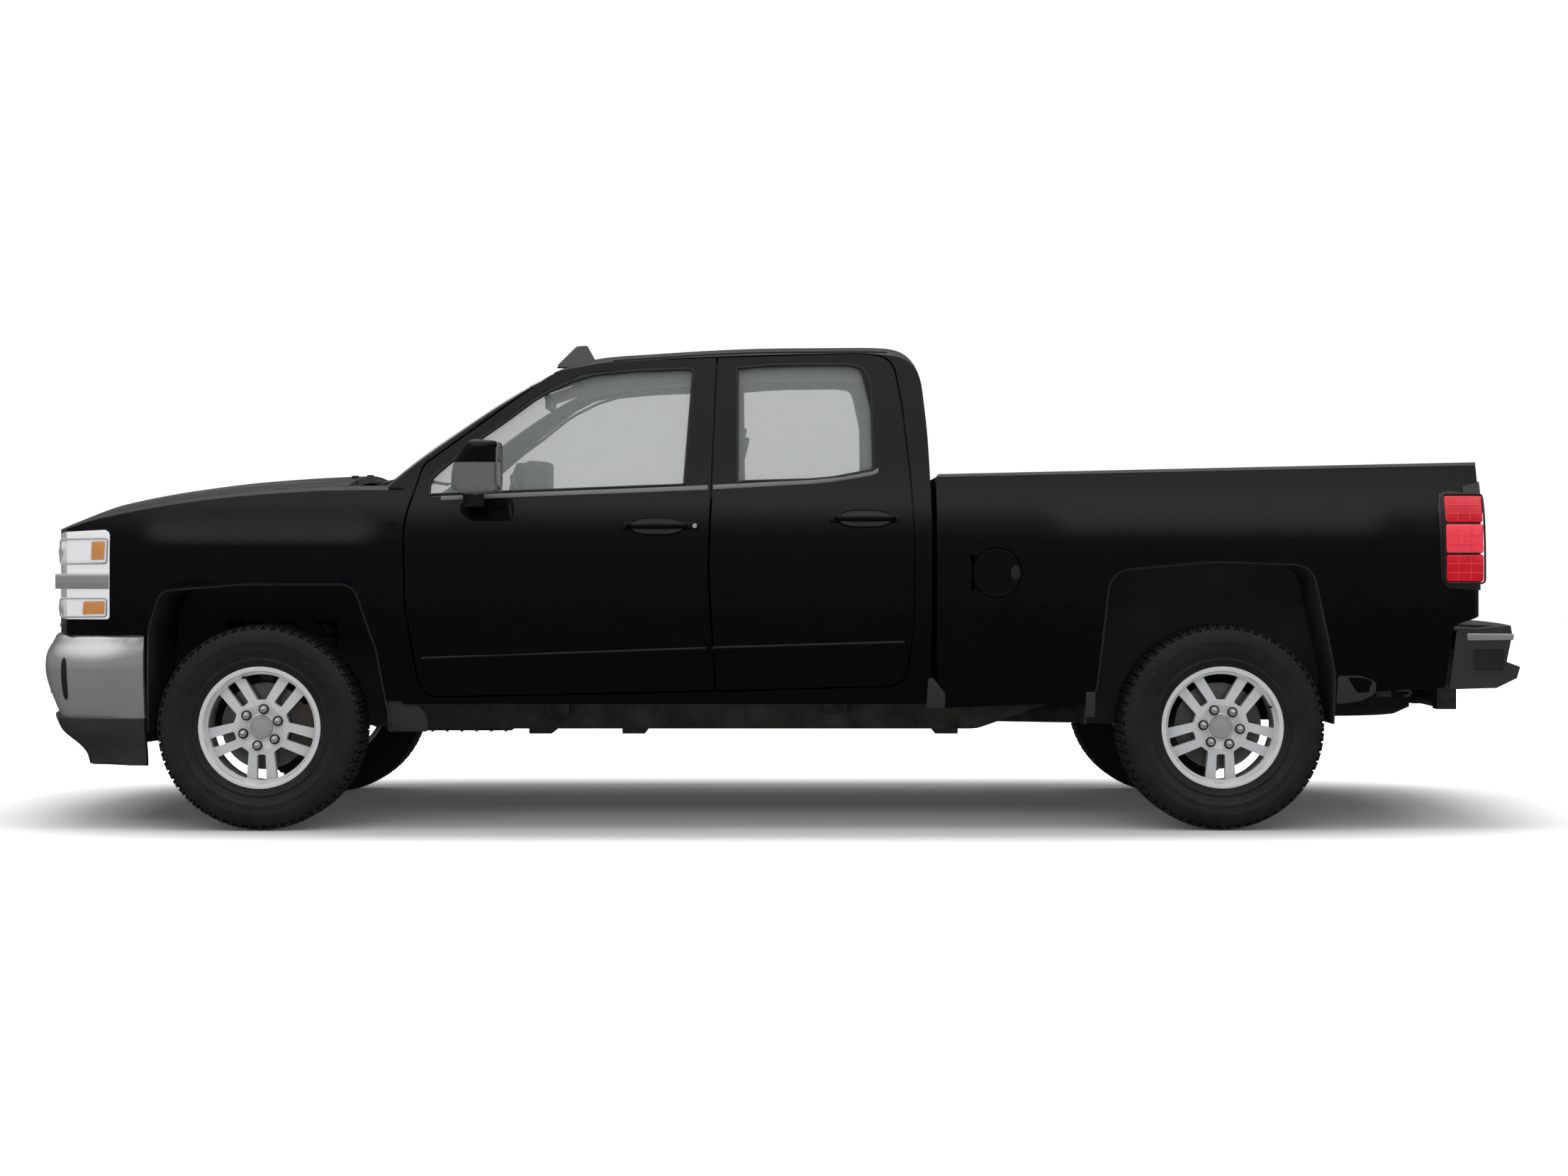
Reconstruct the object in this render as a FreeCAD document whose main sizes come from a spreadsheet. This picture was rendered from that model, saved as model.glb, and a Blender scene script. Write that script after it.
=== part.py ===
import FreeCAD, Part
import math
import os
import re
from types import SimpleNamespace
from FreeCAD import Rotation, Vector

# Pickup truck with an extended cab, four front-hinged doors and a standard bed.
# X runs from the nose (negative) to the tail, Y from the driver's side (negative)
# to the passenger's side and Z up from the ground. Lengths are in millimetres.
# Shares are parts of the named sizes that they follow.

SIZES = [
    # whole vehicle
    ("overall_length", 5842), ("overall_width", 2032), ("wheelbase", 3645), ("front_overhang", 985),
    ("roof_height", 1890), ("roof_crown", 72), ("body_half_width", 986), ("section_height", 1800),
    ("belt_height", 1290), ("sill_height", 478), ("panel_gap", 7), ("seat_gap", 0.3), ("overrun", 60),
    # cab and doors
    ("cab_length", 2173), ("cab_rear_offset", 2543), ("rear_wall", 45), ("cab_wall", 80), ("roof_wall", 38),
    ("floor_height", 590), ("floor_wall", 60), ("firewall_offset", 420), ("firewall_wall", 30),
    ("firewall_half_width", 780), ("cowl_height", 1300), ("cowl_wall", 40), ("kick_half", 740),
    ("post_inner", 850),
    ("door_front_offset", 546), ("door_seam_offset", 1690), ("door_rear_offset", 2474),
    ("door_bottom", 515), ("door_top", 1810), ("door_skin", 30), ("door_depth", 75), ("door_frame", 40),
    ("door_edge", 7), ("door_step", 10),
    ("door_flange", 42), ("hinge_inset", 32), ("hinge_depth", 14), ("hinge_side", 986), ("hinge_room", 90),
    ("hinge_offset", 60), ("hinge_pin", 4), ("hinge_leaf", 30), ("pin_length", 80), ("pin_play", 0.4),
    ("hood_hinge_inset", 10), ("hood_swing", 30), ("hood_hinge_height", 1280), ("hood_hinge_half", 655), ("hood_pin", 6),
    ("gate_pin", 8), ("gate_pin_inset", 40), ("gate_pin_height", 860), ("fuel_pin", 3),
    ("window_bottom", 1262), ("glass_wall", 5), ("glass_depth", 14), ("screen_wall", 6), ("screen_depth", 4),
    # nose
    ("hood_length", 1262), ("hood_front_height", 1095), ("hood_rise", 273), ("hood_crown", 59),
    ("hood_half_width", 806), ("hood_wall", 28), ("hood_rear_offset", 306),
    ("nose_bow", 187), ("nose_half_width", 940), ("bumper_reach", 59), ("nose_taper", 50),
    ("nose_taper_length", 450), ("nose_taper_start", 314), ("nose_corner", 90),
    ("fender_wall", 24), ("fender_bottom", 745), ("flare_top", 1195), ("flare_fade", 130),
    ("flare_slope", 115), ("flare_reach", 480), ("arch_front_length", 901), ("arch_top", 939),
    ("arch_bottom", 490), ("liner_wall", 8), ("liner_inner", 490),
    ("lamp_inner", 640), ("lamp_bottom", 800), ("lamp_top", 1140), ("lamp_rear_offset", 570),
    ("lamp_depth", 130), ("grille_top", 1092), ("grille_depth", 62),
    ("grille_bar", 30), ("grille_back", 8), ("mesh_depth", 34),
    # bumpers
    ("bumper_top", 740), ("bumper_bottom", 422), ("bumper_wall", 26), ("bumper_rear_offset", 452),
    ("bumper_half_width", 950), ("bumper_corner_x", 225), ("valance_bottom", 241),
    ("rear_bumper_top", 776), ("rear_bumper_bottom", 540), ("rear_bumper_bow", 92),
    ("rear_bumper_half", 985), ("rear_bumper_depth", 300), ("rear_bumper_wall", 34),
    ("plate_width", 330), ("plate_height", 170), ("plate_recess", 45), ("plate_hole_pitch", 177.8),
    ("plate_hole", 7), ("ball_hole", 25.4), ("pad_wall", 30),
    ("receiver_outer", 76), ("receiver_inner", 50.8), ("receiver_length", 160), ("receiver_height", 470),
    # bed
    ("cab_bed_gap", 20), ("bed_length", 2063), ("bed_top_front", 1340), ("bed_top_rear", 1386),
    ("bed_floor", 862), ("bed_floor_wall", 26), ("bed_inner", 832), ("bed_side_wall", 36),
    ("bed_front_wall", 44), ("bed_bottom", 462), ("bed_tail_bottom", 540), ("rail_cap", 12),
    ("bed_flare_top", 1280), ("bed_flare_fade", 165), ("bed_flare_slope", 170),
    ("bed_flare_front", 715), ("bed_flare_rear", 680), ("bed_arch_length", 950), ("bed_arch_top", 1017),
    ("bed_arch_bottom", 470), ("wheelhouse_inner", 640), ("wheelhouse_wall", 14), ("bed_taper", 14),
    ("bed_taper_length", 390), ("tailgate_wall", 54), ("tailgate_bottom", 846),
    ("tail_lamp_width", 128), ("tail_lamp_height", 360), ("tail_lamp_top", 1278),
    ("tail_lamp_reach", 150), ("tail_lamp_depth", 60), ("tail_lamp_proud", 6),
    ("fuel_door_radius", 90), ("fuel_door_height", 976), ("fuel_door_offset", 226), ("fuel_door_wall", 10),
    ("fuel_cup_depth", 26),
    # wheels
    ("tyre_radius", 390), ("tyre_width", 265), ("track_front", 1745), ("track_rear", 1717),
    ("rim_radius", 231), ("rim_barrel", 210), ("rim_width", 222), ("rim_wall", 7), ("hub_radius", 84),
    ("hub_face", 26), ("spoke_thick", 34), ("spoke_dish", 12), ("window_inner", 104), ("window_outer", 200),
    ("slot_width", 36), ("lug_circle", 139.7), ("lug_radius", 11.5), ("lug_length", 26), ("cap_radius", 43),
    ("cap_length", 14), ("lip_width", 14), ("disc_radius", 165), ("disc_wall", 28), ("hat_radius", 92),
    ("spindle_radius", 30), ("bearing_clearance", 0.4), ("disc_inset", 32),
    # running gear
    ("rail_half", 430), ("rail_width", 80), ("rail_tall", 150), ("rail_middle_height", 355),
    ("rail_rear_height", 560), ("rail_front_height", 470), ("tube_radius", 45), ("cross_wall", 90),
    ("kingpin_half", 800), ("kingpin_radius", 14), ("knuckle_half", 30), ("knuckle_bottom", 290),
    ("knuckle_top", 548), ("caliper_gap", 5), ("caliper_wall", 22), ("arm_wall", 30), ("arm_inner", 470),
    ("strut_radius", 55), ("strut_half", 590), ("axle_radius", 42), ("diff_radius", 150),
    ("spring_half", 520), ("spring_width", 64), ("spring_wall", 30), ("spring_length", 1400),
    ("shaft_radius", 45), ("exhaust_radius", 32), ("muffler_radius", 95), ("muffler_length", 480),
    ("tank_length", 1000), ("tank_width", 330), ("tank_height", 260), ("tank_bottom", 350),
    ("engine_length", 720), ("engine_width", 600), ("engine_height", 620), ("engine_bottom", 430),
    ("engine_offset", -330), ("gearbox_length", 560), ("gearbox_width", 300), ("gearbox_height", 170),
    ("radiator_wall", 60), ("radiator_height", 560), ("radiator_bottom", 520),
    ("radiator_offset", 690), ("spare_radius", 375), ("spare_offset", 541), ("spare_bottom", 418),
    # cabin
    ("steering_radius", 190), ("steering_grip", 15), ("steering_x_offset", 976), ("steering_half", 385),
    ("steering_height", 1195), ("steering_tilt", 24), ("steering_hub", 62), ("column_radius", 38),
    ("column_length", 330), ("dash_top", 1258), ("dash_bottom", 820), ("dash_depth", 400),
    ("dash_half", 845), ("dash_front_offset", 470), ("seat_half", 430), ("seat_width", 560),
    ("seat_length", 520), ("seat_wall", 150), ("seat_front_offset", 1090), ("seat_top", 900),
    ("back_wall", 130), ("back_top", 1420), ("seat_recline", 14), ("head_width", 260),
    ("head_height", 170), ("head_wall", 100), ("bench_half", 760), ("bench_front_offset", 1960),
    ("bench_top", 900), ("bench_back_top", 1400), ("console_half", 130), ("shaft_room", 62),
    # mirrors and roof
    ("mirror_length", 190), ("mirror_width", 225), ("mirror_height", 204), ("mirror_bottom", 1268),
    ("mirror_offset", 735), ("mirror_gap", 72), ("mirror_round", 42), ("mirror_arm", 70),
    ("fin_length", 170), ("fin_height", 62), ("fin_wall", 46), ("fin_front_offset", 1046),
]

# Side section from the sill to the roof: height share, half-width share.
SECTION_SHARES = [
    (0.15, 0.925), (0.211, 0.943), (0.289, 0.972), (0.378, 0.996), (0.45, 1.0), (0.53, 1.0), (0.60, 0.997),
    (0.64, 0.989), (0.667, 0.979), (0.69, 0.963), (0.711, 0.944), (0.733, 0.925), (0.778, 0.8935),
    (0.833, 0.857), (0.889, 0.8205), (0.944, 0.783), (1.0, 0.745), (1.06, 0.703),
]
# Windscreen, roof and rear wall on the centre line: length share of the cab, height share above the belt.
ROOF_SHARES = [
    (-0.06, -0.09), (0.0, 0.057), (0.06, 0.234), (0.122, 0.40), (0.173, 0.523), (0.220, 0.635),
    (0.272, 0.748), (0.313, 0.827), (0.352, 0.883), (0.394, 0.923), (0.474, 0.952), (0.572, 0.975),
    (0.721, 0.997), (0.836, 1.0), (0.919, 0.998), (0.951, 0.980), (0.972, 0.933), (0.983, 0.866),
    (0.989, 0.75), (0.994, 0.583), (0.998, 0.35), (1.0, 0.10), (1.0, -0.5), (1.0, -1.4),
]
# Hood on the centre line: length share from the nose, share of the rise.
HOOD_SHARES = [
    (-0.03, -0.35), (0.0, 0.0), (0.012, 0.10), (0.036, 0.21), (0.082, 0.34), (0.170, 0.505), (0.254, 0.623),
    (0.423, 0.78), (0.590, 0.886), (0.757, 0.952), (0.918, 0.993), (1.0, 1.0), (1.3, 1.0),
]
# Hood in plan: length share from the nose, share of the half width, corner share.
HOOD_PLAN_SHARES = [(1.0, 0.992, 0.03), (0.60, 1.006, 1.2), (0.30, 1.0, 0.5), (0.17, 0.97, 0.25),
                    (0.08, 0.78, 0.35), (0.02, 0.42, 0.7)]
# Side openings: length share, height share and corner share of the height.
FRONT_DOOR_SHARES = [
    (1.0, 0.998, 0.004), (0.64, 0.985, 0.5), (0.47, 0.955, 0.16), (0.055, 0.672, 0.05), (0.0, 0.50, 0.3),
    (0.006, 0.26, 0.3), (0.056, -0.006, 0.06), (1.0, 0.012, 0.01), (0.975, 0.36, 0.9), (0.985, 0.60, 0.4),
]
REAR_DOOR_SHARES = [
    (0.0, 0.998, 0.004), (0.74, 1.010, 0.3), (0.90, 0.998, 0.09), (0.945, 0.86, 0.4), (0.985, 0.64, 0.5),
    (1.0, 0.46, 0.6), (0.998, 0.20, 0.3), (0.955, 0.028, 0.06), (0.0, 0.012, 0.01), (-0.038, 0.36, 0.9),
    (-0.022, 0.60, 0.4),
]
FRONT_WINDOW_SHARES = [
    (0.0, 0.0, 0.04), (0.0, 0.15, 0.10), (0.40, 0.80, 0.4), (0.58, 0.975, 0.4), (1.0, 1.0, 0.035),
    (0.975, 0.10, 0.02), (0.60, 0.038, 0.3),
]
REAR_WINDOW_SHARES = [
    (0.0, 0.965, 0.02), (0.52, 0.99, 0.2), (0.905, 1.0, 0.13), (0.985, 0.60, 0.5), (1.0, 0.12, 0.04),
    (0.55, 0.022, 0.3), (0.0, -0.01, 0.02),
]
FRONT_ARCH_SHARES = [
    (-0.02, -0.40, 0.02), (0.0, 0.62, 0.05), (0.055, 0.94, 0.13), (0.42, 0.995, 1.0), (0.87, 0.995, 0.16),
    (0.965, 0.43, 0.5), (1.03, -0.40, 0.05),
]
REAR_ARCH_SHARES = [
    (0.0, -0.30, 0.02), (0.0, 0.0, 0.02), (0.042, 0.12, 0.05), (0.095, 0.945, 0.17), (0.5, 1.01, 1.2),
    (0.905, 0.985, 0.16), (1.0, 0.22, 0.2), (1.0, -0.30, 0.02),
]
# Front bumper and valance from top to bottom: height share, outward share of the bumper's reach.
BUMPER_SHARES = [(1.0, 0.0), (0.95, 0.30), (0.80, 0.80), (0.70, 0.97), (0.55, 1.0), (0.38, 0.80), (0.18, 0.40),
                 (0.0, 0.0)]
VALANCE_SHARES = [(1.0, 0.35), (0.72, -0.05), (0.55, -0.60), (0.40, -1.15), (0.22, -1.6), (0.0, -1.8)]
# Rear bumper section: share of its depth back from the bow, height share.
REAR_BUMPER_SHARES = [(0.80, 0.92), (0.12, 1.0), (0.10, 0.86), (0.17, 0.42), (0.0, 0.34), (0.04, 0.16),
                      (0.30, 0.0), (0.89, -0.02)]


def make_sheet(document):
    """Put the driving sizes into the spreadsheet, one row each."""
    table = document.addObject("Spreadsheet::Sheet", "Sizes")
    for row, (alias, value) in enumerate(SIZES, start=1):
        table.set(f"A{row}", alias)
        table.set(f"B{row}", str(value))
        table.setAlias(f"B{row}", alias)
    document.recompute()
    return table


doc = FreeCAD.newDocument("PickupTruck")
sheet = make_sheet(doc)
S = SimpleNamespace(**{alias: float(sheet.get(alias)) for alias, _ in SIZES})

# Places that follow from the sizes.
NOSE = -S.overall_length / 2
TAIL = S.overall_length / 2
FRONT_AXLE = NOSE + S.front_overhang
REAR_AXLE = FRONT_AXLE + S.wheelbase
CAB_REAR = FRONT_AXLE + S.cab_rear_offset
CAB_FRONT = CAB_REAR - S.cab_length
BED_FRONT = CAB_REAR + S.cab_bed_gap
BED_REAR = BED_FRONT + S.bed_length
DOOR_FRONT = FRONT_AXLE + S.door_front_offset
DOOR_SEAM = FRONT_AXLE + S.door_seam_offset
DOOR_REAR = FRONT_AXLE + S.door_rear_offset
HOOD_FRONT = NOSE + S.bumper_reach
HOOD_REAR = FRONT_AXLE + S.hood_rear_offset
FLARE_DEPTH = S.overall_width / 2 - S.body_half_width
WIDE = S.overall_width
TALL = S.roof_height
ABOUT_X = Vector(1, 0, 0)
ABOUT_Y = Vector(0, 1, 0)
ABOUT_Z = Vector(0, 0, 1)
NODES = []


# Curves and surfaces

def smooth_curve(points):
    """Return a function that runs smoothly through (t, value) points."""
    slopes = []
    last = len(points) - 1
    for index in range(last + 1):
        before = points[max(index - 1, 0)]
        after = points[min(index + 1, last)]
        slopes.append((after[1] - before[1]) / (after[0] - before[0]))

    def value(place):
        index = 0
        while index < last - 1 and place > points[index + 1][0]:
            index += 1
        start, end = points[index], points[index + 1]
        span = end[0] - start[0]
        share = (place - start[0]) / span
        if share < 0:
            return start[1] + slopes[index] * (place - start[0])
        if share > 1:
            return end[1] + slopes[index + 1] * (place - end[0])
        square, cube = share ** 2, share ** 3
        return ((2 * cube - 3 * square + 1) * start[1] + (cube - 2 * square + share) * span * slopes[index]
                + (3 * square - 2 * cube) * end[1] + (cube - square) * span * slopes[index + 1])

    return value


def ease(share):
    """Rise smoothly from 0 to 1."""
    share = min(max(share, 0.0), 1.0)
    return share * share * (3 - 2 * share)


def steps(first, last, count):
    """Return evenly spaced places from first to last."""
    return [first + (last - first) * index / count for index in range(count + 1)]


def face_through(rows):
    """Make one smooth face through rows of points."""
    surface = Part.BSplineSurface()
    surface.interpolate(rows)
    return surface.toShape()


section_curve = smooth_curve([(z * S.section_height, y * S.body_half_width) for z, y in SECTION_SHARES])
hood_curve = smooth_curve([(HOOD_FRONT + x * S.hood_length, S.hood_front_height + z * S.hood_rise)
                           for x, z in HOOD_SHARES])


def flare(x, z, front, rear, top, fade, slope):
    """Return how far the pad round a wheel arch stands out."""
    return FLARE_DEPTH * ease((x - front) / fade) * ease((rear - x) / fade) * ease((top - z) / slope)


def half_width(x, z):
    """Return the half width of the body side at a place in the side view."""
    taper_x = FRONT_AXLE - S.nose_taper_start - x
    nose = S.nose_taper * (max(taper_x, 0) / S.nose_taper_length) ** 2
    tail_x = x - (BED_REAR - S.bed_taper_length)
    tail = S.bed_taper * (max(tail_x, 0) / S.bed_taper_length) ** 2
    front_pad = flare(x, z, FRONT_AXLE - S.flare_reach, FRONT_AXLE + S.flare_reach, S.flare_top,
                      S.flare_fade, S.flare_slope)
    rear_pad = flare(x, z, REAR_AXLE - S.bed_flare_front, REAR_AXLE + S.bed_flare_rear, S.bed_flare_top,
                     S.bed_flare_fade, S.bed_flare_slope)
    return section_curve(z) - nose - tail + front_pad + rear_pad


def side_block(x_span, z_span, inset=0.0, counts=(30, 24)):
    """Make the driver's side of the body as a block that reaches past the centre plane."""
    rows = [[Vector(x, inset - half_width(x, z), z) for z in steps(*z_span, counts[1])]
            for x in steps(*x_span, counts[0])]
    return face_through(rows).extrude(Vector(0, S.overall_width, 0))


def both_sides(shape):
    """Keep what a block and its mirror image share."""
    return shape.common(mirrored(shape))


def mirrored(shape):
    """Return the passenger's side twin of a shape."""
    return shape.mirror(Vector(0, 0, 0), ABOUT_Y)


def crown(y, rise, half):
    """Return how far a crowned panel drops beside the centre line."""
    return rise * (y / half) ** 2


def roof_block(inset=0.0):
    """Make everything behind the windscreen, under the roof and ahead of the cab's rear wall."""
    outline = [Vector(CAB_FRONT + x * S.cab_length, 0, S.belt_height + z * (S.roof_height - S.belt_height))
               for x, z in ROOF_SHARES]
    curve = Part.BSplineCurve()
    curve.interpolate(outline)
    first, last = curve.FirstParameter, curve.LastParameter
    rows = []
    for value in steps(first, last, 3 * len(ROOF_SHARES)):
        point = curve.value(value)
        along = curve.tangent(value)[0]
        inward = Vector(along.z, 0, -along.x) * inset
        rows.append([point + inward + Vector(0, y, -crown(y, S.roof_crown, S.section_height * 0.41))
                     for y in steps(-S.overall_width / 2, S.overall_width / 2, 8)])
    return face_through(rows).extrude(Vector(-S.cab_length, 0, -2 * S.roof_height))


def hood_block(inset=0.0):
    """Make everything under the hood and the tops of the front fenders."""
    rows = [[Vector(x, y, hood_curve(x) - crown(y, S.hood_crown, S.hood_half_width) - inset)
             for y in steps(-S.overall_width * 0.54, S.overall_width * 0.54, 10)]
            for x in steps(NOSE - S.overrun, DOOR_FRONT + S.overrun, 40)]
    return face_through(rows).extrude(Vector(0, 0, -S.roof_height))


def nose_x(y, inset=0.0):
    """Return where the bowed nose lies in plan."""
    return HOOD_FRONT + inset + S.nose_bow * (y / S.nose_half_width) ** 2


def nose_block(inset=0.0):
    """Make everything behind the bowed front of the grille and lamps."""
    rows = [[Vector(nose_x(y, inset), y, z) for z in steps(S.bumper_bottom, TALL, 3)]
            for y in steps(-S.overall_width * 0.54, S.overall_width * 0.54, 12)]
    return face_through(rows).extrude(Vector(S.front_overhang * 2.2, 0, 0))


# Outlines, prisms and plain solids

def rounded_wire(points, place):
    """Make a closed wire through corners (a, b, radius) that place() puts in space."""
    edges = []
    cuts = []
    count = len(points)
    flat = [Vector(a, b, 0) for a, b, _ in points]
    for index, corner in enumerate(flat):
        before = flat[index - 1] - corner
        after = flat[(index + 1) % count] - corner
        angle = before.getAngle(after)
        reach = points[index][2] / math.tan(angle / 2)
        reach = min(reach, 0.49 * before.Length, 0.49 * after.Length)
        start = corner + before.normalize() * reach
        end = corner + after.normalize() * reach
        radius = reach * math.tan(angle / 2)
        bisector = (before + after).normalize()
        middle = corner + bisector * (radius / math.sin(angle / 2) - radius)
        cuts.append((start, middle, end))
    for index, (start, middle, end) in enumerate(cuts):
        edges.append(Part.Arc(place(start), place(middle), place(end)).toShape())
        following = cuts[(index + 1) % count][0]
        if (following - end).Length > S.seat_gap:
            edges.append(Part.makeLine(place(end), place(following)))
    return Part.Wire(edges)


def side_outline(shares, x_span, z_span, grow=0.0):
    """Make a closed outline in the side view from shares of a length and a height."""
    length, height = x_span[1] - x_span[0], z_span[1] - z_span[0]
    points = [(x_span[0] + x * length, z_span[0] + z * height, r * height) for x, z, r in shares]
    wire = rounded_wire(points, lambda p: Vector(p.x, 0, p.y))
    return wire.makeOffset2D(grow) if grow else wire


def across(wire, y_span):
    """Extrude an outline of the side view along Y."""
    face = Part.Face(wire)
    face.translate(Vector(0, y_span[0], 0))
    return face.extrude(Vector(0, y_span[1] - y_span[0], 0))


def upward(wire, z_span):
    """Extrude an outline of the plan view along Z."""
    face = Part.Face(wire)
    face.translate(Vector(0, 0, z_span[0]))
    return face.extrude(Vector(0, 0, z_span[1] - z_span[0]))


def block(x_span, y_span, z_span):
    """Make a box between two corners."""
    size = [high - low for low, high in (x_span, y_span, z_span)]
    return Part.makeBox(*size, Vector(x_span[0], y_span[0], z_span[0]))


def rod(start, end, radius):
    """Make a cylinder between two points."""
    axis = end - start
    return Part.makeCylinder(radius, axis.Length, start, axis)


def turned(points, centre, axis):
    """Turn a closed outline of (distance along the axis, radius) about an axis."""
    wire = Part.makePolygon([Vector(radius, 0, along) for along, radius in points + points[:1]])
    shape = Part.Face(wire).revolve(Vector(0, 0, 0), ABOUT_Z, 360)
    shape.rotate(Vector(0, 0, 0), Rotation(ABOUT_Z, axis).Axis, math.degrees(Rotation(ABOUT_Z, axis).Angle))
    shape.translate(centre)
    return shape


def skin(outer, inner):
    """Make a thick panel between two grids of points."""
    surfaces = []
    for grid in (outer, inner):
        surface = Part.BSplineSurface()
        surface.interpolate(grid)
        surfaces.append(surface)
    faces = [surface.toShape() for surface in surfaces]
    for index in range(4):
        edges = []
        for surface in surfaces:
            line = surface.uIso if index < 2 else surface.vIso
            edges.append(line(surface.bounds()[index]).toShape())
        faces.append(Part.makeRuledSurface(*edges))
    shell = Part.makeShell(faces)
    shell.sewShape()
    solid = Part.makeSolid(shell)
    if solid.Volume < 0:
        solid.reverse()
    return solid


def largest(shape):
    """Return the largest solid of a shape."""
    return max(shape.Solids, key=lambda solid: solid.Volume)


def joined(*shapes):
    """Fuse shapes and drop the seams between flat faces."""
    return shapes[0].multiFuse(list(shapes[1:])).removeSplitter()


def add(name, *shapes):
    """Add a sub-part whose shape is worked out from the sizes."""
    node = doc.addObject("Part::Feature", name)
    node.Label = name
    solids = [solid for shape in shapes for solid in shape.Solids]
    node.Shape = solids[0] if len(solids) == 1 else Part.makeCompound(solids)
    node.Placement = node.Shape.Placement
    NODES.append(node)
    return node


def bind(node, **formulas):
    """Tie properties to the spreadsheet by formulas of its names."""
    for name, formula in formulas.items():
        tied = re.sub(r"[a-z][a-z_]+", lambda word: "Sizes." + word.group(0), formula)
        node.setExpression(name.replace("__", "."), tied)


def bound_box(name, length, width, height, x, y, z):
    """Add a box whose size and place follow the spreadsheet."""
    node = doc.addObject("Part::Box", name)
    bind(node, Length=length, Width=width, Height=height)
    bind(node, Placement__Base__x=x, Placement__Base__y=y, Placement__Base__z=z)
    return node


def bound_fuse(name, parts):
    """Add the union of bound primitives as a sub-part."""
    node = doc.addObject("Part::MultiFuse", name)
    node.Shapes = parts
    node.Label = name
    NODES.append(node)
    return node


# Cab

def door_wire(which, grow=0.0):
    """Return the outline of a front or rear door."""
    if which == "front":
        return side_outline(FRONT_DOOR_SHARES, (DOOR_FRONT, DOOR_SEAM + S.hinge_inset),
                            (S.door_bottom, S.door_top), grow)
    return side_outline(REAR_DOOR_SHARES, (DOOR_SEAM + S.hinge_inset + S.panel_gap, DOOR_REAR),
                        (S.door_bottom, S.door_top), grow)


def window_wire(which, grow=0.0):
    """Return the outline of a side window."""
    top = S.door_top - S.door_frame * 1.15
    if which == "front":
        return side_outline(FRONT_WINDOW_SHARES, (DOOR_FRONT + S.door_frame * 2.2,
                                                  DOOR_SEAM - S.door_frame * 1.4),
                            (S.window_bottom, top), grow)
    return side_outline(REAR_WINDOW_SHARES, (DOOR_SEAM + S.door_frame * 2.8, DOOR_REAR - S.door_frame * 3.7),
                        (S.window_bottom + S.door_frame * 1.4, top + S.door_frame * 0.4), grow)


CAB_X = (CAB_FRONT - S.overrun, CAB_REAR + S.overrun)
CAB_Z = (S.sill_height - S.overrun * 2, S.roof_height + S.overrun / 2)
DOOR_Y = (-S.overall_width * 0.6, -S.rail_half)
cab_sides = {inset: side_block(CAB_X, CAB_Z, inset)
             for inset in (0.0, S.door_edge, S.door_skin, S.door_skin + S.panel_gap, S.door_frame,
                           S.door_frame + S.panel_gap, S.door_depth, S.cab_wall, S.glass_depth,
                           S.glass_depth + S.glass_wall)}


def hinge_point(which):
    """Return the place of a door's upright hinge axis on the driver's side."""
    edge = DOOR_FRONT if which == "front" else DOOR_SEAM
    return Vector(edge + S.hinge_offset, -S.hinge_side + S.hinge_depth, S.door_bottom)


def hinge_heights():
    """Return the heights of a door's two hinges."""
    span = S.belt_height - S.door_bottom
    return S.door_bottom + 0.30 * span, S.door_bottom + 0.68 * span


def hinge_leaf(which, height):
    """Make the fixed half of a door hinge with its pin."""
    post = hinge_point(which)
    low, high = height - S.hinge_leaf / 2, height + S.hinge_leaf / 2
    reach = Vector(0, 0, S.pin_length / 2)
    middle = Vector(post.x, post.y, height)
    pin = rod(middle - reach, middle + reach, S.hinge_pin)
    root = post.y + S.hinge_room
    plate = block((post.x - S.hinge_pin, post.x + S.hinge_pin), (post.y, root + S.hinge_leaf / 2), (low, high))
    foot = block((post.x - S.hinge_offset, post.x + S.hinge_pin), (root - S.hinge_pin, root + S.hinge_leaf / 2),
                 (low, high))
    return joined(pin, plate, foot)


def hinge_tools(which):
    """Return the bores and pockets that a door's hinges need in it."""
    post = hinge_point(which)
    tools = []
    for height in hinge_heights():
        tools.append(rod(Vector(post.x, post.y, height - S.pin_length / 2 - S.panel_gap),
                         Vector(post.x, post.y, height + S.pin_length / 2 + S.panel_gap),
                         S.hinge_pin + S.pin_play))
        reach = S.hinge_leaf / 2 + S.panel_gap
        pocket = rod(Vector(post.x, post.y, height - reach), Vector(post.x, post.y, height + reach),
                     S.hinge_room)
        tools.append(pocket.common(cab_sides[S.door_edge]))
    return tools


def make_door(which):
    """Make a door: a thin outer edge, the panel with its window frame and a deeper box under the belt."""
    low = (S.door_bottom - S.overrun, S.belt_height - S.door_frame)
    high = (S.belt_height - S.door_frame, S.roof_height)
    window = across(window_wire(which), DOOR_Y)
    edge = across(door_wire(which), DOOR_Y).cut(window).common(cab_sides[0.0]).cut(cab_sides[S.door_edge])
    panel = across(door_wire(which, -S.door_step), DOOR_Y).cut(window).common(cab_sides[0.0])
    frame_part = panel.cut(cab_sides[S.door_frame]).common(block(CAB_X, DOOR_Y, high))
    panel = panel.cut(cab_sides[S.door_skin])
    inner = across(door_wire(which, -S.door_flange - S.panel_gap * 1.6), DOOR_Y).common(cab_sides[0.0])
    inner = inner.cut(cab_sides[S.door_depth]).common(block(CAB_X, DOOR_Y, low))
    door = edge.multiFuse([panel, frame_part, inner])
    for tool in hinge_tools(which):
        door = door.cut(tool)
    return largest(door)


def make_side_glass(which):
    """Make a side window that fills its frame."""
    pane = across(window_wire(which, -S.seat_gap), DOOR_Y)
    return largest(pane.common(cab_sides[S.glass_depth]).cut(cab_sides[S.glass_depth + S.glass_wall]))


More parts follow.
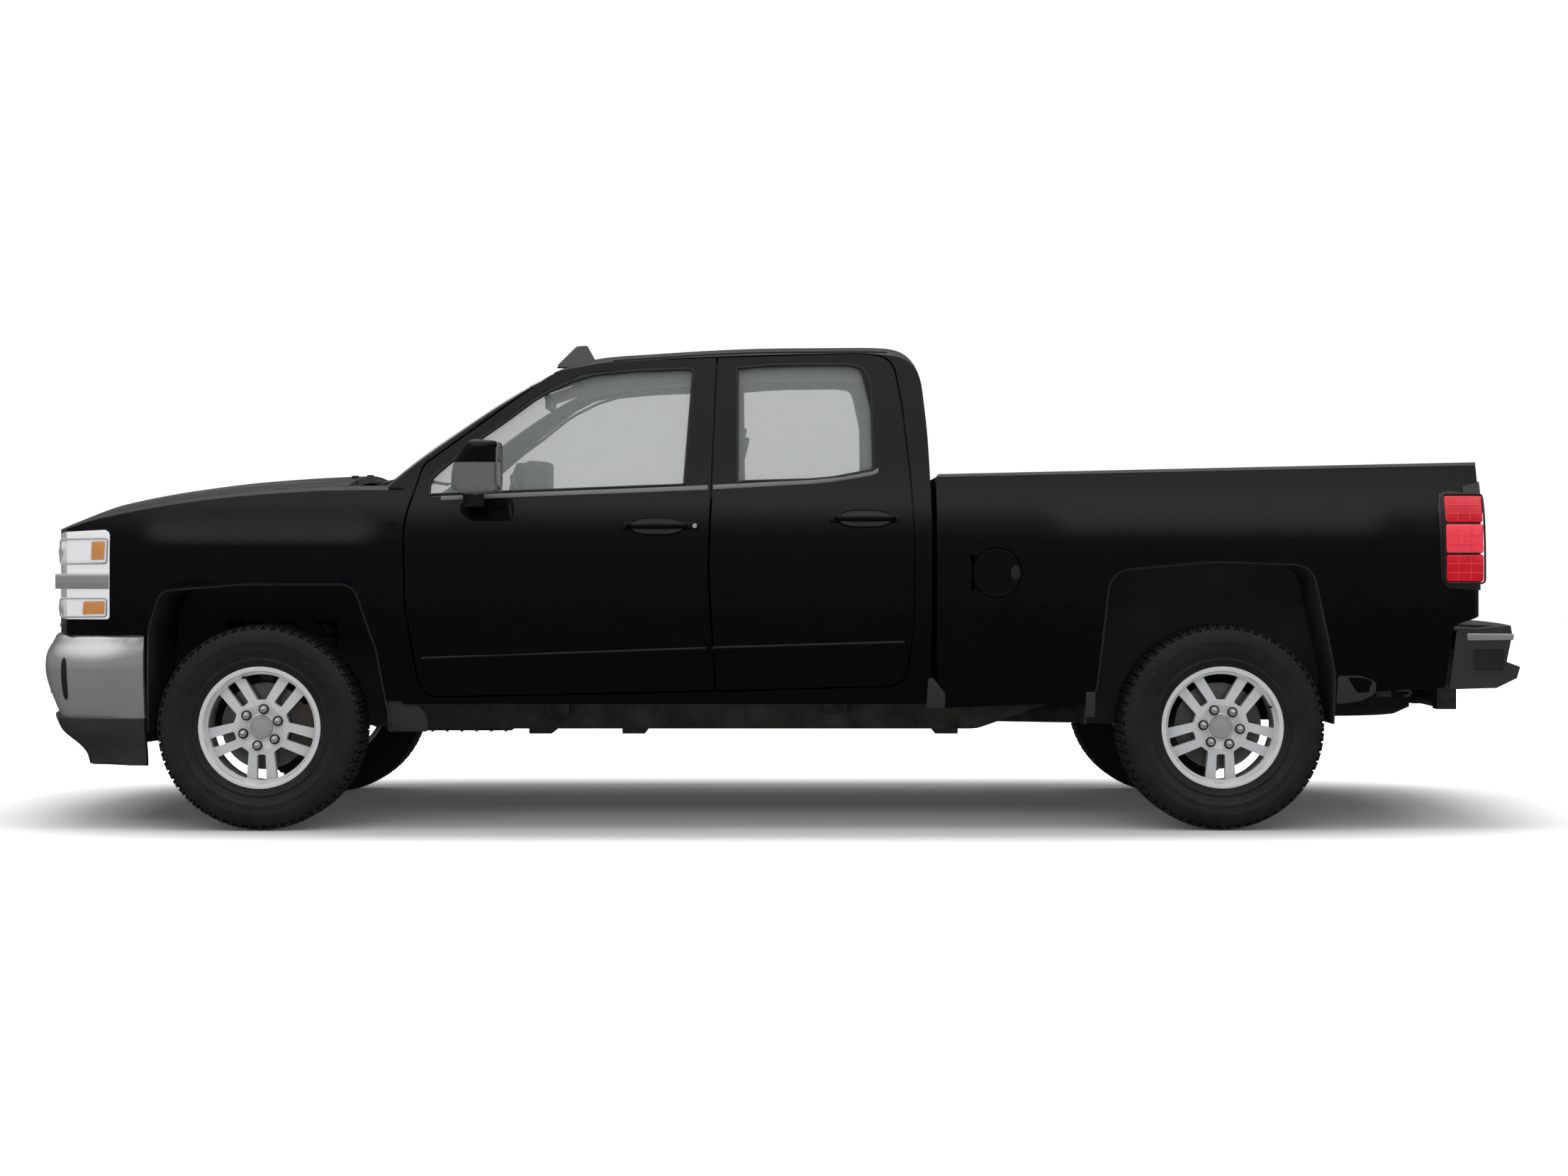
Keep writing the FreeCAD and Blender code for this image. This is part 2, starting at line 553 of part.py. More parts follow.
def windscreen_prism(grow=0.0):
    """Cut the windscreen's opening square to the glass."""
    low, high = S.cowl_height + S.cowl_wall * 0.2, S.roof_height - S.roof_crown * 1.55
    half_low, half_high = S.section_height * 0.457, S.section_height * 0.373
    points = [(-half_low, low, S.cowl_wall), (half_low, low, S.cowl_wall),
              (half_high, high, S.roof_crown), (-half_high, high, S.roof_crown)]
    wire = rounded_wire(points, lambda p: Vector(0, p.x, p.y))
    if grow:
        wire = wire.makeOffset2D(grow)
    face = Part.Face(wire)
    face.translate(Vector(CAB_FRONT - S.overrun, 0, 0))
    return face.extrude(Vector(S.cab_length * 0.36, 0, 0))


def rear_window_prism(grow=0.0):
    """Cut the rear window through the cab's rear wall."""
    low, high = S.belt_height + S.door_frame * 2.2, S.roof_height - S.roof_crown * 2.1
    half_low, half_high = S.section_height * 0.415, S.section_height * 0.345
    points = [(-half_low, low, S.roof_crown), (half_low, low, S.roof_crown),
              (half_high, high, S.roof_crown), (-half_high, high, S.roof_crown)]
    wire = rounded_wire(points, lambda p: Vector(0, p.x, p.y))
    if grow:
        wire = wire.makeOffset2D(grow)
    face = Part.Face(wire)
    face.translate(Vector(CAB_REAR - S.rear_wall * 3, 0, 0))
    return face.extrude(Vector(S.rear_wall * 4, 0, 0))


def make_cab():
    """Make the cab shell: sills, floor, firewall, pillars, roof and rear wall."""
    shell = both_sides(cab_sides[0.0]).common(roof_block())
    shell = shell.common(block(CAB_X, (-WIDE, WIDE), (S.sill_height, TALL + S.overrun)))
    above_fender = hood_block(-S.panel_gap)
    for sign in (-1, 1):
        side_room = block((CAB_X[0], DOOR_FRONT - S.panel_gap), sorted_span(sign, S.firewall_half_width, WIDE),
                          (0, TALL))
        shell = shell.cut(side_room.common(above_fender))
    shell = shell.cut(block((CAB_X[0], FRONT_AXLE + S.firewall_offset), (-WIDE, WIDE),
                            (0, S.cowl_height - S.cowl_wall)))
    cavity = both_sides(cab_sides[S.cab_wall]).common(roof_block(S.roof_wall))
    inside = block((FRONT_AXLE + S.firewall_offset + S.firewall_wall, CAB_REAR - S.rear_wall),
                   (-WIDE, WIDE), (S.floor_height, TALL))
    for sign in (-1, 1):
        inside = inside.cut(block((CAB_FRONT, DOOR_FRONT + S.door_flange), sorted_span(sign, S.kick_half, WIDE),
                                  (0, S.cowl_height - S.cowl_wall)))
        wheel_side = arch_prism("front", (-WIDE, S.overrun - S.liner_inner), S.firewall_wall)
        inside = inside.cut(wheel_side if sign < 0 else mirrored(wheel_side))
        inside = inside.cut(block((DOOR_SEAM - S.door_flange, DOOR_SEAM + S.door_flange * 1.3),
                                  sorted_span(sign, S.post_inner, WIDE), (0, S.belt_height - S.door_frame)))
    shell = shell.cut(cavity.common(inside))
    sill = S.body_half_width - 2 * S.cab_wall
    shell = shell.cut(block(CAB_X, (-sill, sill), (0, S.floor_height - S.floor_wall)))
    for which in ("front", "rear"):
        rebate = across(door_wire(which, S.panel_gap), DOOR_Y).cut(cab_sides[S.door_skin + S.panel_gap])
        frame = across(door_wire(which, S.panel_gap), DOOR_Y).cut(cab_sides[S.door_frame + S.panel_gap])
        frame = frame.common(block(CAB_X, DOOR_Y, (S.belt_height - S.door_frame - S.panel_gap, TALL)))
        through = across(door_wire(which, -S.door_flange), DOOR_Y)
        through = through.cut(block(CAB_X, (S.overrun + S.cab_wall - S.body_half_width, 0),
                                    (0, S.floor_height + S.overrun)))
        foot = hinge_point(which) - Vector(0, 0, S.panel_gap)
        swing = Part.makeCylinder(S.hinge_room, S.belt_height + S.door_frame - S.door_bottom, foot)
        swing = swing.common(across(door_wire(which, S.panel_gap), DOOR_Y))
        for tool in (rebate, frame, through, swing):
            shell = shell.cut(tool)
            shell = shell.cut(mirrored(tool))
    shell = shell.cut(windscreen_prism().cut(block((CAB_FRONT + S.cab_length * 0.3, CAB_REAR), (-WIDE, WIDE),
                                                   (0, S.belt_height))))
    shell = shell.cut(rear_window_prism())
    for which in ("front", "rear"):
        for height in hinge_heights():
            leaf = hinge_leaf(which, height)
            shell = shell.multiFuse([leaf, mirrored(leaf)])
    for sign in (-1, 1):
        shell = shell.multiFuse(hood_bracket(sign))
    wheel_side = arch_prism("front", (-WIDE, -S.liner_inner))
    return largest(shell.cut(wheel_side).cut(mirrored(wheel_side)))


def hood_axis(y):
    """Return the point of the hood's hinge axis at a place across the car."""
    return Vector(HOOD_REAR - S.hood_hinge_inset, y, S.hood_hinge_height)


def hood_bracket(sign):
    """Return the cowl's arm with the hood's hinge pin."""
    inner, outer = S.hood_hinge_half + S.panel_gap, S.hood_hinge_half + S.panel_gap + 3 * S.hood_pin
    pin = rod(hood_axis(sign * (S.hood_hinge_half - 3 * S.hood_pin)), hood_axis(sign * outer), S.hood_pin)
    boss = rod(hood_axis(sign * inner), hood_axis(sign * outer), S.hood_pin * 1.8)
    low = S.hood_hinge_height - S.hood_pin * 4
    arm = block((hood_axis(0).x, FRONT_AXLE + S.firewall_offset + S.firewall_wall), sorted_span(sign, inner, outer),
                (low, low + S.hood_pin * 2.8))
    return [pin, boss, arm]


def make_fin():
    """Make the low antenna fin on the roof."""
    front = FRONT_AXLE + S.fin_front_offset
    low = S.roof_height - S.roof_crown
    points = [(front, low, 0), (front + S.fin_length, low, 0),
              (front + S.fin_length * 0.72, low + S.fin_height + S.fin_wall * 0.55, 6),
              (front + S.fin_length * 0.5, low + S.fin_height + S.fin_wall * 0.45, 6)]
    wire = rounded_wire([(x, z, max(r, S.seat_gap)) for x, z, r in points], lambda p: Vector(p.x, 0, p.y))
    return across(wire, (-S.fin_wall / 2, S.fin_wall / 2)).cut(roof_block())


def make_screens():
    """Make the windscreen and the rear window."""
    under, below = roof_block(S.screen_depth), roof_block(S.screen_depth + S.screen_wall)
    ahead = block((CAB_FRONT - S.overrun, CAB_FRONT + S.cab_length * 0.36), (-WIDE, WIDE), (0, TALL))
    back = block((CAB_REAR - S.rear_wall, CAB_REAR + S.overrun), (-WIDE, WIDE), (0, TALL))
    screen = windscreen_prism(-S.seat_gap).common(ahead).common(under).cut(below)
    rear = rear_window_prism(-S.seat_gap).common(back).common(under).cut(below)
    return [largest(screen), largest(rear)]


# Nose

def hood_plan(grow=0.0):
    """Return the hood's outline in plan."""
    length = HOOD_REAR - HOOD_FRONT
    left = [(HOOD_FRONT + x * length, -y * S.hood_half_width, r * S.hood_half_width)
            for x, y, r in HOOD_PLAN_SHARES]
    nose = [(HOOD_FRONT - S.bumper_reach, 0.0, S.hood_half_width)]
    right = [(x, -y, r) for x, y, r in reversed(left)]
    wire = rounded_wire(left + nose + right, lambda p: p)
    return wire.makeOffset2D(grow) if grow else wire


NOSE_X = (NOSE - S.overrun, DOOR_FRONT + S.overrun)
NOSE_Z = (S.arch_bottom - S.overrun * 2, S.belt_height + S.overrun * 3)


def front_block(inset=0.0):
    """Make the solid envelope of the nose."""
    sides = both_sides(side_block(NOSE_X, NOSE_Z, inset, (40, 26)))
    return sides.common(hood_block(inset)).common(nose_block(inset))


nose_outer = front_block()
nose_inner = front_block(S.fender_wall)


def lamp_prism(grow=0.0):
    """Return the headlamp's outline in the side view, run across the car."""
    rear = FRONT_AXLE - S.lamp_rear_offset
    points = [(NOSE - S.overrun, S.lamp_bottom, S.seat_gap), (rear, S.lamp_bottom, S.fender_wall / 2),
              (rear, S.lamp_top, S.fender_wall), (NOSE - S.overrun, S.lamp_top - S.fender_wall, S.seat_gap)]
    wire = rounded_wire(points, lambda p: Vector(p.x, 0, p.y))
    return across(wire.makeOffset2D(grow) if grow else wire, (-WIDE, -S.lamp_inner + grow))


def make_hood():
    """Make the hood panel."""
    panel = nose_outer.common(upward(hood_plan(), (S.grille_top + S.panel_gap, TALL)))
    panel = panel.cut(front_block(S.hood_wall))
    for sign in (-1, 1):
        axis = hood_axis(sign * S.hood_hinge_half)
        lug = block((axis.x - S.hood_pin * 2.2, axis.x + S.hood_pin * 2.2),
                    sorted_span(sign, S.hood_hinge_half - 3 * S.hood_pin, S.hood_hinge_half),
                    (axis.z - S.hood_pin * 2.2, axis.z + S.hood_wall + S.hood_pin))
        bore = rod(hood_axis(sign * (S.hood_hinge_half - S.overrun)),
                   hood_axis(sign * (S.hood_hinge_half + S.overrun)), S.hood_pin + S.pin_play)
        panel = panel.fuse(lug).cut(bore)
    return largest(panel)


def make_fender():
    """Make the driver's side front fender as one folded panel."""
    shell = nose_outer.cut(nose_inner).common(block(NOSE_X, (-WIDE, -S.lamp_inner), (0, TALL)))
    shell = shell.cut(upward(hood_plan(S.panel_gap), (S.fender_bottom, TALL)))
    shell = shell.cut(lamp_prism(S.seat_gap))
    shell = shell.cut(arch_prism("front", (-WIDE, 0)))
    ahead = FRONT_AXLE - S.arch_front_length / 2
    shell = shell.cut(block((NOSE_X[0], ahead), (-WIDE, 0), (0, S.fender_bottom)))
    shell = shell.cut(block(NOSE_X, (-WIDE, 0), (0, S.arch_bottom)))
    shell = shell.cut(block((NOSE_X[0], FRONT_AXLE), (-WIDE, 0), (0, S.bumper_top + S.seat_gap)).common(
        block((NOSE_X[0], NOSE + S.bumper_rear_offset + S.nose_corner * 2), (-WIDE, 0), (0, TALL))))
    shell = shell.cut(windscreen_prism(S.cowl_wall / 4))
    seam = across(door_wire("front", S.panel_gap), (-WIDE, 0))
    behind = block((DOOR_FRONT - S.panel_gap, NOSE_X[1]), (-WIDE, 0), (0, TALL))
    cowl_side = block((HOOD_REAR - S.panel_gap, NOSE_X[1]), (-S.firewall_half_width - S.seat_gap, 0), (0, TALL))
    corner_room = block((HOOD_REAR - S.hood_swing / 2, HOOD_REAR + S.hood_swing),
                        (-S.firewall_half_width - S.hood_swing, 0), (S.hood_hinge_height, TALL))
    shell = largest(shell.cut(seam).cut(behind).cut(cowl_side).cut(corner_room))
    ledge = block((DOOR_FRONT - S.hinge_room - S.fender_wall, DOOR_FRONT - S.panel_gap - S.fender_wall),
                  (-S.body_half_width + S.fender_wall / 2, -S.firewall_half_width - S.seat_gap),
                  (S.lamp_top, S.lamp_top + S.fender_wall))
    return largest(shell.fuse(ledge))


def arch_prism(which, y_span, grow=0.0):
    """Return the wheel arch opening, run across the car."""
    if which == "front":
        middle = FRONT_AXLE - S.seat_gap
        wire = side_outline(FRONT_ARCH_SHARES, (middle - S.arch_front_length * 0.47,
                                                middle + S.arch_front_length * 0.53),
                            (S.arch_bottom, S.arch_top), grow)
    else:
        wire = side_outline(REAR_ARCH_SHARES, (REAR_AXLE - S.bed_arch_length * 0.55,
                                               REAR_AXLE + S.bed_arch_length * 0.45),
                            (S.bed_arch_bottom, S.bed_arch_top), grow)
    return across(wire, y_span)


def make_liner():
    """Make the driver's side front wheel liner."""
    span = (-S.overall_width / 2, -S.liner_inner)
    outer = arch_prism("front", span, -S.seat_gap).cut(block(NOSE_X, (-WIDE, 0), (0, S.knuckle_bottom)))
    inner = arch_prism("front", (-WIDE, -S.liner_inner - S.liner_wall), -S.liner_wall)
    hole = block((FRONT_AXLE - S.strut_radius * 4, FRONT_AXLE + S.strut_radius * 4),
                 (-WIDE, 0), (0, S.knuckle_top + S.arm_wall * 8))
    return largest(outer.cut(inner).cut(hole).common(side_block(NOSE_X, NOSE_Z, S.fender_wall / 2)))


def make_rear_liner():
    """Make the driver's side rear wheel liner inside the bed's wheelhouse."""
    wall = -S.wheelhouse_inner - S.wheelhouse_wall - S.seat_gap
    outer = arch_prism("rear", (-S.overall_width / 2, wall), -S.seat_gap)
    inner = arch_prism("rear", (-WIDE, wall - S.liner_wall), -S.liner_wall)
    room = S.axle_radius * 1.5
    axle_slot = block((REAR_AXLE - room, REAR_AXLE + room), (-WIDE, 0), (0, S.tyre_radius + room))
    return largest(outer.cut(inner).cut(axle_slot).common(side_block(BED_X, BED_Z, S.bed_side_wall / 3, (34, 24))))


def make_headlamp():
    """Make the driver's side headlamp."""
    lamp = nose_outer.common(lamp_prism()).cut(front_block(S.lamp_depth))
    lamp = lamp.cut(upward(hood_plan(S.panel_gap), (S.lamp_top - S.lamp_depth, TALL)))
    return largest(lamp)


def make_grille():
    """Make the grille: a frame with upright bowed bars and a back panel."""
    bottom = S.bumper_top + S.seat_gap
    zone = block(NOSE_X, (-S.lamp_inner + S.seat_gap, S.lamp_inner - S.seat_gap), (bottom, S.grille_top))
    plate = nose_outer.common(zone).cut(nose_block(S.grille_depth))
    rows = 3
    pitch = (S.grille_top - bottom - 2 * S.grille_bar) / rows
    front_zone = nose_block(S.mesh_depth)
    for row in range(rows):
        low = bottom + 2 * S.grille_bar + row * pitch
        gap = block(NOSE_X, (-S.lamp_inner + S.grille_bar, S.lamp_inner - S.grille_bar),
                    (low, low + pitch - S.grille_bar))
        plate = plate.cut(gap.cut(front_zone))
    behind = nose_block(S.mesh_depth + S.grille_back)
    hollow = block(NOSE_X, (-S.lamp_inner + S.grille_bar, S.lamp_inner - S.grille_bar),
                   (bottom + S.grille_bar, S.grille_top - S.grille_bar))
    return largest(plate.cut(hollow.common(behind)))


# Bumpers

def bumper_plan():
    """Return points and outward directions of the bumper's plan curve, left to right."""
    corner = S.bumper_half_width - S.nose_corner
    left = [Vector(NOSE + S.bumper_rear_offset + S.nose_corner, -S.bumper_half_width, 0),
            Vector(NOSE + S.bumper_rear_offset, -S.bumper_half_width, 0),
            Vector(NOSE + S.bumper_corner_x + S.nose_corner * 1.25, -S.bumper_half_width + 0.06 * S.nose_corner, 0),
            Vector(NOSE + S.bumper_corner_x + S.nose_corner * 0.45, -S.bumper_half_width + 0.35 * S.nose_corner, 0)]
    front = [Vector(nose_x(y), y, 0) for y in steps(-corner, corner, 12)]
    right = [Vector(point.x, -point.y, 0) for point in reversed(left)]
    curve = Part.BSplineCurve()
    curve.interpolate(left + front + right)
    places = []
    for value in steps(curve.FirstParameter, curve.LastParameter, 48):
        along = curve.tangent(value)[0]
        places.append((curve.value(value), Vector(-along.y, along.x, 0)))
    return places


def bumper_skin(shares, z_span, wall):
    """Make a bumper panel along the nose from a section of shares."""
    section = smooth_curve([(-z, d) for z, d in shares])
    height = z_span[1] - z_span[0]
    outer, inner = [], []
    for point, out in bumper_plan():
        lead = ease((FRONT_AXLE - S.arch_front_length / 2 - point.x) / S.nose_bow)
        reach = S.bumper_reach * (0.3 + 0.7 * lead)
        outer.append([point + out * (reach * section(-share)) + Vector(0, 0, z_span[0] + share * height)
                      for share in steps(1.0, 0.0, 12)])
        inner.append([place - out * wall for place in outer[-1]])
    return skin(outer, inner)


def bumper_inside():
    """Return the X place of the inner face of the rear bumper's middle."""
    return TAIL - S.plate_recess - S.rear_bumper_wall


def make_rear_bumper():
    """Make the rear step bumper with its plate recess and ball hole."""
    height = S.rear_bumper_top - S.rear_bumper_bottom
    level = crown(S.plate_width / 2, S.rear_bumper_bow, S.rear_bumper_half)
    sections = []
    for y in steps(-S.rear_bumper_half, S.rear_bumper_half, 8):
        back = TAIL - crown(y, S.rear_bumper_bow, S.rear_bumper_half) + level
        points = [Vector(back - share * S.rear_bumper_depth, y, S.rear_bumper_bottom + rise * height)
                  for share, rise in REAR_BUMPER_SHARES]
        sections.append(Part.makePolygon(points + points[:1]))
    shape = Part.makeLoft(sections, True, False)
    recess = block((TAIL - S.plate_recess, TAIL + S.overrun), (-S.plate_width / 2, S.plate_width / 2),
                   (S.rear_bumper_bottom - S.overrun, S.rear_bumper_bottom + S.plate_height))
    hollow = block((0, TAIL - S.rear_bumper_bow - S.plate_recess - S.rear_bumper_wall),
                   (-S.rear_bumper_half + S.rear_bumper_wall, S.rear_bumper_half - S.rear_bumper_wall),
                   (0, S.rear_bumper_top - S.pad_wall))
    middle = block((0, bumper_inside()), (-S.rear_bumper_half * 0.6, S.rear_bumper_half * 0.6),
                   (0, S.rear_bumper_top - S.pad_wall))
    ball = Part.makeCylinder(S.ball_hole / 2, TALL, Vector(TAIL - S.plate_recess * 2.2, 0, 0))
    shape = shape.cut(recess).cut(hollow).cut(middle).cut(ball)
    for y_sign in (-1, 1):
        hole = Part.makeCylinder(S.plate_hole / 2, S.rear_bumper_depth,
                                 Vector(TAIL - S.plate_recess * 2, y_sign * S.plate_hole_pitch / 2,
                                        S.rear_bumper_bottom + S.plate_height * 0.82), ABOUT_X)
        shape = shape.cut(hole)
    return largest(shape)


def make_front_bumper():
    """Make the front bumper with the two brackets behind it."""
    shell = bumper_skin(BUMPER_SHARES, (S.bumper_bottom, S.bumper_top), S.bumper_wall)
    for sign in (-1, 1):
        bracket = block((HOOD_FRONT - S.panel_gap / 2, NOSE + S.nose_bow - S.seat_gap),
                        sorted_span(sign, S.rail_half - S.bumper_wall, S.rail_half + S.bumper_wall),
                        (S.rail_front_height + S.bumper_wall, S.rail_front_height + S.bumper_wall * 4.6))
        shell = shell.fuse(bracket)
    return largest(shell)


# Bed

BED_X = (BED_FRONT, BED_REAR + S.overrun)
BED_Z = (S.bed_bottom - S.overrun, S.bed_top_rear + S.overrun)


def bed_top(x):
    """Return the height of the bed's side at a place along it."""
    return S.bed_top_front + (S.bed_top_rear - S.bed_top_front) * (x - BED_FRONT) / S.bed_length


def bed_outline():
    """Return the side view of a bed side with the bumper's notch."""
    notch = BED_REAR - S.tail_lamp_width
    small, big = S.bed_side_wall / 4, S.bed_side_wall
    points = [(BED_FRONT, S.bed_bottom, small), (BED_FRONT, bed_top(BED_FRONT), small),
              (BED_REAR, bed_top(BED_REAR), small), (BED_REAR, S.rear_bumper_top + big, small),
              (notch + big / 2, S.rear_bumper_top, big), (notch - small, S.bed_tail_bottom, small),
              (notch - S.tail_lamp_height, S.bed_tail_bottom - big / 2, big)]
    return rounded_wire(points, lambda p: Vector(p.x, 0, p.y))


def tail_lamp_wire(grow=0.0):
    """Return the tail lamp's outline in the side view."""
    x, top, low = BED_REAR, S.tail_lamp_top, S.tail_lamp_top - S.tail_lamp_height
    front = x - S.tail_lamp_width - S.bed_side_wall
    points = [(front, top - S.tail_lamp_depth, S.bed_side_wall / 2), (front + S.bed_side_wall / 4, top,
               S.bed_side_wall / 3), (x + S.overrun, top + S.tail_lamp_depth, S.seat_gap),
              (x + S.overrun, low - S.bed_side_wall / 3, S.seat_gap), (front + S.bed_side_wall * 0.9, low,
               S.bed_side_wall / 2), (front + S.bed_side_wall * 0.2, low + S.tail_lamp_depth / 2, S.bed_side_wall)]
    wire = rounded_wire(points, lambda p: Vector(p.x, 0, p.y))
    return wire.makeOffset2D(grow) if grow else wire


bed_side_outer = side_block(BED_X, BED_Z, 0.0, (34, 24))
bed_side_inner = side_block(BED_X, BED_Z, S.bed_side_wall, (34, 24))


def corner_block(proud=0.0):
    """Round the bed's rear corner in plan, standing proud by a share of the lamp."""
    side, rear = -S.body_half_width + S.bed_taper - proud, BED_REAR + proud
    points = [(BED_FRONT - S.overrun, side - S.overrun * 2, S.seat_gap), (BED_FRONT - S.overrun, 0, S.seat_gap),
              (rear, 0, S.seat_gap), (rear, side, S.tail_lamp_depth * 1.3),
              (rear - S.tail_lamp_width * 1.6, side - S.overrun, S.tail_lamp_depth)]
    return upward(rounded_wire(points, lambda p: p), BED_Z)


def make_bedside():
    """Make the driver's side wall of the bed with its arch and wheelhouse."""
    wall = across(bed_outline(), (-WIDE, -S.bed_inner)).common(bed_side_outer).common(corner_block())
    under = bed_side_inner.common(block(BED_X, (-WIDE, 0), (0, S.bed_floor - S.bed_floor_wall)))
    wall = wall.cut(under)
    house = arch_prism("rear", (-S.body_half_width, -S.wheelhouse_inner), S.wheelhouse_wall)
    house = house.common(block(BED_X, (-S.body_half_width + S.bed_side_wall, 0), (S.bed_floor, TALL)))
    wall = wall.fuse(house)
    wall = wall.cut(arch_prism("rear", (-WIDE, -S.wheelhouse_inner - S.wheelhouse_wall)))
    lamp = across(tail_lamp_wire(S.seat_gap), (-WIDE, -S.body_half_width + S.tail_lamp_reach))
    lamp = lamp.cut(bed_side_lamp_back())
    wall = wall.cut(lamp)
    cup = fuel_prism(S.fuel_door_radius + S.panel_gap)
    cup = cup.cut(side_block(BED_X, BED_Z, S.fuel_cup_depth, (34, 24)))
    wall = wall.cut(cup).cut(fuel_swing())
    gate_pin = rod(gate_axis(-S.bed_inner - S.gate_pin), gate_axis(-S.bed_inner + S.hinge_leaf), S.gate_pin)
    foot, head = fuel_axis()
    middle, reach = (foot + head) / 2, Vector(0, 0, S.fuel_door_radius * 0.75 + S.fuel_door_wall)
    return largest(wall.multiFuse([gate_pin, rod(middle - reach, middle + reach, S.fuel_pin)]))


def gate_axis(y):
    """Return the point of the tailgate's hinge axis at a place across the car."""
    return Vector(BED_REAR - S.gate_pin_inset, y, S.gate_pin_height)


def fuel_axis():
    """Return the lower and upper end of the fuel door's hinge axis."""
    x = BED_FRONT + S.fuel_door_offset - S.fuel_door_radius + S.fuel_door_wall
    y = -S.body_half_width + S.fuel_door_wall
    return (Vector(x, y, S.fuel_door_height - S.fuel_door_radius),
            Vector(x, y, S.fuel_door_height + S.fuel_door_radius))


def bed_side_lamp_back():
    """Return the part of the bed's corner that lies behind the lamp's housing."""
    return block((0, BED_REAR - S.tail_lamp_depth), (-S.body_half_width + S.tail_lamp_depth, 0), (0, TALL))


def make_tail_lamp():
    """Make the driver's side tail lamp, wrapped round the bed's corner."""
    zone = across(tail_lamp_wire(), (-WIDE, -S.body_half_width + S.tail_lamp_reach - S.seat_gap))
    proud_side = side_block(BED_X, BED_Z, -S.tail_lamp_proud, (34, 24))
    lamp = zone.common(corner_block(S.tail_lamp_proud)).common(proud_side)
    return largest(lamp.cut(bed_side_lamp_back()))


def fuel_prism(radius):
    """Return a round plug across the fuel door's place."""
    centre = Vector(BED_FRONT + S.fuel_door_offset, -WIDE, S.fuel_door_height)
    return Part.makeCylinder(radius, WIDE - S.bed_inner, centre, ABOUT_Y)


def fuel_swing():
    """Return the room that the fuel door's hinged edge needs."""
    foot, head = fuel_axis()
    middle, reach = (foot + head) / 2, Vector(0, 0, S.fuel_door_radius * 0.75)
    return rod(middle - reach, middle + reach, S.fuel_door_wall + S.fuel_pin + S.panel_gap)


def make_fuel_door():
    """Make the round fuel door as a slice of the bed side."""
    plug = fuel_prism(S.fuel_door_radius).common(bed_side_outer)
    plug = plug.cut(side_block(BED_X, BED_Z, S.fuel_door_wall, (34, 24)))
    foot, head = fuel_axis()
    middle = (foot + head) / 2
    half = Vector(0, 0, S.hinge_leaf)
    sleeve = rod(middle - half, middle + half, S.fuel_door_wall * 0.7)
    return largest(plug.fuse(sleeve).cut(rod(foot, head, S.fuel_pin + S.pin_play)))


def make_bed():
    """Make the bed floor with its front wall and the beams under it."""
    low = S.bed_floor - S.bed_floor_wall
    inner = S.bed_inner - S.seat_gap
    rear = BED_REAR - S.tailgate_wall - S.panel_gap * 2.2
    floor = block((BED_FRONT, rear), (-inner, inner), (low, S.bed_floor))
    wall = block((BED_FRONT, BED_FRONT + S.bed_front_wall), (-inner, inner), (low, bed_top(BED_FRONT)))
    shape = floor.fuse(wall)
    for share in (0.06, 0.28, 0.66, 0.9):
        x = BED_FRONT + share * S.bed_length
        beam = S.wheelhouse_inner - S.bed_floor_wall
        shape = shape.fuse(block((x, x + S.cross_wall), (-beam, beam),
                                 (S.rail_rear_height + S.rail_tall + S.seat_gap, low)))
    for sign in (-1, 1):
        house = arch_prism("rear", sorted_span(sign, S.wheelhouse_inner - S.seat_gap, S.bed_inner + S.overrun),
                           S.wheelhouse_wall + S.seat_gap)
        shape = shape.cut(house)
    return largest(shape.removeSplitter())


def sorted_span(sign, first, second):
    """Return a Y span on one side of the car, lowest first."""
    return tuple(sorted((sign * first, sign * second)))


def make_rail_cap():
    """Make the driver's side cap on top of the bed wall."""
    points = [(BED_FRONT, bed_top(BED_FRONT) + S.seat_gap), (BED_REAR, bed_top(BED_REAR) + S.seat_gap),
              (BED_REAR, bed_top(BED_REAR) + S.rail_cap), (BED_FRONT + S.rail_cap, bed_top(BED_FRONT) + S.rail_cap)]
    wire = Part.makePolygon([Vector(x, 0, z) for x, z in points + points[:1]])
    cap = across(wire, (-WIDE, -S.bed_inner + S.seat_gap))
    return largest(cap.common(side_block(BED_X, BED_Z, -S.rail_cap / 6, (34, 24))).common(corner_block()))


def make_tailgate():
    """Make the tailgate between the bed walls."""
    inner = S.bed_inner - S.panel_gap
    rear = BED_REAR
    top = S.bed_top_rear + S.rail_cap / 2
    points = [(rear - S.tailgate_wall, S.tailgate_bottom, S.panel_gap), (rear, S.tailgate_bottom, S.panel_gap),
              (rear, top - S.tailgate_wall * 1.2, S.tailgate_wall), (rear + S.tailgate_wall * 0.22, top, S.panel_gap),
              (rear - S.tailgate_wall, top, S.panel_gap)]
    wire = rounded_wire(points, lambda p: Vector(p.x, 0, p.y))
    gate = across(wire, (-inner, inner))
    for sign in (-1, 1):
        gate = gate.cut(rod(gate_axis(sign * (S.bed_inner - S.hinge_leaf - S.panel_gap)),
                            gate_axis(sign * S.bed_inner), S.gate_pin + S.pin_play))
    return largest(gate)


# Wheels

def wheel_centre(which, side):
    """Return the centre of a wheel; side is -1 for the driver's side."""
    if which == "front":
        return Vector(FRONT_AXLE, side * S.track_front / 2, S.tyre_radius)
    return Vector(REAR_AXLE, side * S.track_rear / 2, S.tyre_radius)


def make_tyre(centre, axis, radius):
    """Make a tyre with flat tread, shoulders and side walls."""
    half, bead = S.tyre_width / 2, S.rim_width / 2
    outline = [(-bead, S.rim_radius), (-half, radius - S.tyre_width * 0.21), (-half * 0.8, radius),
               (half * 0.8, radius), (half, radius - S.tyre_width * 0.21), (bead, S.rim_radius)]
    return turned(outline, centre, axis)


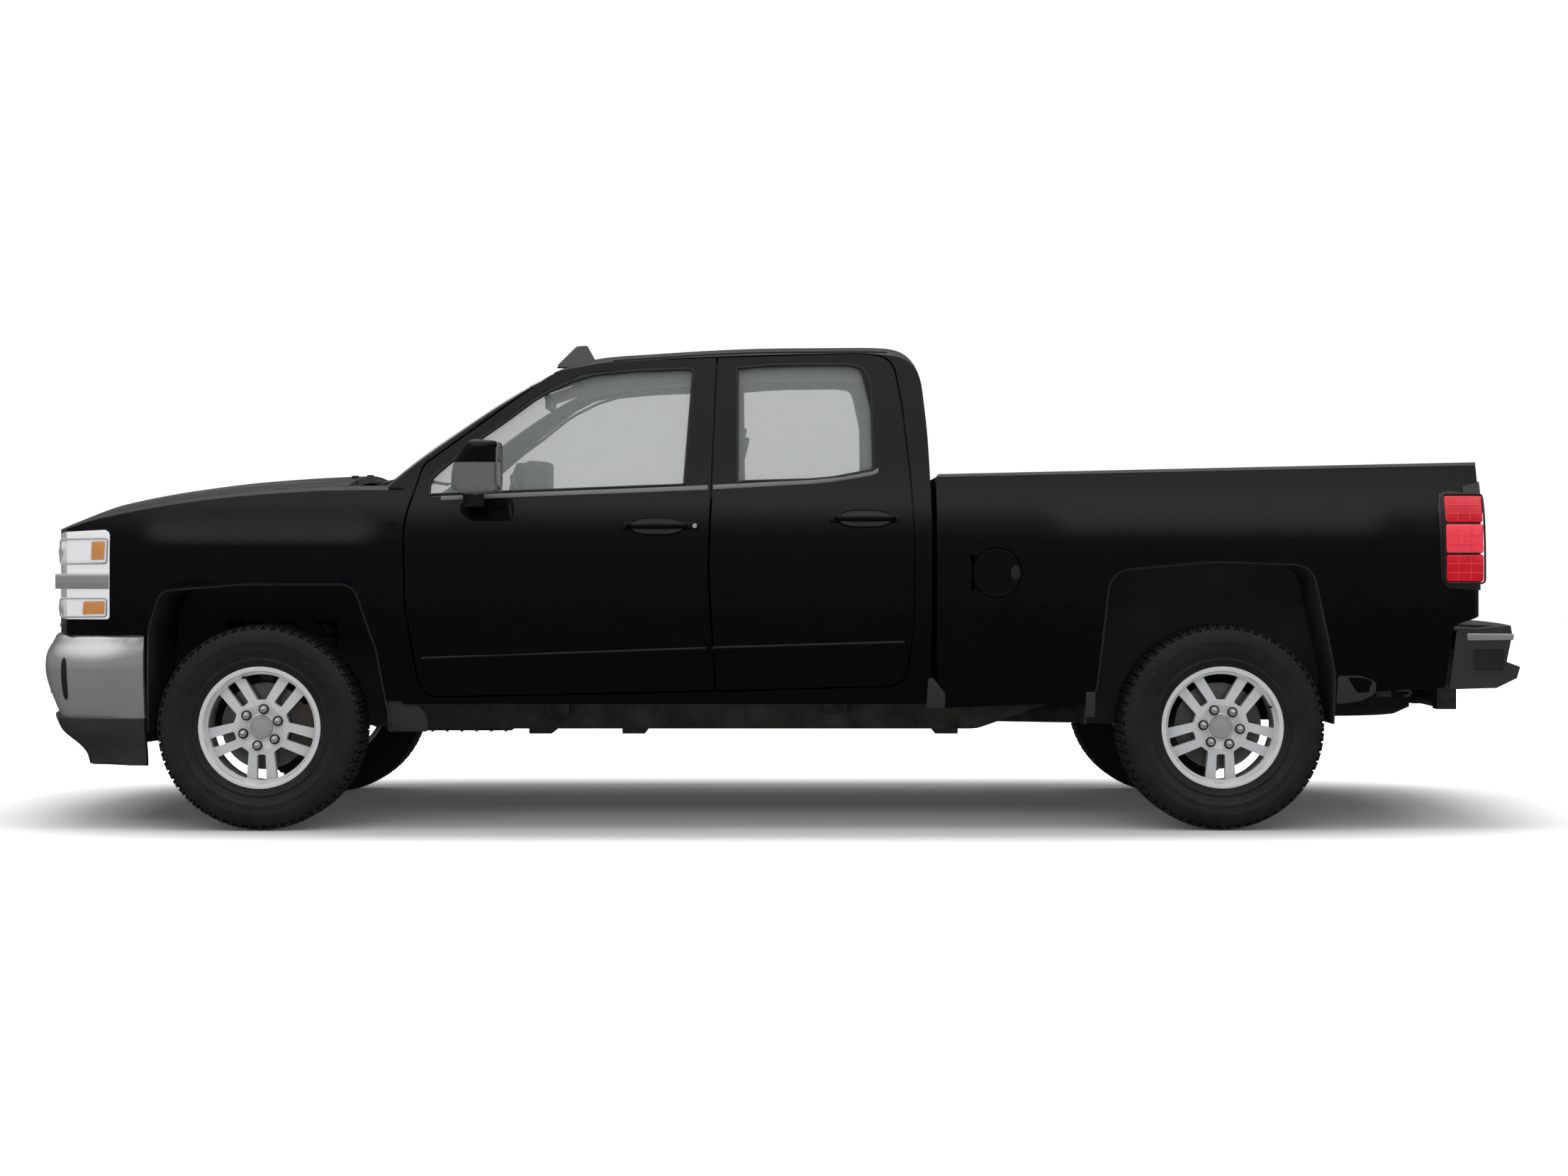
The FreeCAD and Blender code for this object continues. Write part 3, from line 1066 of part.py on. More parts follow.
def make_rim(which, side):
    """Make a wheel disc with five double spokes, its barrel, lugs and brake disc."""
    centre = wheel_centre(which, side)
    out = Vector(0, side, 0)
    half = S.rim_width / 2
    bead, barrel = S.rim_radius - S.seat_gap, S.rim_barrel
    lip, wall = S.lip_width, S.rim_wall
    face = S.hub_face + S.spoke_thick
    outline = [(-half, bead), (-half + lip, bead), (-half + lip * 2, barrel + wall), (half - lip * 2, barrel + wall),
               (half - lip, bead), (half, bead), (half, bead - wall * 1.6), (half - lip * 1.5, barrel),
               (face, barrel), (face + S.spoke_dish, S.hub_radius), (face, S.cap_radius + wall),
               (face, S.spindle_radius + S.bearing_clearance), (S.hub_face, S.spindle_radius + S.bearing_clearance),
               (S.hub_face, S.hub_radius), (S.hub_face + S.spoke_dish, barrel),
               (-half + lip, barrel), (-half, bead - wall)]
    rim = turned(outline, centre, out)
    start = centre + out * (S.hub_face - S.overrun)
    tall = S.overrun * 2 + S.spoke_thick + S.spoke_dish
    tools = []
    for index in range(5):
        tools.append(spoke_window(start, out, tall, 90 + 72 * index))
        tools.append(spoke_slot(start, out, tall, 270 + 72 * index))
    rim = rim.cut(Part.makeCompound(tools))
    first = 80 if which == "front" else -6
    cap = rod(centre + out * face, centre + out * (face + S.cap_length), S.cap_radius)
    pieces = [cap]
    for index in range(6):
        angle = math.radians(first + 60 * index)
        foot = centre + Vector(math.cos(angle), 0, math.sin(angle)) * (S.lug_circle / 2) + out * S.hub_face
        pieces.append(rod(foot, foot + out * (S.spoke_thick + S.lug_length), S.lug_radius))
    inner = S.spindle_radius + S.bearing_clearance
    hat = [(S.hub_face, inner), (S.hub_face, S.hat_radius), (S.hub_face - S.disc_inset, S.hat_radius),
           (S.hub_face - S.disc_inset, S.disc_radius), (S.hub_face - S.disc_inset - S.disc_wall, S.disc_radius),
           (S.hub_face - S.disc_inset - S.disc_wall, S.hat_radius - S.rim_wall * 2),
           (S.hub_face - S.rim_wall, S.hat_radius - S.rim_wall * 2), (S.hub_face - S.rim_wall, inner)]
    pieces.append(turned(hat, centre, out))
    return largest(rim.multiFuse(pieces))


def spoke_window(start, out, tall, degrees):
    """Return one large window between two pairs of spokes."""
    low, high = S.window_inner, S.window_outer
    low_half, high_half = low * math.tan(math.radians(9)), high * math.tan(math.radians(20))
    points = [(low, -low_half, S.rim_wall), (high, -high_half, S.rim_wall * 1.4),
              (high * 1.045, 0, high), (high, high_half, S.rim_wall * 1.4), (low, low_half, S.rim_wall)]
    return radial_prism(points, start, out, tall, degrees)


def spoke_slot(start, out, tall, degrees):
    """Return the narrow slot inside one pair of spokes."""
    half = S.slot_width / 2
    points = [(S.window_inner, -half * 0.9, S.rim_wall), (S.window_outer, -half, S.rim_wall),
              (S.window_outer, half, S.rim_wall), (S.window_inner, half * 0.9, S.rim_wall)]
    return radial_prism(points, start, out, tall, degrees)


def radial_prism(points, start, out, tall, degrees):
    """Extrude an outline of (radius, offset, corner) along the axle at an angle round it."""
    angle = math.radians(degrees)
    ray = Vector(math.cos(angle), 0, math.sin(angle))
    side = Vector(-math.sin(angle), 0, math.cos(angle))
    wire = rounded_wire(points, lambda p: start + ray * p.x + side * p.y)
    return Part.Face(wire).extrude(out * tall)


# Running gear

def make_knuckle(side):
    """Make a front knuckle with its spindle and brake caliper."""
    centre = wheel_centre("front", side)
    pin = Vector(FRONT_AXLE, side * S.kingpin_half, 0)
    half = S.knuckle_half
    span = sorted_span(side, S.kingpin_half - half, S.kingpin_half + half)
    upright = block((FRONT_AXLE - half, FRONT_AXLE + half), span, (S.knuckle_bottom, S.knuckle_top))
    end = centre + Vector(0, side * (S.hub_face + S.spoke_thick - S.rim_wall), 0)
    spindle = rod(Vector(FRONT_AXLE, side * S.kingpin_half, S.tyre_radius), end, S.spindle_radius)
    inner_y = abs(centre.y) + S.hub_face - S.disc_inset - S.disc_wall - S.caliper_gap - S.caliper_wall
    outer_y = inner_y + 2 * S.caliper_wall + 2 * S.caliper_gap + S.disc_wall
    yoke = rod(Vector(FRONT_AXLE, side * inner_y, S.tyre_radius),
               Vector(FRONT_AXLE, side * outer_y, S.tyre_radius), S.disc_radius + S.caliper_gap + S.caliper_wall)
    core = rod(Vector(FRONT_AXLE, side * (inner_y - S.overrun), S.tyre_radius),
               Vector(FRONT_AXLE, side * (outer_y + S.overrun), S.tyre_radius), S.disc_radius * 0.66)
    room = rod(Vector(FRONT_AXLE, side * (inner_y + S.caliper_wall), S.tyre_radius),
               Vector(FRONT_AXLE, side * (outer_y - S.caliper_wall), S.tyre_radius),
               S.disc_radius + S.caliper_gap)
    wedge = block((FRONT_AXLE, FRONT_AXLE + S.rim_radius), sorted_span(side, 0, WIDE),
                  (S.tyre_radius - S.hub_radius, S.tyre_radius + S.hub_radius))
    caliper = yoke.cut(core).cut(room).common(wedge)
    bracket = block((FRONT_AXLE, FRONT_AXLE + S.disc_radius * 0.8),
                    sorted_span(side, S.kingpin_half - half / 2, inner_y + S.caliper_wall / 2),
                    (S.tyre_radius - half, S.tyre_radius + half))
    shape = joined(upright, spindle, caliper, bracket)
    for low in (S.knuckle_bottom - S.arm_wall, S.knuckle_top - S.arm_wall):
        shape = shape.cut(Part.makeCylinder(S.kingpin_radius + S.bearing_clearance, S.arm_wall * 2,
                                            Vector(pin.x, pin.y, low)))
    return largest(shape)


def make_front_suspension():
    """Make the front cross beam with its arms, ball studs and struts."""
    half = S.cross_wall
    beam = block((FRONT_AXLE - half, FRONT_AXLE + half), (-S.arm_inner, S.arm_inner),
                 (S.knuckle_bottom - S.arm_wall * 2, S.rail_front_height - S.rail_tall * 0.45))
    pieces = [beam]
    for sign in (-1, 1):
        for low in (S.knuckle_bottom - S.arm_wall - S.caliper_gap, S.knuckle_top + S.caliper_gap):
            points = [(FRONT_AXLE - half * 1.2, sign * (S.arm_inner + S.seat_gap), S.arm_wall),
                      (FRONT_AXLE + half * 1.2, sign * (S.arm_inner + S.seat_gap), S.arm_wall),
                      (FRONT_AXLE + S.knuckle_half, sign * (S.kingpin_half + S.knuckle_half), S.knuckle_half * 0.8),
                      (FRONT_AXLE - S.knuckle_half, sign * (S.kingpin_half + S.knuckle_half), S.knuckle_half * 0.8)]
            pieces.append(upward(rounded_wire(points, lambda p: p), (low, low + S.arm_wall)))
        foot = Vector(FRONT_AXLE, sign * S.kingpin_half, S.knuckle_bottom - S.arm_wall)
        pieces.append(Part.makeCylinder(S.kingpin_radius, S.arm_wall * 1.9, foot))
        foot = Vector(FRONT_AXLE, sign * S.kingpin_half, S.knuckle_top - S.arm_wall * 0.9)
        pieces.append(Part.makeCylinder(S.kingpin_radius, S.arm_wall * 1.9, foot))
        low_end = Vector(FRONT_AXLE, sign * S.strut_half, S.knuckle_bottom - S.arm_wall / 2)
        high_end = Vector(FRONT_AXLE, sign * (S.strut_half - S.strut_radius * 0.6), S.knuckle_top + S.rail_tall)
        pieces.append(rod(low_end, high_end, S.strut_radius))
        tower = block((FRONT_AXLE - S.strut_radius, FRONT_AXLE + S.strut_radius),
                      sorted_span(sign, S.arm_inner, S.strut_half),
                      (S.knuckle_top + S.rail_tall * 0.6, S.knuckle_top + S.rail_tall))
        pieces.append(tower)
        post = block((FRONT_AXLE - S.strut_radius, FRONT_AXLE + S.strut_radius),
                     sorted_span(sign, S.arm_inner, S.arm_inner + S.arm_wall),
                     (S.knuckle_bottom - S.arm_wall * 1.5, S.knuckle_top + S.rail_tall))
        pieces.append(post)
    return largest(joined(*pieces))


def rail_wire():
    """Return the side view of a frame rail, dropped in the middle and raised over the rear axle."""
    tall = S.rail_tall
    front, rear = NOSE + S.lamp_depth + S.nose_bow, TAIL - S.rear_bumper_depth * 0.75
    line = [(front, S.rail_front_height), (FRONT_AXLE + S.tyre_radius * 0.35, S.rail_front_height),
            (FRONT_AXLE + S.tyre_radius * 1.05, S.rail_middle_height),
            (REAR_AXLE - S.tyre_radius * 2.3, S.rail_middle_height),
            (REAR_AXLE - S.tyre_radius * 0.8, S.rail_rear_height),
            (rear, S.rail_rear_height)]
    lower = [(x, z, tall) for x, z in line]
    upper = [(x, z + tall, tall) for x, z in reversed(line)]
    points = lower + upper
    ends = (0, len(line) - 1, len(line), len(points) - 1)
    points = [(x, z, tall / 8 if index in ends else r) for index, (x, z, r) in enumerate(points)]
    return rounded_wire(points, lambda p: Vector(p.x, 0, p.y))


def receiver_end():
    """Return the X place of the hitch receiver's open end."""
    return TAIL - S.rear_bumper_bow - S.overrun / 2


def shaft_start():
    """Return the front end of the drive shaft."""
    return Vector(FRONT_AXLE + S.engine_offset + S.engine_length + S.gearbox_length + S.seat_gap * 3, 0,
                  S.tyre_radius + S.shaft_radius)


def shaft_end():
    """Return the rear end of the drive shaft, inside the differential's nose."""
    return Vector(REAR_AXLE - S.diff_radius - S.seat_gap, 0, S.tyre_radius)


def make_frame():
    """Make the ladder frame with its cross members, body mounts and hitch receiver."""
    pieces = []
    half, wide = S.rail_half, S.rail_width
    for sign in (-1, 1):
        pieces.append(across(rail_wire(), sorted_span(sign, half - wide / 2, half + wide / 2)))
    tall = S.rail_tall
    spare_x = REAR_AXLE + S.spare_offset
    crosses = [(NOSE + S.lamp_depth + S.nose_bow + S.cross_wall, S.rail_front_height, 0.2, 0.75),
               (FRONT_AXLE + S.tyre_radius * 2.6, S.rail_middle_height, -0.15, 0.2),
               (FRONT_AXLE + S.wheelbase * 0.38, S.rail_middle_height, -0.15, 0.2),
               (REAR_AXLE - S.tyre_radius * 2.6, S.rail_middle_height, -0.15, 0.2),
               (REAR_AXLE + S.tyre_radius * 0.25, S.rail_rear_height, 0.78, 0.99),
               (spare_x, S.rail_rear_height, 0.78, 0.99),
               (TAIL - S.rear_bumper_depth - S.cross_wall, S.rail_rear_height, 0.78, 0.99)]
    for x, base, low, high in crosses:
        pieces.append(block((x - S.cross_wall / 2, x + S.cross_wall / 2), (-half, half),
                            (base + low * tall, base + high * tall)))
    for x_share in (0.30, 0.60):
        x = FRONT_AXLE + S.wheelbase * x_share
        for sign in (-1, 1):
            pieces.append(block((x - S.tube_radius, x + S.tube_radius), sorted_span(sign, half, half + wide * 1.6),
                                (S.rail_middle_height + S.rail_tall * 0.4,
                                 S.floor_height - S.floor_wall - S.seat_gap)))
    rear = receiver_end()
    outer = S.receiver_outer / 2
    receiver = block((rear - S.receiver_length, rear), (-outer, outer),
                     (S.receiver_height - outer, S.receiver_height + outer))
    bar_x = rear - S.receiver_length + outer
    bar = Part.makeCylinder(outer, 2 * half, Vector(bar_x, -half, S.receiver_height), ABOUT_Y)
    pieces += [receiver, bar]
    for sign in (-1, 1):
        pieces.append(block((bar_x - outer, bar_x + outer),
                            sorted_span(sign, half - wide / 2, half + wide / 2),
                            (S.receiver_height - outer, S.rail_rear_height + S.rail_tall / 2)))
        pieces.append(block((TAIL - S.rear_bumper_depth - wide, bumper_inside() - S.seat_gap),
                            sorted_span(sign, half - wide / 2, half + wide / 4),
                            (S.rail_rear_height + S.seat_gap, S.rail_rear_height + S.rail_tall * 0.7)))
        pieces.append(block((NOSE + S.nose_bow, NOSE + S.nose_bow + S.lamp_depth * 1.5),
                            sorted_span(sign, half - wide / 2, half + wide / 2),
                            (S.rail_front_height, S.rail_front_height + S.rail_tall)))
    shape = joined(*pieces).cut(rod(shaft_start(), shaft_end(), S.shaft_room))
    inner = S.receiver_inner / 2
    socket = block((rear - S.receiver_length * 0.9, rear + S.overrun), (-inner, inner),
                   (S.receiver_height - inner, S.receiver_height + inner))
    return largest(shape.cut(socket))


def make_rear_axle():
    """Make the rear axle with its differential, leaf springs and dampers."""
    z = S.tyre_radius
    end = S.track_rear / 2 + S.hub_face + S.spoke_thick - S.rim_wall
    tube_end = S.track_rear / 2 + S.hub_face - S.disc_inset - S.disc_wall - S.panel_gap * 2
    pieces = [rod(Vector(REAR_AXLE, -end, z), Vector(REAR_AXLE, end, z), S.spindle_radius),
              rod(Vector(REAR_AXLE, -tube_end, z), Vector(REAR_AXLE, tube_end, z), S.axle_radius),
              Part.makeSphere(S.diff_radius, Vector(REAR_AXLE, 0, z))]
    for sign in (-1, 1):
        half = S.spring_length / 2
        span = sorted_span(sign, S.spring_half - S.spring_width / 2, S.spring_half + S.spring_width / 2)
        rise = S.rail_tall * 0.55
        low = z + S.axle_radius
        points = [(REAR_AXLE - half, low + rise, half), (REAR_AXLE, low - rise * 0.3, half * 4),
                  (REAR_AXLE + half, low + rise, half)]
        upper = [(x, height + S.spring_wall, r) for x, height, r in reversed(points)]
        ends = [(x, height, S.spring_wall / 4 if index in (0, 2) else r)
                for index, (x, height, r) in enumerate(points)]
        tops = [(x, height, S.spring_wall / 4 if index in (0, 2) else r)
                for index, (x, height, r) in enumerate(upper)]
        pieces.append(across(rounded_wire(ends + tops, lambda p: Vector(p.x, 0, p.y)), span))
        pieces.append(block((REAR_AXLE - S.cross_wall, REAR_AXLE + S.cross_wall), span,
                            (z - S.axle_radius, low + S.spring_wall * 1.5)))
        shackle_x = REAR_AXLE + half
        for x in (REAR_AXLE - half, shackle_x):
            pieces.append(block((x - S.spring_wall, x + S.spring_wall),
                                sorted_span(sign, S.rail_half + S.rail_width / 2 + S.seat_gap,
                                            S.spring_half + S.spring_width / 2),
                                (low + rise - S.spring_wall, low + rise + S.rail_tall * 0.8)))
    return largest(joined(*pieces))


def make_spare():
    """Make the spare wheel under the bed."""
    centre = Vector(REAR_AXLE + S.spare_offset, 0, S.spare_bottom + S.tyre_width * 0.42)
    tyre = make_tyre(centre, ABOUT_Z, S.spare_radius)
    disc = Part.makeCylinder(S.rim_radius - S.seat_gap, S.tyre_width * 0.3, centre - Vector(0, 0, S.tyre_width * 0.2))
    hanger = rod(centre, Vector(centre.x, 0, S.rail_rear_height + S.rail_tall * 0.78 - S.seat_gap),
                 S.tube_radius / 2)
    return tyre.fuse(disc.fuse(hanger))


def make_exhaust():
    """Make the exhaust pipe and silencer on the passenger's side."""
    z = S.rail_middle_height + S.rail_tall * 0.48
    y = S.rail_half - S.rail_width / 2 - S.muffler_radius - S.seat_gap
    start = FRONT_AXLE + S.tyre_radius * 1.3
    mid = FRONT_AXLE + S.wheelbase * 0.5
    end = REAR_AXLE - S.tyre_radius * 1.25
    pieces = [rod(Vector(start, y, z), Vector(mid, y, z), S.exhaust_radius),
              rod(Vector(mid, y, z), Vector(mid + S.muffler_length, y, z), S.muffler_radius),
              rod(Vector(mid + S.muffler_length, y, z), Vector(end, y, z), S.exhaust_radius)]
    return largest(joined(*pieces))


# Cabin

def make_steering_wheel():
    """Make the steering wheel, tilted towards the driver."""
    centre = Vector(0, 0, 0)
    ring = Part.makeTorus(S.steering_radius - S.steering_grip, S.steering_grip, centre, ABOUT_X)
    hub = Part.makeCylinder(S.steering_hub, S.steering_grip * 3, Vector(-S.steering_grip * 2, 0, 0), ABOUT_X)
    pieces = [ring, hub]
    reach = S.steering_radius - S.steering_grip
    for degrees in (0, 180, 270):
        angle = math.radians(degrees)
        spoke = rod(Vector(0, 0, 0), Vector(0, math.cos(angle) * reach, math.sin(angle) * reach),
                    S.steering_grip * 0.8)
        pieces.append(spoke)
    stub = Part.makeCylinder(S.column_radius / 2, S.steering_grip * 4, Vector(-S.steering_grip * 6, 0, 0), ABOUT_X)
    pieces.append(stub)
    wheel = joined(*pieces)
    wheel.rotate(centre, ABOUT_Y, -S.steering_tilt)
    wheel.translate(steering_centre())
    return largest(wheel)


def steering_centre():
    """Return the centre of the steering wheel."""
    return Vector(FRONT_AXLE + S.steering_x_offset, -S.steering_half, S.steering_height)


def make_dashboard():
    """Make the dashboard with the steering column and the centre console."""
    front = FRONT_AXLE + S.dash_front_offset
    rear = front + S.dash_depth
    points = [(front, S.dash_bottom + S.dash_depth * 0.4, S.overrun), (front, S.dash_top - S.overrun, S.overrun),
              (front + S.dash_depth * 0.45, S.dash_top, S.overrun * 2),
              (rear - S.overrun * 0.5, S.dash_top - S.overrun, S.overrun), (rear, S.dash_bottom + S.overrun, S.overrun),
              (rear - S.overrun * 2, S.dash_bottom, S.overrun)]
    body = across(rounded_wire(points, lambda p: Vector(p.x, 0, p.y)), (-S.dash_half, S.dash_half))
    body = body.common(both_sides(side_block(CAB_X, CAB_Z, S.cab_wall + S.panel_gap)))
    body = body.common(roof_block(S.roof_wall + S.panel_gap))
    for sign in (-1, 1):
        body = body.cut(block((front, DOOR_FRONT + S.door_flange + S.panel_gap),
                              sorted_span(sign, S.kick_half - S.seat_gap, WIDE), (0, TALL)))
    centre = steering_centre()
    axis = Rotation(ABOUT_Y, -S.steering_tilt).multVec(Vector(-1, 0, 0))
    start = centre + axis * (S.steering_grip * 6 + S.seat_gap)
    column = rod(start, start + axis * S.column_length, S.column_radius)
    console = block((rear - S.overrun, rear + S.seat_length * 1.15), (-S.console_half, S.console_half),
                    (S.floor_height + S.seat_gap, S.dash_bottom + S.overrun * 1.5))
    stem = block((front, front + S.dash_depth * 0.5), (-S.console_half, S.console_half),
                 (S.floor_height + S.seat_gap, S.dash_bottom + S.overrun * 3))
    return largest(joined(body, column, console, stem))


def make_front_seat(sign):
    """Make one front seat: cushion, leaning back and headrest."""
    x = FRONT_AXLE + S.seat_front_offset
    middle = sign * S.seat_half
    span = (middle - S.seat_width / 2, middle + S.seat_width / 2)
    cushion = block((x, x + S.seat_length), span, (S.seat_top - S.seat_wall, S.seat_top))
    plinth = block((x + S.overrun, x + S.seat_length - S.overrun), (span[0] + S.overrun, span[1] - S.overrun),
                   (S.floor_height + S.seat_gap, S.seat_top - S.seat_wall))
    back = block((0, S.back_wall), span, (-S.seat_wall / 2, S.back_top - S.seat_top))
    head = block((S.back_wall * 0.1, S.back_wall * 0.1 + S.head_wall),
                 (middle - S.head_width / 2, middle + S.head_width / 2),
                 (S.back_top - S.seat_top - S.overrun / 4, S.back_top - S.seat_top + S.head_height))
    upper = back.fuse(head)
    upper.rotate(Vector(0, 0, 0), ABOUT_Y, S.seat_recline)
    upper.translate(Vector(x + S.seat_length - S.back_wall * 0.4, 0, S.seat_top))
    return largest(joined(cushion, plinth, upper))


def make_bench():
    """Make the rear bench with its back and headrests."""
    x = FRONT_AXLE + S.bench_front_offset
    wall = CAB_REAR - S.rear_wall - S.seat_gap
    span = (-S.bench_half, S.bench_half)
    cushion = block((x, wall - S.overrun / 2), span, (S.bench_top - S.seat_wall, S.bench_top))
    plinth = block((x + S.overrun, wall - S.overrun), (span[0] + S.overrun, span[1] - S.overrun),
                   (S.floor_height + S.seat_gap, S.bench_top - S.seat_wall))
    back = block((wall - S.back_wall * 0.8, wall - S.overrun / 3), span, (S.bench_top - S.overrun, S.bench_back_top))
    pieces = [cushion, plinth, back]
    for share in (-0.62, 0.62):
        middle = share * S.bench_half
        pieces.append(block((wall - S.back_wall * 0.8, wall - S.overrun / 3),
                            (middle - S.head_width / 2, middle + S.head_width / 2),
                            (S.bench_back_top - S.overrun / 4, S.bench_back_top + S.head_height * 0.7)))
    return largest(joined(*pieces))


def make_mirror():
    """Make the driver's side mirror with its arm."""
    x = FRONT_AXLE + S.mirror_offset
    y = -S.body_half_width + S.mirror_gap / 2
    low, high, rear = S.mirror_bottom, S.mirror_bottom + S.mirror_height, x + S.mirror_length
    inner, outer = y - S.mirror_gap, y - S.mirror_gap - S.mirror_width
    small = S.mirror_round / 2
    profile = [(x + S.mirror_length * 0.27, high, small), (x + S.mirror_length * 0.04, (low + high) / 2, small),
               (x, low + small, S.mirror_round * 1.4), (x + S.mirror_length * 0.3, low, S.mirror_round),
               (rear, low + small * 0.6, small), (rear, high - small * 0.4, small)]
    plan = [(x, inner, S.mirror_round), (x + S.mirror_length * 0.1, outer + small, S.mirror_round * 1.6),
            (x + S.mirror_length * 0.5, outer, S.mirror_round), (rear, outer + small / 2, small),
            (rear, inner, small)]
    face = [(inner, low, S.mirror_round), (inner, high, S.mirror_round * 0.8), (outer, high, S.mirror_round),
            (outer, low, S.mirror_round)]
    case = across(rounded_wire(profile, lambda p: Vector(p.x, 0, p.y)), sorted_span(1, outer, inner))
    case = case.common(upward(rounded_wire(plan, lambda p: p), (low, high)))
    section_face = Part.Face(rounded_wire(face, lambda p: Vector(x, p.x, p.y)))
    case = case.common(section_face.extrude(Vector(S.mirror_length, 0, 0)))
    arm = block((x + S.mirror_length * 0.2, x + S.mirror_length * 0.2 + S.mirror_arm),
                (y - S.mirror_gap - S.mirror_round, y + S.mirror_gap),
                (S.mirror_bottom - S.mirror_arm * 0.6, S.mirror_bottom + S.mirror_arm * 0.6))
    mirror = case.fuse(arm)
    return largest(mirror.cut(side_block(CAB_X, CAB_Z, -S.seat_gap)))


# Plain bodies that follow the spreadsheet by formulas

def add_engine():
    """Add the engine and gearbox as plain blocks at their real places."""
    axle = "-overall_length / 2 + front_overhang"
    engine = bound_box("engine_block", "engine_length", "engine_width", "engine_height",
                       axle + " + engine_offset", "-engine_width / 2", "engine_bottom")
    box = bound_box("gearbox_block", "gearbox_length", "gearbox_width", "gearbox_height",
                    axle + " + engine_offset + engine_length", "-gearbox_width / 2",
                    "engine_bottom - gearbox_height / 2")
    return bound_fuse("engine", [engine, box])


def add_all():
    """Make every sub-part."""
    cab = make_cab()
    add("cab", cab.fuse(make_fin()))
    add("windows", *make_screens())
    for which in ("front", "rear"):
        door, glass = make_door(which), make_side_glass(which)
        add(f"{which}_left_door", door)
        add(f"{which}_right_door", mirrored(door))
        add(f"{which}_left_glass", glass)
        add(f"{which}_right_glass", mirrored(glass))
    mirror = make_mirror()
    add("left_mirror", mirror)
    add("right_mirror", mirrored(mirror))
    add("hood", make_hood())
    fender, liner, lamp = make_fender(), make_liner(), make_headlamp()
    add("fenders", fender, mirrored(fender))
    add("wheel_liners", liner, mirrored(liner))
    rear_liner = make_rear_liner()
    add("rear_wheel_liners", rear_liner, mirrored(rear_liner))
    add("headlamps", lamp, mirrored(lamp))
    add("grille", make_grille())
    add("front_bumper", make_front_bumper())
    add("front_valance", bumper_skin(VALANCE_SHARES, (S.valance_bottom, S.bumper_bottom - S.seat_gap),
                                     S.bumper_wall))
    add("rear_bumper", make_rear_bumper())
    side, tail_lamp, cap = make_bedside(), make_tail_lamp(), make_rail_cap()
    add("bed", make_bed())
    add("bedsides", side, mirrored(side))
    add("bed_rails", cap, mirrored(cap))
    add("tail_lamps", tail_lamp, mirrored(tail_lamp))
    add("tailgate", make_tailgate())
    add("fuel_door", make_fuel_door())
    add("frame", make_frame())
    add_engine()
    add("driveshaft", rod(shaft_start(), shaft_end(), S.shaft_radius))
    add("exhaust", make_exhaust())
    add("fuel_tank", block((FRONT_AXLE + S.wheelbase * 0.42, FRONT_AXLE + S.wheelbase * 0.42 + S.tank_length),
                           (-S.rail_half + S.rail_width / 2 + S.seat_gap,
                            -S.rail_half + S.rail_width / 2 + S.seat_gap + S.tank_width * 0.7),
                           (S.tank_bottom, S.tank_bottom + S.tank_height * 0.5)))
    add("radiator", block((FRONT_AXLE - S.radiator_offset, FRONT_AXLE - S.radiator_offset + S.radiator_wall),
                          (-S.rail_half + S.rail_width / 2 + S.seat_gap, S.rail_half - S.rail_width / 2 - S.seat_gap),
                          (S.radiator_bottom, S.radiator_bottom + S.radiator_height)))
    add("front_suspension", make_front_suspension())
    add("rear_axle", make_rear_axle())
    add("spare_wheel", make_spare())
    add("dashboard", make_dashboard())
    add("steering_wheel", make_steering_wheel())
    add("front_seats", make_front_seat(-1), make_front_seat(1))
    add("rear_bench", make_bench())
    for side_name, sign in (("left", -1), ("right", 1)):
        add(f"{side_name}_knuckle", make_knuckle(sign))
        for which in ("front", "rear"):
            centre = wheel_centre(which, sign)
            add(f"{which}_{side_name}_tyre", make_tyre(centre, Vector(0, sign, 0), S.tyre_radius))
            add(f"{which}_{side_name}_rim", make_rim(which, sign))


def check_document():
    """Stop if any object of the document failed or any sub-part is not a valid solid."""
    doc.recompute()
    for item in doc.Objects:
        if "Invalid" in item.State or "Error" in item.State:
            raise RuntimeError(f"{item.Name} failed")
    for node in NODES:
        shape = node.Shape
        if shape.isNull() or not shape.isValid() or not shape.Solids:
            raise RuntimeError(f"{node.Label} has no valid solid")


def write_parts():
    """Write one STEP file for each sub-part."""
    os.makedirs("parts", exist_ok=True)
    for node in NODES:
        node.Shape.exportStep(f"parts/{node.Label}.step")


add_all()
check_document()
write_parts()
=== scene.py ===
import bmesh
import bpy
import math
from mathutils import Matrix, Vector
from mathutils.bvhtree import BVHTree


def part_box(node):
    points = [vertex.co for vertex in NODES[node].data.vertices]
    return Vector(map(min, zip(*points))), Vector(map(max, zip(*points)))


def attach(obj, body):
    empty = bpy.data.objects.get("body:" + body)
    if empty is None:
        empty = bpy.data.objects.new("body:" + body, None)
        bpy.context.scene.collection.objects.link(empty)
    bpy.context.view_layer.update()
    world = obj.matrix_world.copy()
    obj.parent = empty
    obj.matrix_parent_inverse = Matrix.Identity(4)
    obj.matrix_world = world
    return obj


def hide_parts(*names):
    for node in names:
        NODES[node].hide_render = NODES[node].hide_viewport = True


# Looks of a black pickup truck. X runs to the tail, -Y is the driver's side, Z is up.
# All places are in metres in the frame of the solid model.

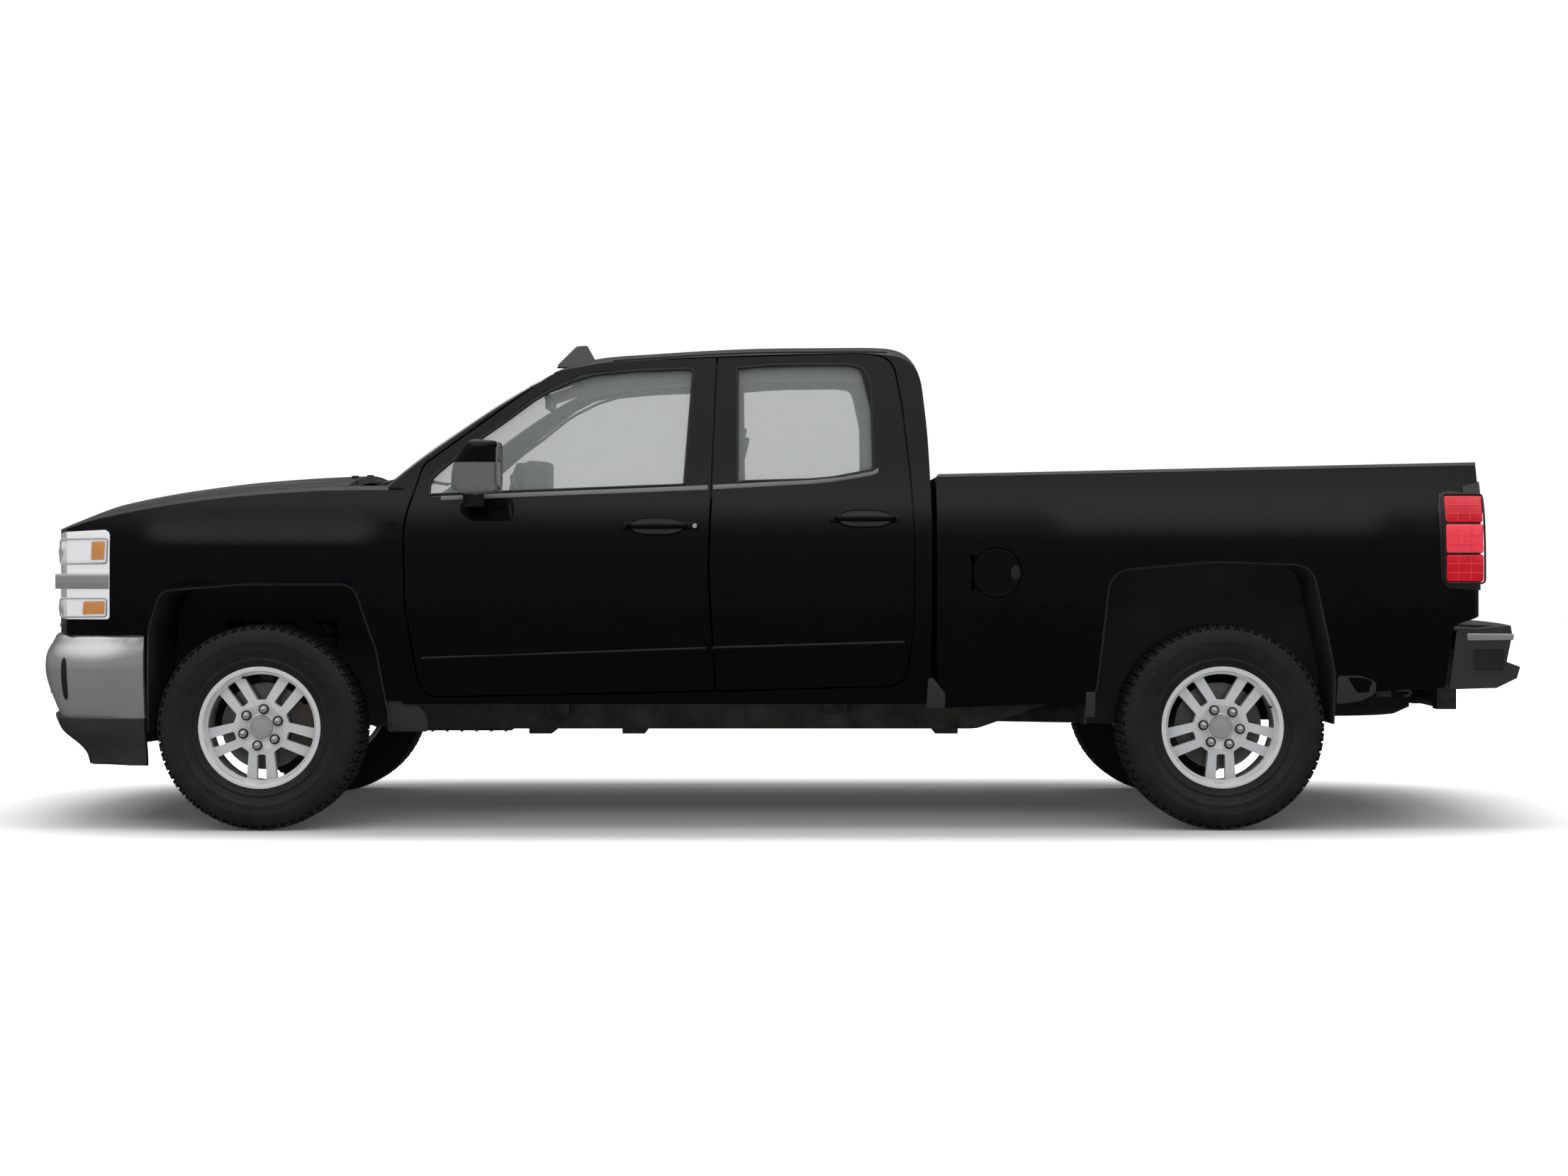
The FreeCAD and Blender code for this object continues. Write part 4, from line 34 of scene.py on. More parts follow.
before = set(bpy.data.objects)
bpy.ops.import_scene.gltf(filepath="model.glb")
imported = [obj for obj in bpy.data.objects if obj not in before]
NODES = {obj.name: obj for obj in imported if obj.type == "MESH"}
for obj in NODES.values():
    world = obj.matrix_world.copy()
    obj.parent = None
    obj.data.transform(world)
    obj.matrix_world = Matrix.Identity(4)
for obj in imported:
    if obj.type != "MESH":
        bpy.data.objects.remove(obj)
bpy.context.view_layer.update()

LEFT, RIGHT = -1, 1
SIDES = ((LEFT, "left"), (RIGHT, "right"))
FRONT_AXLE, REAR_AXLE = -1.936, 1.709
WHEEL_Y = {"front": 0.8725, "rear": 0.8585}
WHEEL_Z = 0.39
CAB_REAR, BED_REAR = 0.607, 2.69


# Shape of the body's surface

SECTION = [(0.27, 0.912), (0.38, 0.93), (0.52, 0.958), (0.68, 0.982), (0.81, 0.986), (0.954, 0.986), (1.08, 0.983),
    (1.152, 0.975), (1.201, 0.965), (1.242, 0.95), (1.28, 0.931), (1.319, 0.912), (1.4, 0.881), (1.499, 0.845),
    (1.6, 0.809), (1.699, 0.772), (1.8, 0.7346), (1.908, 0.693)]
HOOD_LINE = [(-2.9, 0.999), (-2.862, 1.095), (-2.847, 1.122), (-2.817, 1.152), (-2.759, 1.188), (-2.647, 1.233),
    (-2.541, 1.265), (-2.328, 1.308), (-2.117, 1.337), (-1.907, 1.355), (-1.703, 1.366), (-1.6, 1.368),
    (-1.221, 1.368)]
FLARE_DEPTH = 0.03


def smooth_curve(points):
    """Return a function that runs smoothly through (place, value) points."""
    last = len(points) - 1
    slopes = []
    for index in range(last + 1):
        before, after = points[max(index - 1, 0)], points[min(index + 1, last)]
        slopes.append((after[1] - before[1]) / (after[0] - before[0]))

    def value(place):
        index = 0
        while index < last - 1 and place > points[index + 1][0]:
            index += 1
        start, end = points[index], points[index + 1]
        span = end[0] - start[0]
        share = min(max((place - start[0]) / span, 0.0), 1.0)
        square, cube = share ** 2, share ** 3
        return ((2 * cube - 3 * square + 1) * start[1] + (cube - 2 * square + share) * span * slopes[index] +
            (3 * square - 2 * cube) * end[1] + (cube - square) * span * slopes[index + 1])

    return value


section = smooth_curve(SECTION)
hood_line = smooth_curve(HOOD_LINE)


def ease(share):
    """Rise smoothly from 0 to 1."""
    share = min(max(share, 0.0), 1.0)
    return share * share * (3 - 2 * share)


def pad(x, z, front, rear, top, fade, slope):
    """Return how far the pad round a wheel arch stands out."""
    return FLARE_DEPTH * ease((x - front) / fade) * ease((rear - x) / fade) * ease((top - z) / slope)


def half_width(x, z):
    """Return the body's half width at a place of the side view."""
    nose = 0.05 * (max(FRONT_AXLE - 0.314 - x, 0) / 0.45) ** 2
    tail = 0.014 * (max(x - (BED_REAR - 0.39), 0) / 0.39) ** 2
    front = pad(x, z, FRONT_AXLE - 0.48, FRONT_AXLE + 0.48, 1.195, 0.13, 0.115)
    rear = pad(x, z, REAR_AXLE - 0.715, REAR_AXLE + 0.68, 1.28, 0.165, 0.17)
    return section(z) - nose - tail + front + rear


def nose_x(y):
    """Return where the bowed nose lies in plan."""
    return -2.862 + 0.187 * (y / 0.94) ** 2


def hood_z(x, y):
    """Return the height of the hood and the fenders' tops."""
    return hood_line(x) - 0.059 * (y / 0.806) ** 2


# Node helpers

def group_socket(tree, name, way, kind, value=None):
    """Add a named socket to a node group."""
    socket = tree.interface.new_socket(name=name, in_out=way, socket_type="NodeSocket" + kind)
    if value is not None:
        socket.default_value = value
    return socket


def put(tree, kind, **settings):
    """Add a node; settings are attributes, or input values when their name starts with in_."""
    node = tree.nodes.new(kind)
    for name, value in settings.items():
        if name.startswith("in_"):
            node.inputs[name[3:].replace("_", " ")].default_value = value
        else:
            setattr(node, name, value)
    return node


def feed(tree, socket, value):
    """Link an input to another node's socket, or set it to a plain value."""
    if hasattr(value, "links"):
        tree.links.new(value, socket)
    else:
        socket.default_value = value


def mix_colours(tree, factor, first, second, blend="MIX"):
    """Mix two colours; each argument is a socket or a value. Return the result's socket."""
    node = put(tree, "ShaderNodeMix", data_type="RGBA", blend_type=blend)
    for index, value in ((0, factor), (6, first), (7, second)):
        feed(tree, node.inputs[index], value)
    return node.outputs[2]


def calculate(tree, operation, *values):
    """Add a Math node; each value is a socket or a number. Return its socket."""
    node = put(tree, "ShaderNodeMath", operation=operation)
    for socket, value in zip(node.inputs, values):
        feed(tree, socket, value)
    return node.outputs[0]


def rescale(tree, value, low, high, new_low, new_high):
    """Map a socket's value from one range to another, clamped. Return the result's socket."""
    node = put(tree, "ShaderNodeMapRange", in_From_Min=low, in_From_Max=high, in_To_Min=new_low, in_To_Max=new_high)
    tree.links.new(value, node.inputs["Value"])
    return node.outputs[0]


def noise(tree, vector, scale, detail=3.0, rough=0.55):
    """Add a noise texture; scale is a socket or a number. Return its value socket."""
    node = put(tree, "ShaderNodeTexNoise", in_Detail=detail, in_Roughness=rough)
    tree.links.new(vector, node.inputs["Vector"])
    feed(tree, node.inputs["Scale"], scale)
    return node.outputs[0]


def place_of(tree, kind="Object"):
    """Return the socket of the place on the surface."""
    return tree.nodes.new("ShaderNodeTexCoord").outputs[kind]


def split_place(tree, place):
    """Return the X, Y and Z sockets of a place."""
    split = tree.nodes.new("ShaderNodeSeparateXYZ")
    tree.links.new(place, split.inputs[0])
    return split.outputs


def grey_from(tree, value):
    """Return a grey colour's socket with a value's brightness."""
    colour = tree.nodes.new("ShaderNodeCombineColor")
    for index in range(3):
        tree.links.new(value, colour.inputs[index])
    return colour.outputs[0]


def connect(tree, source, target, *labels):
    """Link a node's outputs to another node's inputs; each label is one name or (output, input)."""
    for label in labels:
        given, taken = (label, label) if isinstance(label, str) else label
        tree.links.new(source.outputs[given], target.inputs[taken])


def new_group(name, inputs, outputs):
    """Start a shader node group; return its tree, input node and output node."""
    tree = bpy.data.node_groups.new(name, "ShaderNodeTree")
    for label, kind, value in inputs:
        group_socket(tree, label, "INPUT", kind, value)
    for label, kind in outputs:
        group_socket(tree, label, "OUTPUT", kind)
    return tree, tree.nodes.new("NodeGroupInput"), tree.nodes.new("NodeGroupOutput")


GREY = (0.5, 0.5, 0.5, 1.0)


def build_finish_group():
    """Fine grain, broad cloudiness and slight soiling for any surface."""
    tree, given, result = new_group("Surface finish", [("Colour", "Color", GREY), ("Second colour", "Color", GREY),
        ("Grain scale", "Float", 400.0), ("Cloud scale", "Float", 3.0), ("Cloudiness", "Float", 0.3),
        ("Roughness", "Float", 0.5), ("Roughness spread", "Float", 0.1)],
        [("Colour", "Color"), ("Roughness", "Float"), ("Height", "Float")])
    place = place_of(tree)
    grain = noise(tree, place, given.outputs["Grain scale"], 2.0)
    cloud = noise(tree, place, given.outputs["Cloud scale"], 5.0, 0.62)
    share = calculate(tree, "MULTIPLY", rescale(tree, cloud, 0.35, 0.68, 0.0, 1.0), given.outputs["Cloudiness"])
    colour = mix_colours(tree, share, given.outputs["Colour"], given.outputs["Second colour"])
    speck = grey_from(tree, rescale(tree, grain, 0.3, 0.7, 0.92, 1.06))
    tree.links.new(mix_colours(tree, 1.0, colour, speck, "MULTIPLY"), result.inputs["Colour"])
    spread = calculate(tree, "MULTIPLY", calculate(tree, "SUBTRACT", cloud, 0.5), given.outputs["Roughness spread"])
    rough = calculate(tree, "ADD", given.outputs["Roughness"], calculate(tree, "MULTIPLY", spread, 2.0))
    tree.links.new(calculate(tree, "MAXIMUM", rough, 0.01), result.inputs["Roughness"])
    tree.links.new(grain, result.inputs["Height"])
    return tree


def build_dust_group():
    """Road dust that is densest near the ground and in patches."""
    tree, given, result = new_group("Road dust", [("Colour", "Color", GREY), ("Dust colour", "Color", GREY),
        ("Roughness", "Float", 0.5), ("Top", "Float", 0.6), ("Amount", "Float", 0.3)],
        [("Colour", "Color"), ("Roughness", "Float")])
    place = place_of(tree)
    low = calculate(tree, "SUBTRACT", given.outputs["Top"], split_place(tree, place)["Z"])
    height = rescale(tree, low, 0.0, 0.6, 0.15, 1.0)
    patches = rescale(tree, noise(tree, place, 9.0, 6.0, 0.7), 0.38, 0.66, 0.25, 1.0)
    share = calculate(tree, "MULTIPLY", calculate(tree, "MULTIPLY", height, patches), given.outputs["Amount"])
    tree.links.new(mix_colours(tree, share, given.outputs["Colour"], given.outputs["Dust colour"]),
        result.inputs["Colour"])
    rough = calculate(tree, "ADD", given.outputs["Roughness"], calculate(tree, "MULTIPLY", share, 0.4))
    tree.links.new(calculate(tree, "MINIMUM", rough, 0.95), result.inputs["Roughness"])
    return tree


def build_weave_group():
    """Woven cloth: crossed threads with a lighter fleck."""
    tree, given, result = new_group("Woven cloth", [("Colour", "Color", GREY), ("Fleck", "Color", GREY),
        ("Threads", "Float", 500.0)], [("Colour", "Color"), ("Roughness", "Float"), ("Height", "Float")])
    place = place_of(tree)
    waves = []
    for direction in ("X", "Y", "Z"):
        wave = put(tree, "ShaderNodeTexWave", bands_direction=direction, in_Distortion=0.6, in_Detail=1.0)
        tree.links.new(place, wave.inputs["Vector"])
        tree.links.new(given.outputs["Threads"], wave.inputs["Scale"])
        waves.append(wave.outputs["Fac"])
    height = calculate(tree, "MULTIPLY", calculate(tree, "ADD", waves[0], waves[1]),
        calculate(tree, "ADD", waves[2], 0.4))
    fleck = rescale(tree, noise(tree, place, 900.0, 1.0), 0.52, 0.72, 0.0, 0.5)
    tree.links.new(mix_colours(tree, fleck, given.outputs["Colour"], given.outputs["Fleck"]), result.inputs["Colour"])
    tree.links.new(rescale(tree, height, 0.0, 2.0, 0.95, 0.75), result.inputs["Roughness"])
    tree.links.new(height, result.inputs["Height"])
    return tree


FINISH, DUST, WEAVE = build_finish_group(), build_dust_group(), build_weave_group()


def start_material(name, **constants):
    """Make a material and set its shader's own sockets; return material, tree and shader."""
    material = bpy.data.materials.new(name)
    material.use_nodes = True
    tree = material.node_tree
    shader = tree.nodes["Principled BSDF"]
    for label, value in constants.items():
        shader.inputs[label.replace("_", " ")].default_value = value
    return material, tree, shader


def use_group(tree, group, **values):
    """Place a node group; values are numbers, colours or sockets."""
    node = put(tree, "ShaderNodeGroup", node_tree=group)
    for label, value in values.items():
        feed(tree, node.inputs[label.replace("_", " ")], value)
    return node


def bump(tree, shader, height, strength, distance):
    """Feed a height into the shader's normal."""
    node = put(tree, "ShaderNodeBump", in_Strength=strength, in_Distance=distance)
    tree.links.new(height, node.inputs["Height"])
    tree.links.new(node.outputs[0], shader.inputs["Normal"])


def finish(name, colour, second, rough, spread=0.08, grain=400.0, depth=0.0002, strength=0.3, cloud=3.0,
        cloudiness=0.4, dust=0.0, dust_top=0.75, **constants):
    """Make a material with grain, cloudiness and, if asked, road dust."""
    material, tree, shader = start_material(name, **constants)
    base = use_group(tree, FINISH, Colour=(*colour, 1.0), Second_colour=(*second, 1.0), Grain_scale=grain,
        Cloud_scale=cloud, Cloudiness=cloudiness, Roughness=rough, Roughness_spread=spread)
    last = base
    if dust:
        last = use_group(tree, DUST, Colour=base.outputs["Colour"], Dust_colour=(0.16, 0.15, 0.135, 1.0),
            Roughness=base.outputs["Roughness"], Top=dust_top, Amount=dust)
    connect(tree, last, shader, ("Colour", "Base Color"), "Roughness")
    bump(tree, shader, base.outputs["Height"], strength, depth)
    return material


def glass_finish(name, colour, rough, alpha, **constants):
    """Make thin clear or tinted glass that lets light straight through."""
    material, tree, shader = start_material(name, Alpha=alpha, **constants)
    base = use_group(tree, FINISH, Colour=(*colour, 1.0), Second_colour=(*colour, 1.0), Grain_scale=60.0,
        Cloud_scale=2.0, Cloudiness=0.2, Roughness=rough, Roughness_spread=0.01)
    connect(tree, base, shader, ("Colour", "Base Color"), "Roughness")
    return material


def cloth_finish(name, colour, fleck, threads):
    """Make woven seat cloth."""
    material, tree, shader = start_material(name, Sheen_Weight=0.25, Sheen_Roughness=0.5)
    weave = use_group(tree, WEAVE, Colour=(*colour, 1.0), Fleck=(*fleck, 1.0), Threads=threads)
    connect(tree, weave, shader, ("Colour", "Base Color"), "Roughness")
    bump(tree, shader, weave.outputs["Height"], 0.35, 0.0006)
    return material


# After the two colours: roughness, its spread, grain scale, grain depth, bump strength, cloud scale,
# cloudiness, dust and the height up to which it lies.
PAINT = finish("black gloss paint", (0.0011, 0.0013, 0.002), (0.0014, 0.0017, 0.0026), 0.36, 0.03, 2600.0, 0.00002,
    0.05, 1.5, 0.5, 0.008, 0.55, Coat_Weight=0.55, Coat_Roughness=0.03, Specular_IOR_Level=0.06)
PLASTIC = finish("grained grey plastic", (0.022, 0.022, 0.023), (0.03, 0.03, 0.031), 0.55, 0.1, 900.0, 0.0004, 0.5,
    4.0, 0.5, 0.08)
RAIL = finish("grey rail cap", (0.06, 0.06, 0.061), (0.075, 0.075, 0.076), 0.5, 0.08, 900.0, 0.0003, 0.4, 4.0, 0.4)
CASE = finish("grey mirror housing", (0.105, 0.105, 0.107), (0.12, 0.12, 0.12), 0.42, 0.08, 900.0, 0.0002, 0.3, 4.0,
    0.4)
LINER = finish("wheel liner felt", (0.016, 0.016, 0.016), (0.024, 0.024, 0.024), 0.9, 0.05, 700.0, 0.0015, 0.8, 6.0,
    0.7, 0.06, 1.0)
RUBBER_TRIM = finish("black rubber trim", (0.01, 0.01, 0.01), (0.016, 0.016, 0.016), 0.6, 0.1, 800.0)
CHROME = finish("polished chrome", (0.72, 0.72, 0.73), (0.66, 0.66, 0.67), 0.1, 0.02, 500.0, 0.00002, 0.05, 3.0, 0.3,
    0.05, 0.6, Metallic=0.78)
SATIN = finish("satin silver trim", (0.5, 0.5, 0.51), (0.44, 0.44, 0.45), 0.28, 0.05, 900.0, 0.00005, 0.1,
    Metallic=0.45)
ALLOY = finish("painted wheel alloy", (0.74, 0.75, 0.76), (0.66, 0.67, 0.68), 0.3, 0.06, 1500.0, 0.00006, 0.15, 7.0,
    0.35, 0.06, 0.5, Metallic=0.25, Coat_Weight=0.5, Coat_Roughness=0.08)
TYRE = finish("tyre rubber", (0.009, 0.009, 0.0092), (0.014, 0.014, 0.014), 0.55, 0.1, 600.0, 0.0003, 0.4, 8.0, 0.6,
    0.06, 0.7, Specular_IOR_Level=0.35)
STEEL = finish("waxed chassis steel", (0.009, 0.009, 0.009), (0.017, 0.016, 0.015), 0.5, 0.15, 300.0, 0.0006, 0.5,
    6.0, 0.7, 0.4, 0.9)
CAST = finish("cast iron", (0.13, 0.125, 0.12), (0.2, 0.15, 0.11), 0.62, 0.12, 500.0, 0.0008, 0.6, 12.0, 0.7, 0.25,
    0.6, Metallic=0.8)
DISC = finish("brake disc steel", (0.36, 0.355, 0.35), (0.27, 0.24, 0.21), 0.35, 0.15, 1200.0, 0.0001, 0.3, 25.0, 0.5,
    Metallic=1.0)
TUBE = finish("exhaust steel", (0.3, 0.285, 0.26), (0.2, 0.15, 0.1), 0.42, 0.15, 700.0, 0.0002, 0.4, 5.0, 0.8, 0.3,
    0.6, Metallic=0.9)
ALUMINIUM = finish("cast aluminium", (0.42, 0.42, 0.42), (0.34, 0.34, 0.33), 0.45, 0.12, 800.0, 0.0004, 0.5, 9.0, 0.5,
    Metallic=0.9)
BED_LINER = finish("sprayed bed coat", (0.012, 0.012, 0.013), (0.022, 0.022, 0.022), 0.68, 0.1, 450.0, 0.0016, 0.9,
    4.0, 0.5, 0.2, 1.1)
CABIN = finish("dark cabin plastic", (0.028, 0.028, 0.03), (0.036, 0.036, 0.038), 0.6, 0.08, 1100.0, 0.0004, 0.5, 5.0,
    0.4)
CABIN_GREY = finish("grey cabin lining", (0.25, 0.25, 0.255), (0.22, 0.22, 0.225), 0.85, 0.05, 1500.0, 0.0005, 0.4,
    5.0, 0.4)
CARPET = finish("floor carpet", (0.03, 0.03, 0.032), (0.045, 0.044, 0.044), 0.95, 0.03, 1600.0, 0.003, 1.0, 10.0, 0.6)
LEATHER = finish("wheel rim leather", (0.018, 0.018, 0.019), (0.026, 0.026, 0.027), 0.48, 0.1, 1300.0, 0.0003, 0.5,
    6.0, 0.4)
CLOTH = cloth_finish("dark seat cloth", (0.035, 0.035, 0.038), (0.075, 0.075, 0.08), 420.0)
CLOTH_SIDE = cloth_finish("grey bolster cloth", (0.11, 0.11, 0.115), (0.15, 0.15, 0.155), 520.0)
BELT = cloth_finish("seat belt webbing", (0.012, 0.012, 0.012), (0.03, 0.03, 0.03), 900.0)
REFLECTOR = finish("bright reflector", (0.82, 0.82, 0.83), (0.76, 0.76, 0.77), 0.12, 0.04, 300.0, 0.0001, 0.1, 8.0,
    0.3, Metallic=1.0)
LAMP_WHITE = finish("pale lamp housing", (0.78, 0.79, 0.8), (0.7, 0.71, 0.72), 0.22, 0.05, 500.0, 0.0001, 0.1, 8.0,
    0.3, Coat_Weight=0.5)
BULB = finish("frosted bulb", (0.85, 0.85, 0.82), (0.78, 0.78, 0.75), 0.25, 0.05, 700.0)
AMBER = finish("amber lens", (0.56, 0.24, 0.075), (0.48, 0.18, 0.05), 0.15, 0.04, 90.0, 0.002, 0.5, 20.0, 0.4,
    Coat_Weight=1.0)
RED = finish("red lens", (0.62, 0.008, 0.022), (0.45, 0.004, 0.014), 0.12, 0.03, 220.0, 0.0004, 0.3, 20.0, 0.5,
    Coat_Weight=1.0, Coat_Roughness=0.03)
RED_BRIGHT = finish("bright red reflector", (0.9, 0.055, 0.085), (0.78, 0.03, 0.06), 0.18, 0.04, 160.0, 0.001, 0.5,
    30.0, 0.5, Coat_Weight=1.0, Coat_Roughness=0.03)
GLASS = glass_finish("side window glass", (0.3, 0.33, 0.33), 0.02, 0.26, Coat_Weight=0.3, Coat_Roughness=0.02)
CLEAR = glass_finish("clear lamp lens", (0.86, 0.88, 0.89), 0.02, 0.16, Coat_Weight=0.6, Coat_Roughness=0.02)
MIRROR = finish("mirror glass", (0.8, 0.81, 0.82), (0.78, 0.79, 0.8), 0.02, 0.005, 200.0, 0.00001, 0.02, Metallic=1.0)
LAMP_BLACK = finish("black lamp housing", (0.01, 0.01, 0.011), (0.014, 0.014, 0.015), 0.3, 0.06, 500.0, 0.0001, 0.1,
    8.0, 0.3, Coat_Weight=0.4)
SCREEN = finish("black display glass", (0.006, 0.006, 0.008), (0.008, 0.008, 0.01), 0.12, 0.03, 400.0, 0.00002, 0.05,
    Coat_Weight=1.0)
BLOCK = finish("engine casting", (0.2, 0.2, 0.2), (0.14, 0.13, 0.12), 0.55, 0.12, 600.0, 0.0008, 0.6, 8.0, 0.6, 0.15,
    0.9, Metallic=0.8)


# Mesh helpers

def new_object(name, mesh, material, angle=35.0):
    """Wrap a mesh in an object, smooth up to an angle."""
    mesh.name = name
    mesh.materials.clear()
    mesh.materials.append(material)
    mesh.shade_smooth()
    mesh.set_sharp_from_angle(angle=math.radians(angle))
    thing = bpy.data.objects.new(name, mesh)
    bpy.context.scene.collection.objects.link(thing)
    return thing


def from_shape(name, shape, material, angle=35.0):
    """Turn a bmesh into an object with its faces outward."""
    bmesh.ops.remove_doubles(shape, verts=shape.verts, dist=0.00002)
    bmesh.ops.recalc_face_normals(shape, faces=shape.faces)
    mesh = bpy.data.meshes.new(name)
    shape.to_mesh(mesh)
    shape.free()
    return new_object(name, mesh, material, angle)


def shape_from(points, faces):
    """Start a bmesh from points and faces."""
    mesh = bpy.data.meshes.new("scratch")
    mesh.from_pydata([tuple(point) for point in points], [], faces)
    shape = bmesh.new()
    shape.from_mesh(mesh)
    bpy.data.meshes.remove(mesh)
    return shape


def loft(name, loops, material, ring=False, angle=35.0):
    """Join equal loops of points; open ends are capped unless it is a ring."""
    count, total = len(loops[0]), len(loops)
    faces = []
    for index in range(total if ring else total - 1):
        here, there = index * count, (index + 1) % total * count
        for place in range(count):
            after = (place + 1) % count
            faces.append((here + place, here + after, there + after, there + place))
    if not ring:
        faces += [tuple(range(count)), tuple(range((total - 1) * count, total * count))]
    points = [point for loop in loops for point in loop]
    return from_shape(name, shape_from(points, faces), material, angle)


def rounded_box(name, x_span, y_span, z_span, material, radius=0.004, segments=3, turn=None):
    """Make a box with rounded edges; turn is a matrix about its centre."""
    centre = Vector([sum(span) / 2 for span in (x_span, y_span, z_span)])
    size = [max(span) - min(span) for span in (x_span, y_span, z_span)]
    shape = bmesh.new()
    bmesh.ops.create_cube(shape, size=1.0)
    for corner in shape.verts:
        corner.co = Vector([corner.co[axis] * size[axis] for axis in range(3)])
    bmesh.ops.bevel(shape, geom=shape.edges[:], offset=min(radius, min(size) * 0.45), segments=segments, profile=0.5,
        affect="EDGES")
    for corner in shape.verts:
        corner.co = (turn @ corner.co if turn else corner.co) + centre
    return from_shape(name, shape, material)


def plate(name, outline, span, place, material, radius=0.002, segments=2):
    """Extrude an outline of (u, v) points between two depths, with softened edges."""
    count = len(outline)
    points = [place(u, v, depth) for depth in span for u, v in outline]
    faces = [tuple(range(count)), tuple(range(count, 2 * count))]
    for index in range(count):
        after = (index + 1) % count
        faces.append((index, after, count + after, count + index))
    shape = shape_from(points, faces)
    caps = [edge for edge in shape.edges if (edge.verts[0].index < count) == (edge.verts[1].index < count)]
    if radius:
        bmesh.ops.bevel(shape, geom=caps, offset=radius, segments=segments, profile=0.5, affect="EDGES")
    return from_shape(name, shape, material)


def rounded_outline(points, radius, segments=5):
    """Round the corners of a closed outline of (u, v) points."""
    result = []
    total = len(points)
    for index, corner in enumerate(points):
        here = Vector(corner[:2])
        before, after = Vector(points[index - 1][:2]), Vector(points[(index + 1) % total][:2])
        reach = corner[2] if len(corner) > 2 else radius
        reach = min(reach, (before - here).length * 0.49, (after - here).length * 0.49)
        start, end = here + (before - here).normalized() * reach, here + (after - here).normalized() * reach
        for step in range(segments + 1):
            share = step / segments
            result.append(tuple(start.lerp(here, share).lerp(here.lerp(end, share), share)))
    return result


def rounded_rectangle(u_span, v_span, radius):
    """Return the outline of a rectangle with rounded corners."""
    (left, right), (low, high) = u_span, v_span
    return rounded_outline([(left, low), (right, low), (right, high), (left, high)], radius)


def oval(centre, half_u, half_v, count=32, power=2.0):
    """Return an oval outline; a higher power squares it."""
    points = []
    for index in range(count):
        angle = math.tau * index / count
        cosine, sine = math.cos(angle), math.sin(angle)
        points.append((centre[0] + half_u * math.copysign(abs(cosine) ** (2 / power), cosine),
            centre[1] + half_v * math.copysign(abs(sine) ** (2 / power), sine)))
    return points


def tube(name, path, radius, material, sides=14, ring=False):
    """Sweep a round section along a path; radius is a number or one for each point."""
    path = [Vector(point) for point in path]
    total = len(path)
    radii = radius if isinstance(radius, (list, tuple)) else [radius] * total
    loops, normal = [], None
    for index, point in enumerate(path):
        before = path[index - 1] if ring or index else point
        after = path[(index + 1) % total] if ring or index < total - 1 else point
        along = (after - before).normalized()
        if normal is None:
            normal = along.orthogonal().normalized()
        normal = (normal - along * normal.dot(along)).normalized()
        across = along.cross(normal)
        loops.append([point + (normal * math.cos(math.tau * step / sides) + across *
            math.sin(math.tau * step / sides)) * radii[index] for step in range(sides)])
    return loft(name, loops, material, ring)


def rounded_path(points, radius, segments=6):
    """Round the bends of an open path in space."""
    points = [Vector(point) for point in points]
    result = [points[0]]
    for index in range(1, len(points) - 1):
        here = points[index]
        reach = min(radius, (points[index - 1] - here).length * 0.49, (points[index + 1] - here).length * 0.49)
        start = here + (points[index - 1] - here).normalized() * reach
        end = here + (points[index + 1] - here).normalized() * reach
        for step in range(segments + 1):
            share = step / segments
            result.append(start.lerp(here, share).lerp(here.lerp(end, share), share))
    return result + [points[-1]]


def lathe(name, profile, centre, axis, material, count=64, angle=35.0):
    """Turn a closed profile of (along, radius) points about an axis."""
    axis = Vector(axis).normalized()
    first = axis.orthogonal().normalized()
    second = axis.cross(first)
    centre = Vector(centre)
    loops = []
    for bearing in bearings(count):
        ray = first * math.cos(bearing) + second * math.sin(bearing)
        loops.append([centre + axis * along + ray * radius for along, radius in profile])
    return loft(name, loops, material, True, angle)


def side_point(x, z, side, proud=0.0):
    """Return a point on the body's side, or proud of it."""
    return Vector((x, side * (half_width(x, z) + proud), z))


def side_band(name, side, places, material, proud=0.006, sunk=0.004, soft=0.3):
    """Lay a rounded strip on the body's side; places are (x, low z, high z)."""
    loops = []
    for x, low, high in places:
        tall = high - low
        edge = tall * soft
        section_points = [(low, -sunk), (low, proud * 0.45), (low + edge * 0.4, proud * 0.85), (low + edge, proud),
            (high - edge, proud), (high - edge * 0.4, proud * 0.85), (high, proud * 0.45), (high, -sunk)]
        loops.append([side_point(x, z, side, out) for z, out in section_points])
    return loft(name, loops, material)


def spread(first, last, count):
    """Return evenly spaced values, both ends included."""
    return [first + (last - first) * index / (count - 1) for index in range(count)]


def bearings(count):
    """Return evenly spaced angles of a full turn."""
    return [math.tau * index / count for index in range(count)]


def along_line(points, count):
    """Return evenly spaced (x, z) places on a polyline of the side view."""
    lengths = [0.0]
    for before, after in zip(points, points[1:]):
        lengths.append(lengths[-1] + (Vector(after) - Vector(before)).length)
    result = []
    for distance in spread(0.0, lengths[-1], count):
        index = 0
        while index < len(points) - 2 and distance > lengths[index + 1]:
            index += 1
        share = (distance - lengths[index]) / max(lengths[index + 1] - lengths[index], 1e-9)
        result.append(Vector(points[index]).lerp(Vector(points[index + 1]), share))
    return result


def side_cord(name, side, outline, radius, material, proud, count):
    """Run a round cord along a closed outline of (x, z) points on the body's side."""
    places = along_line(list(outline) + [outline[0]], count + 1)[:-1]
    return tube(name, [side_point(x, z, side, proud) for x, z in places], radius, material, 8, True)


def facing_x(x):
    """Return a placing function for a plate that stands across the truck at x."""
    return lambda u, v, w: Vector((x + w, u, v))


def flat_side(side, y):
    """Return a placing function for a plate on an upright plane at the truck's side."""
    return lambda u, v, w: Vector((u, side * (y + w), v))


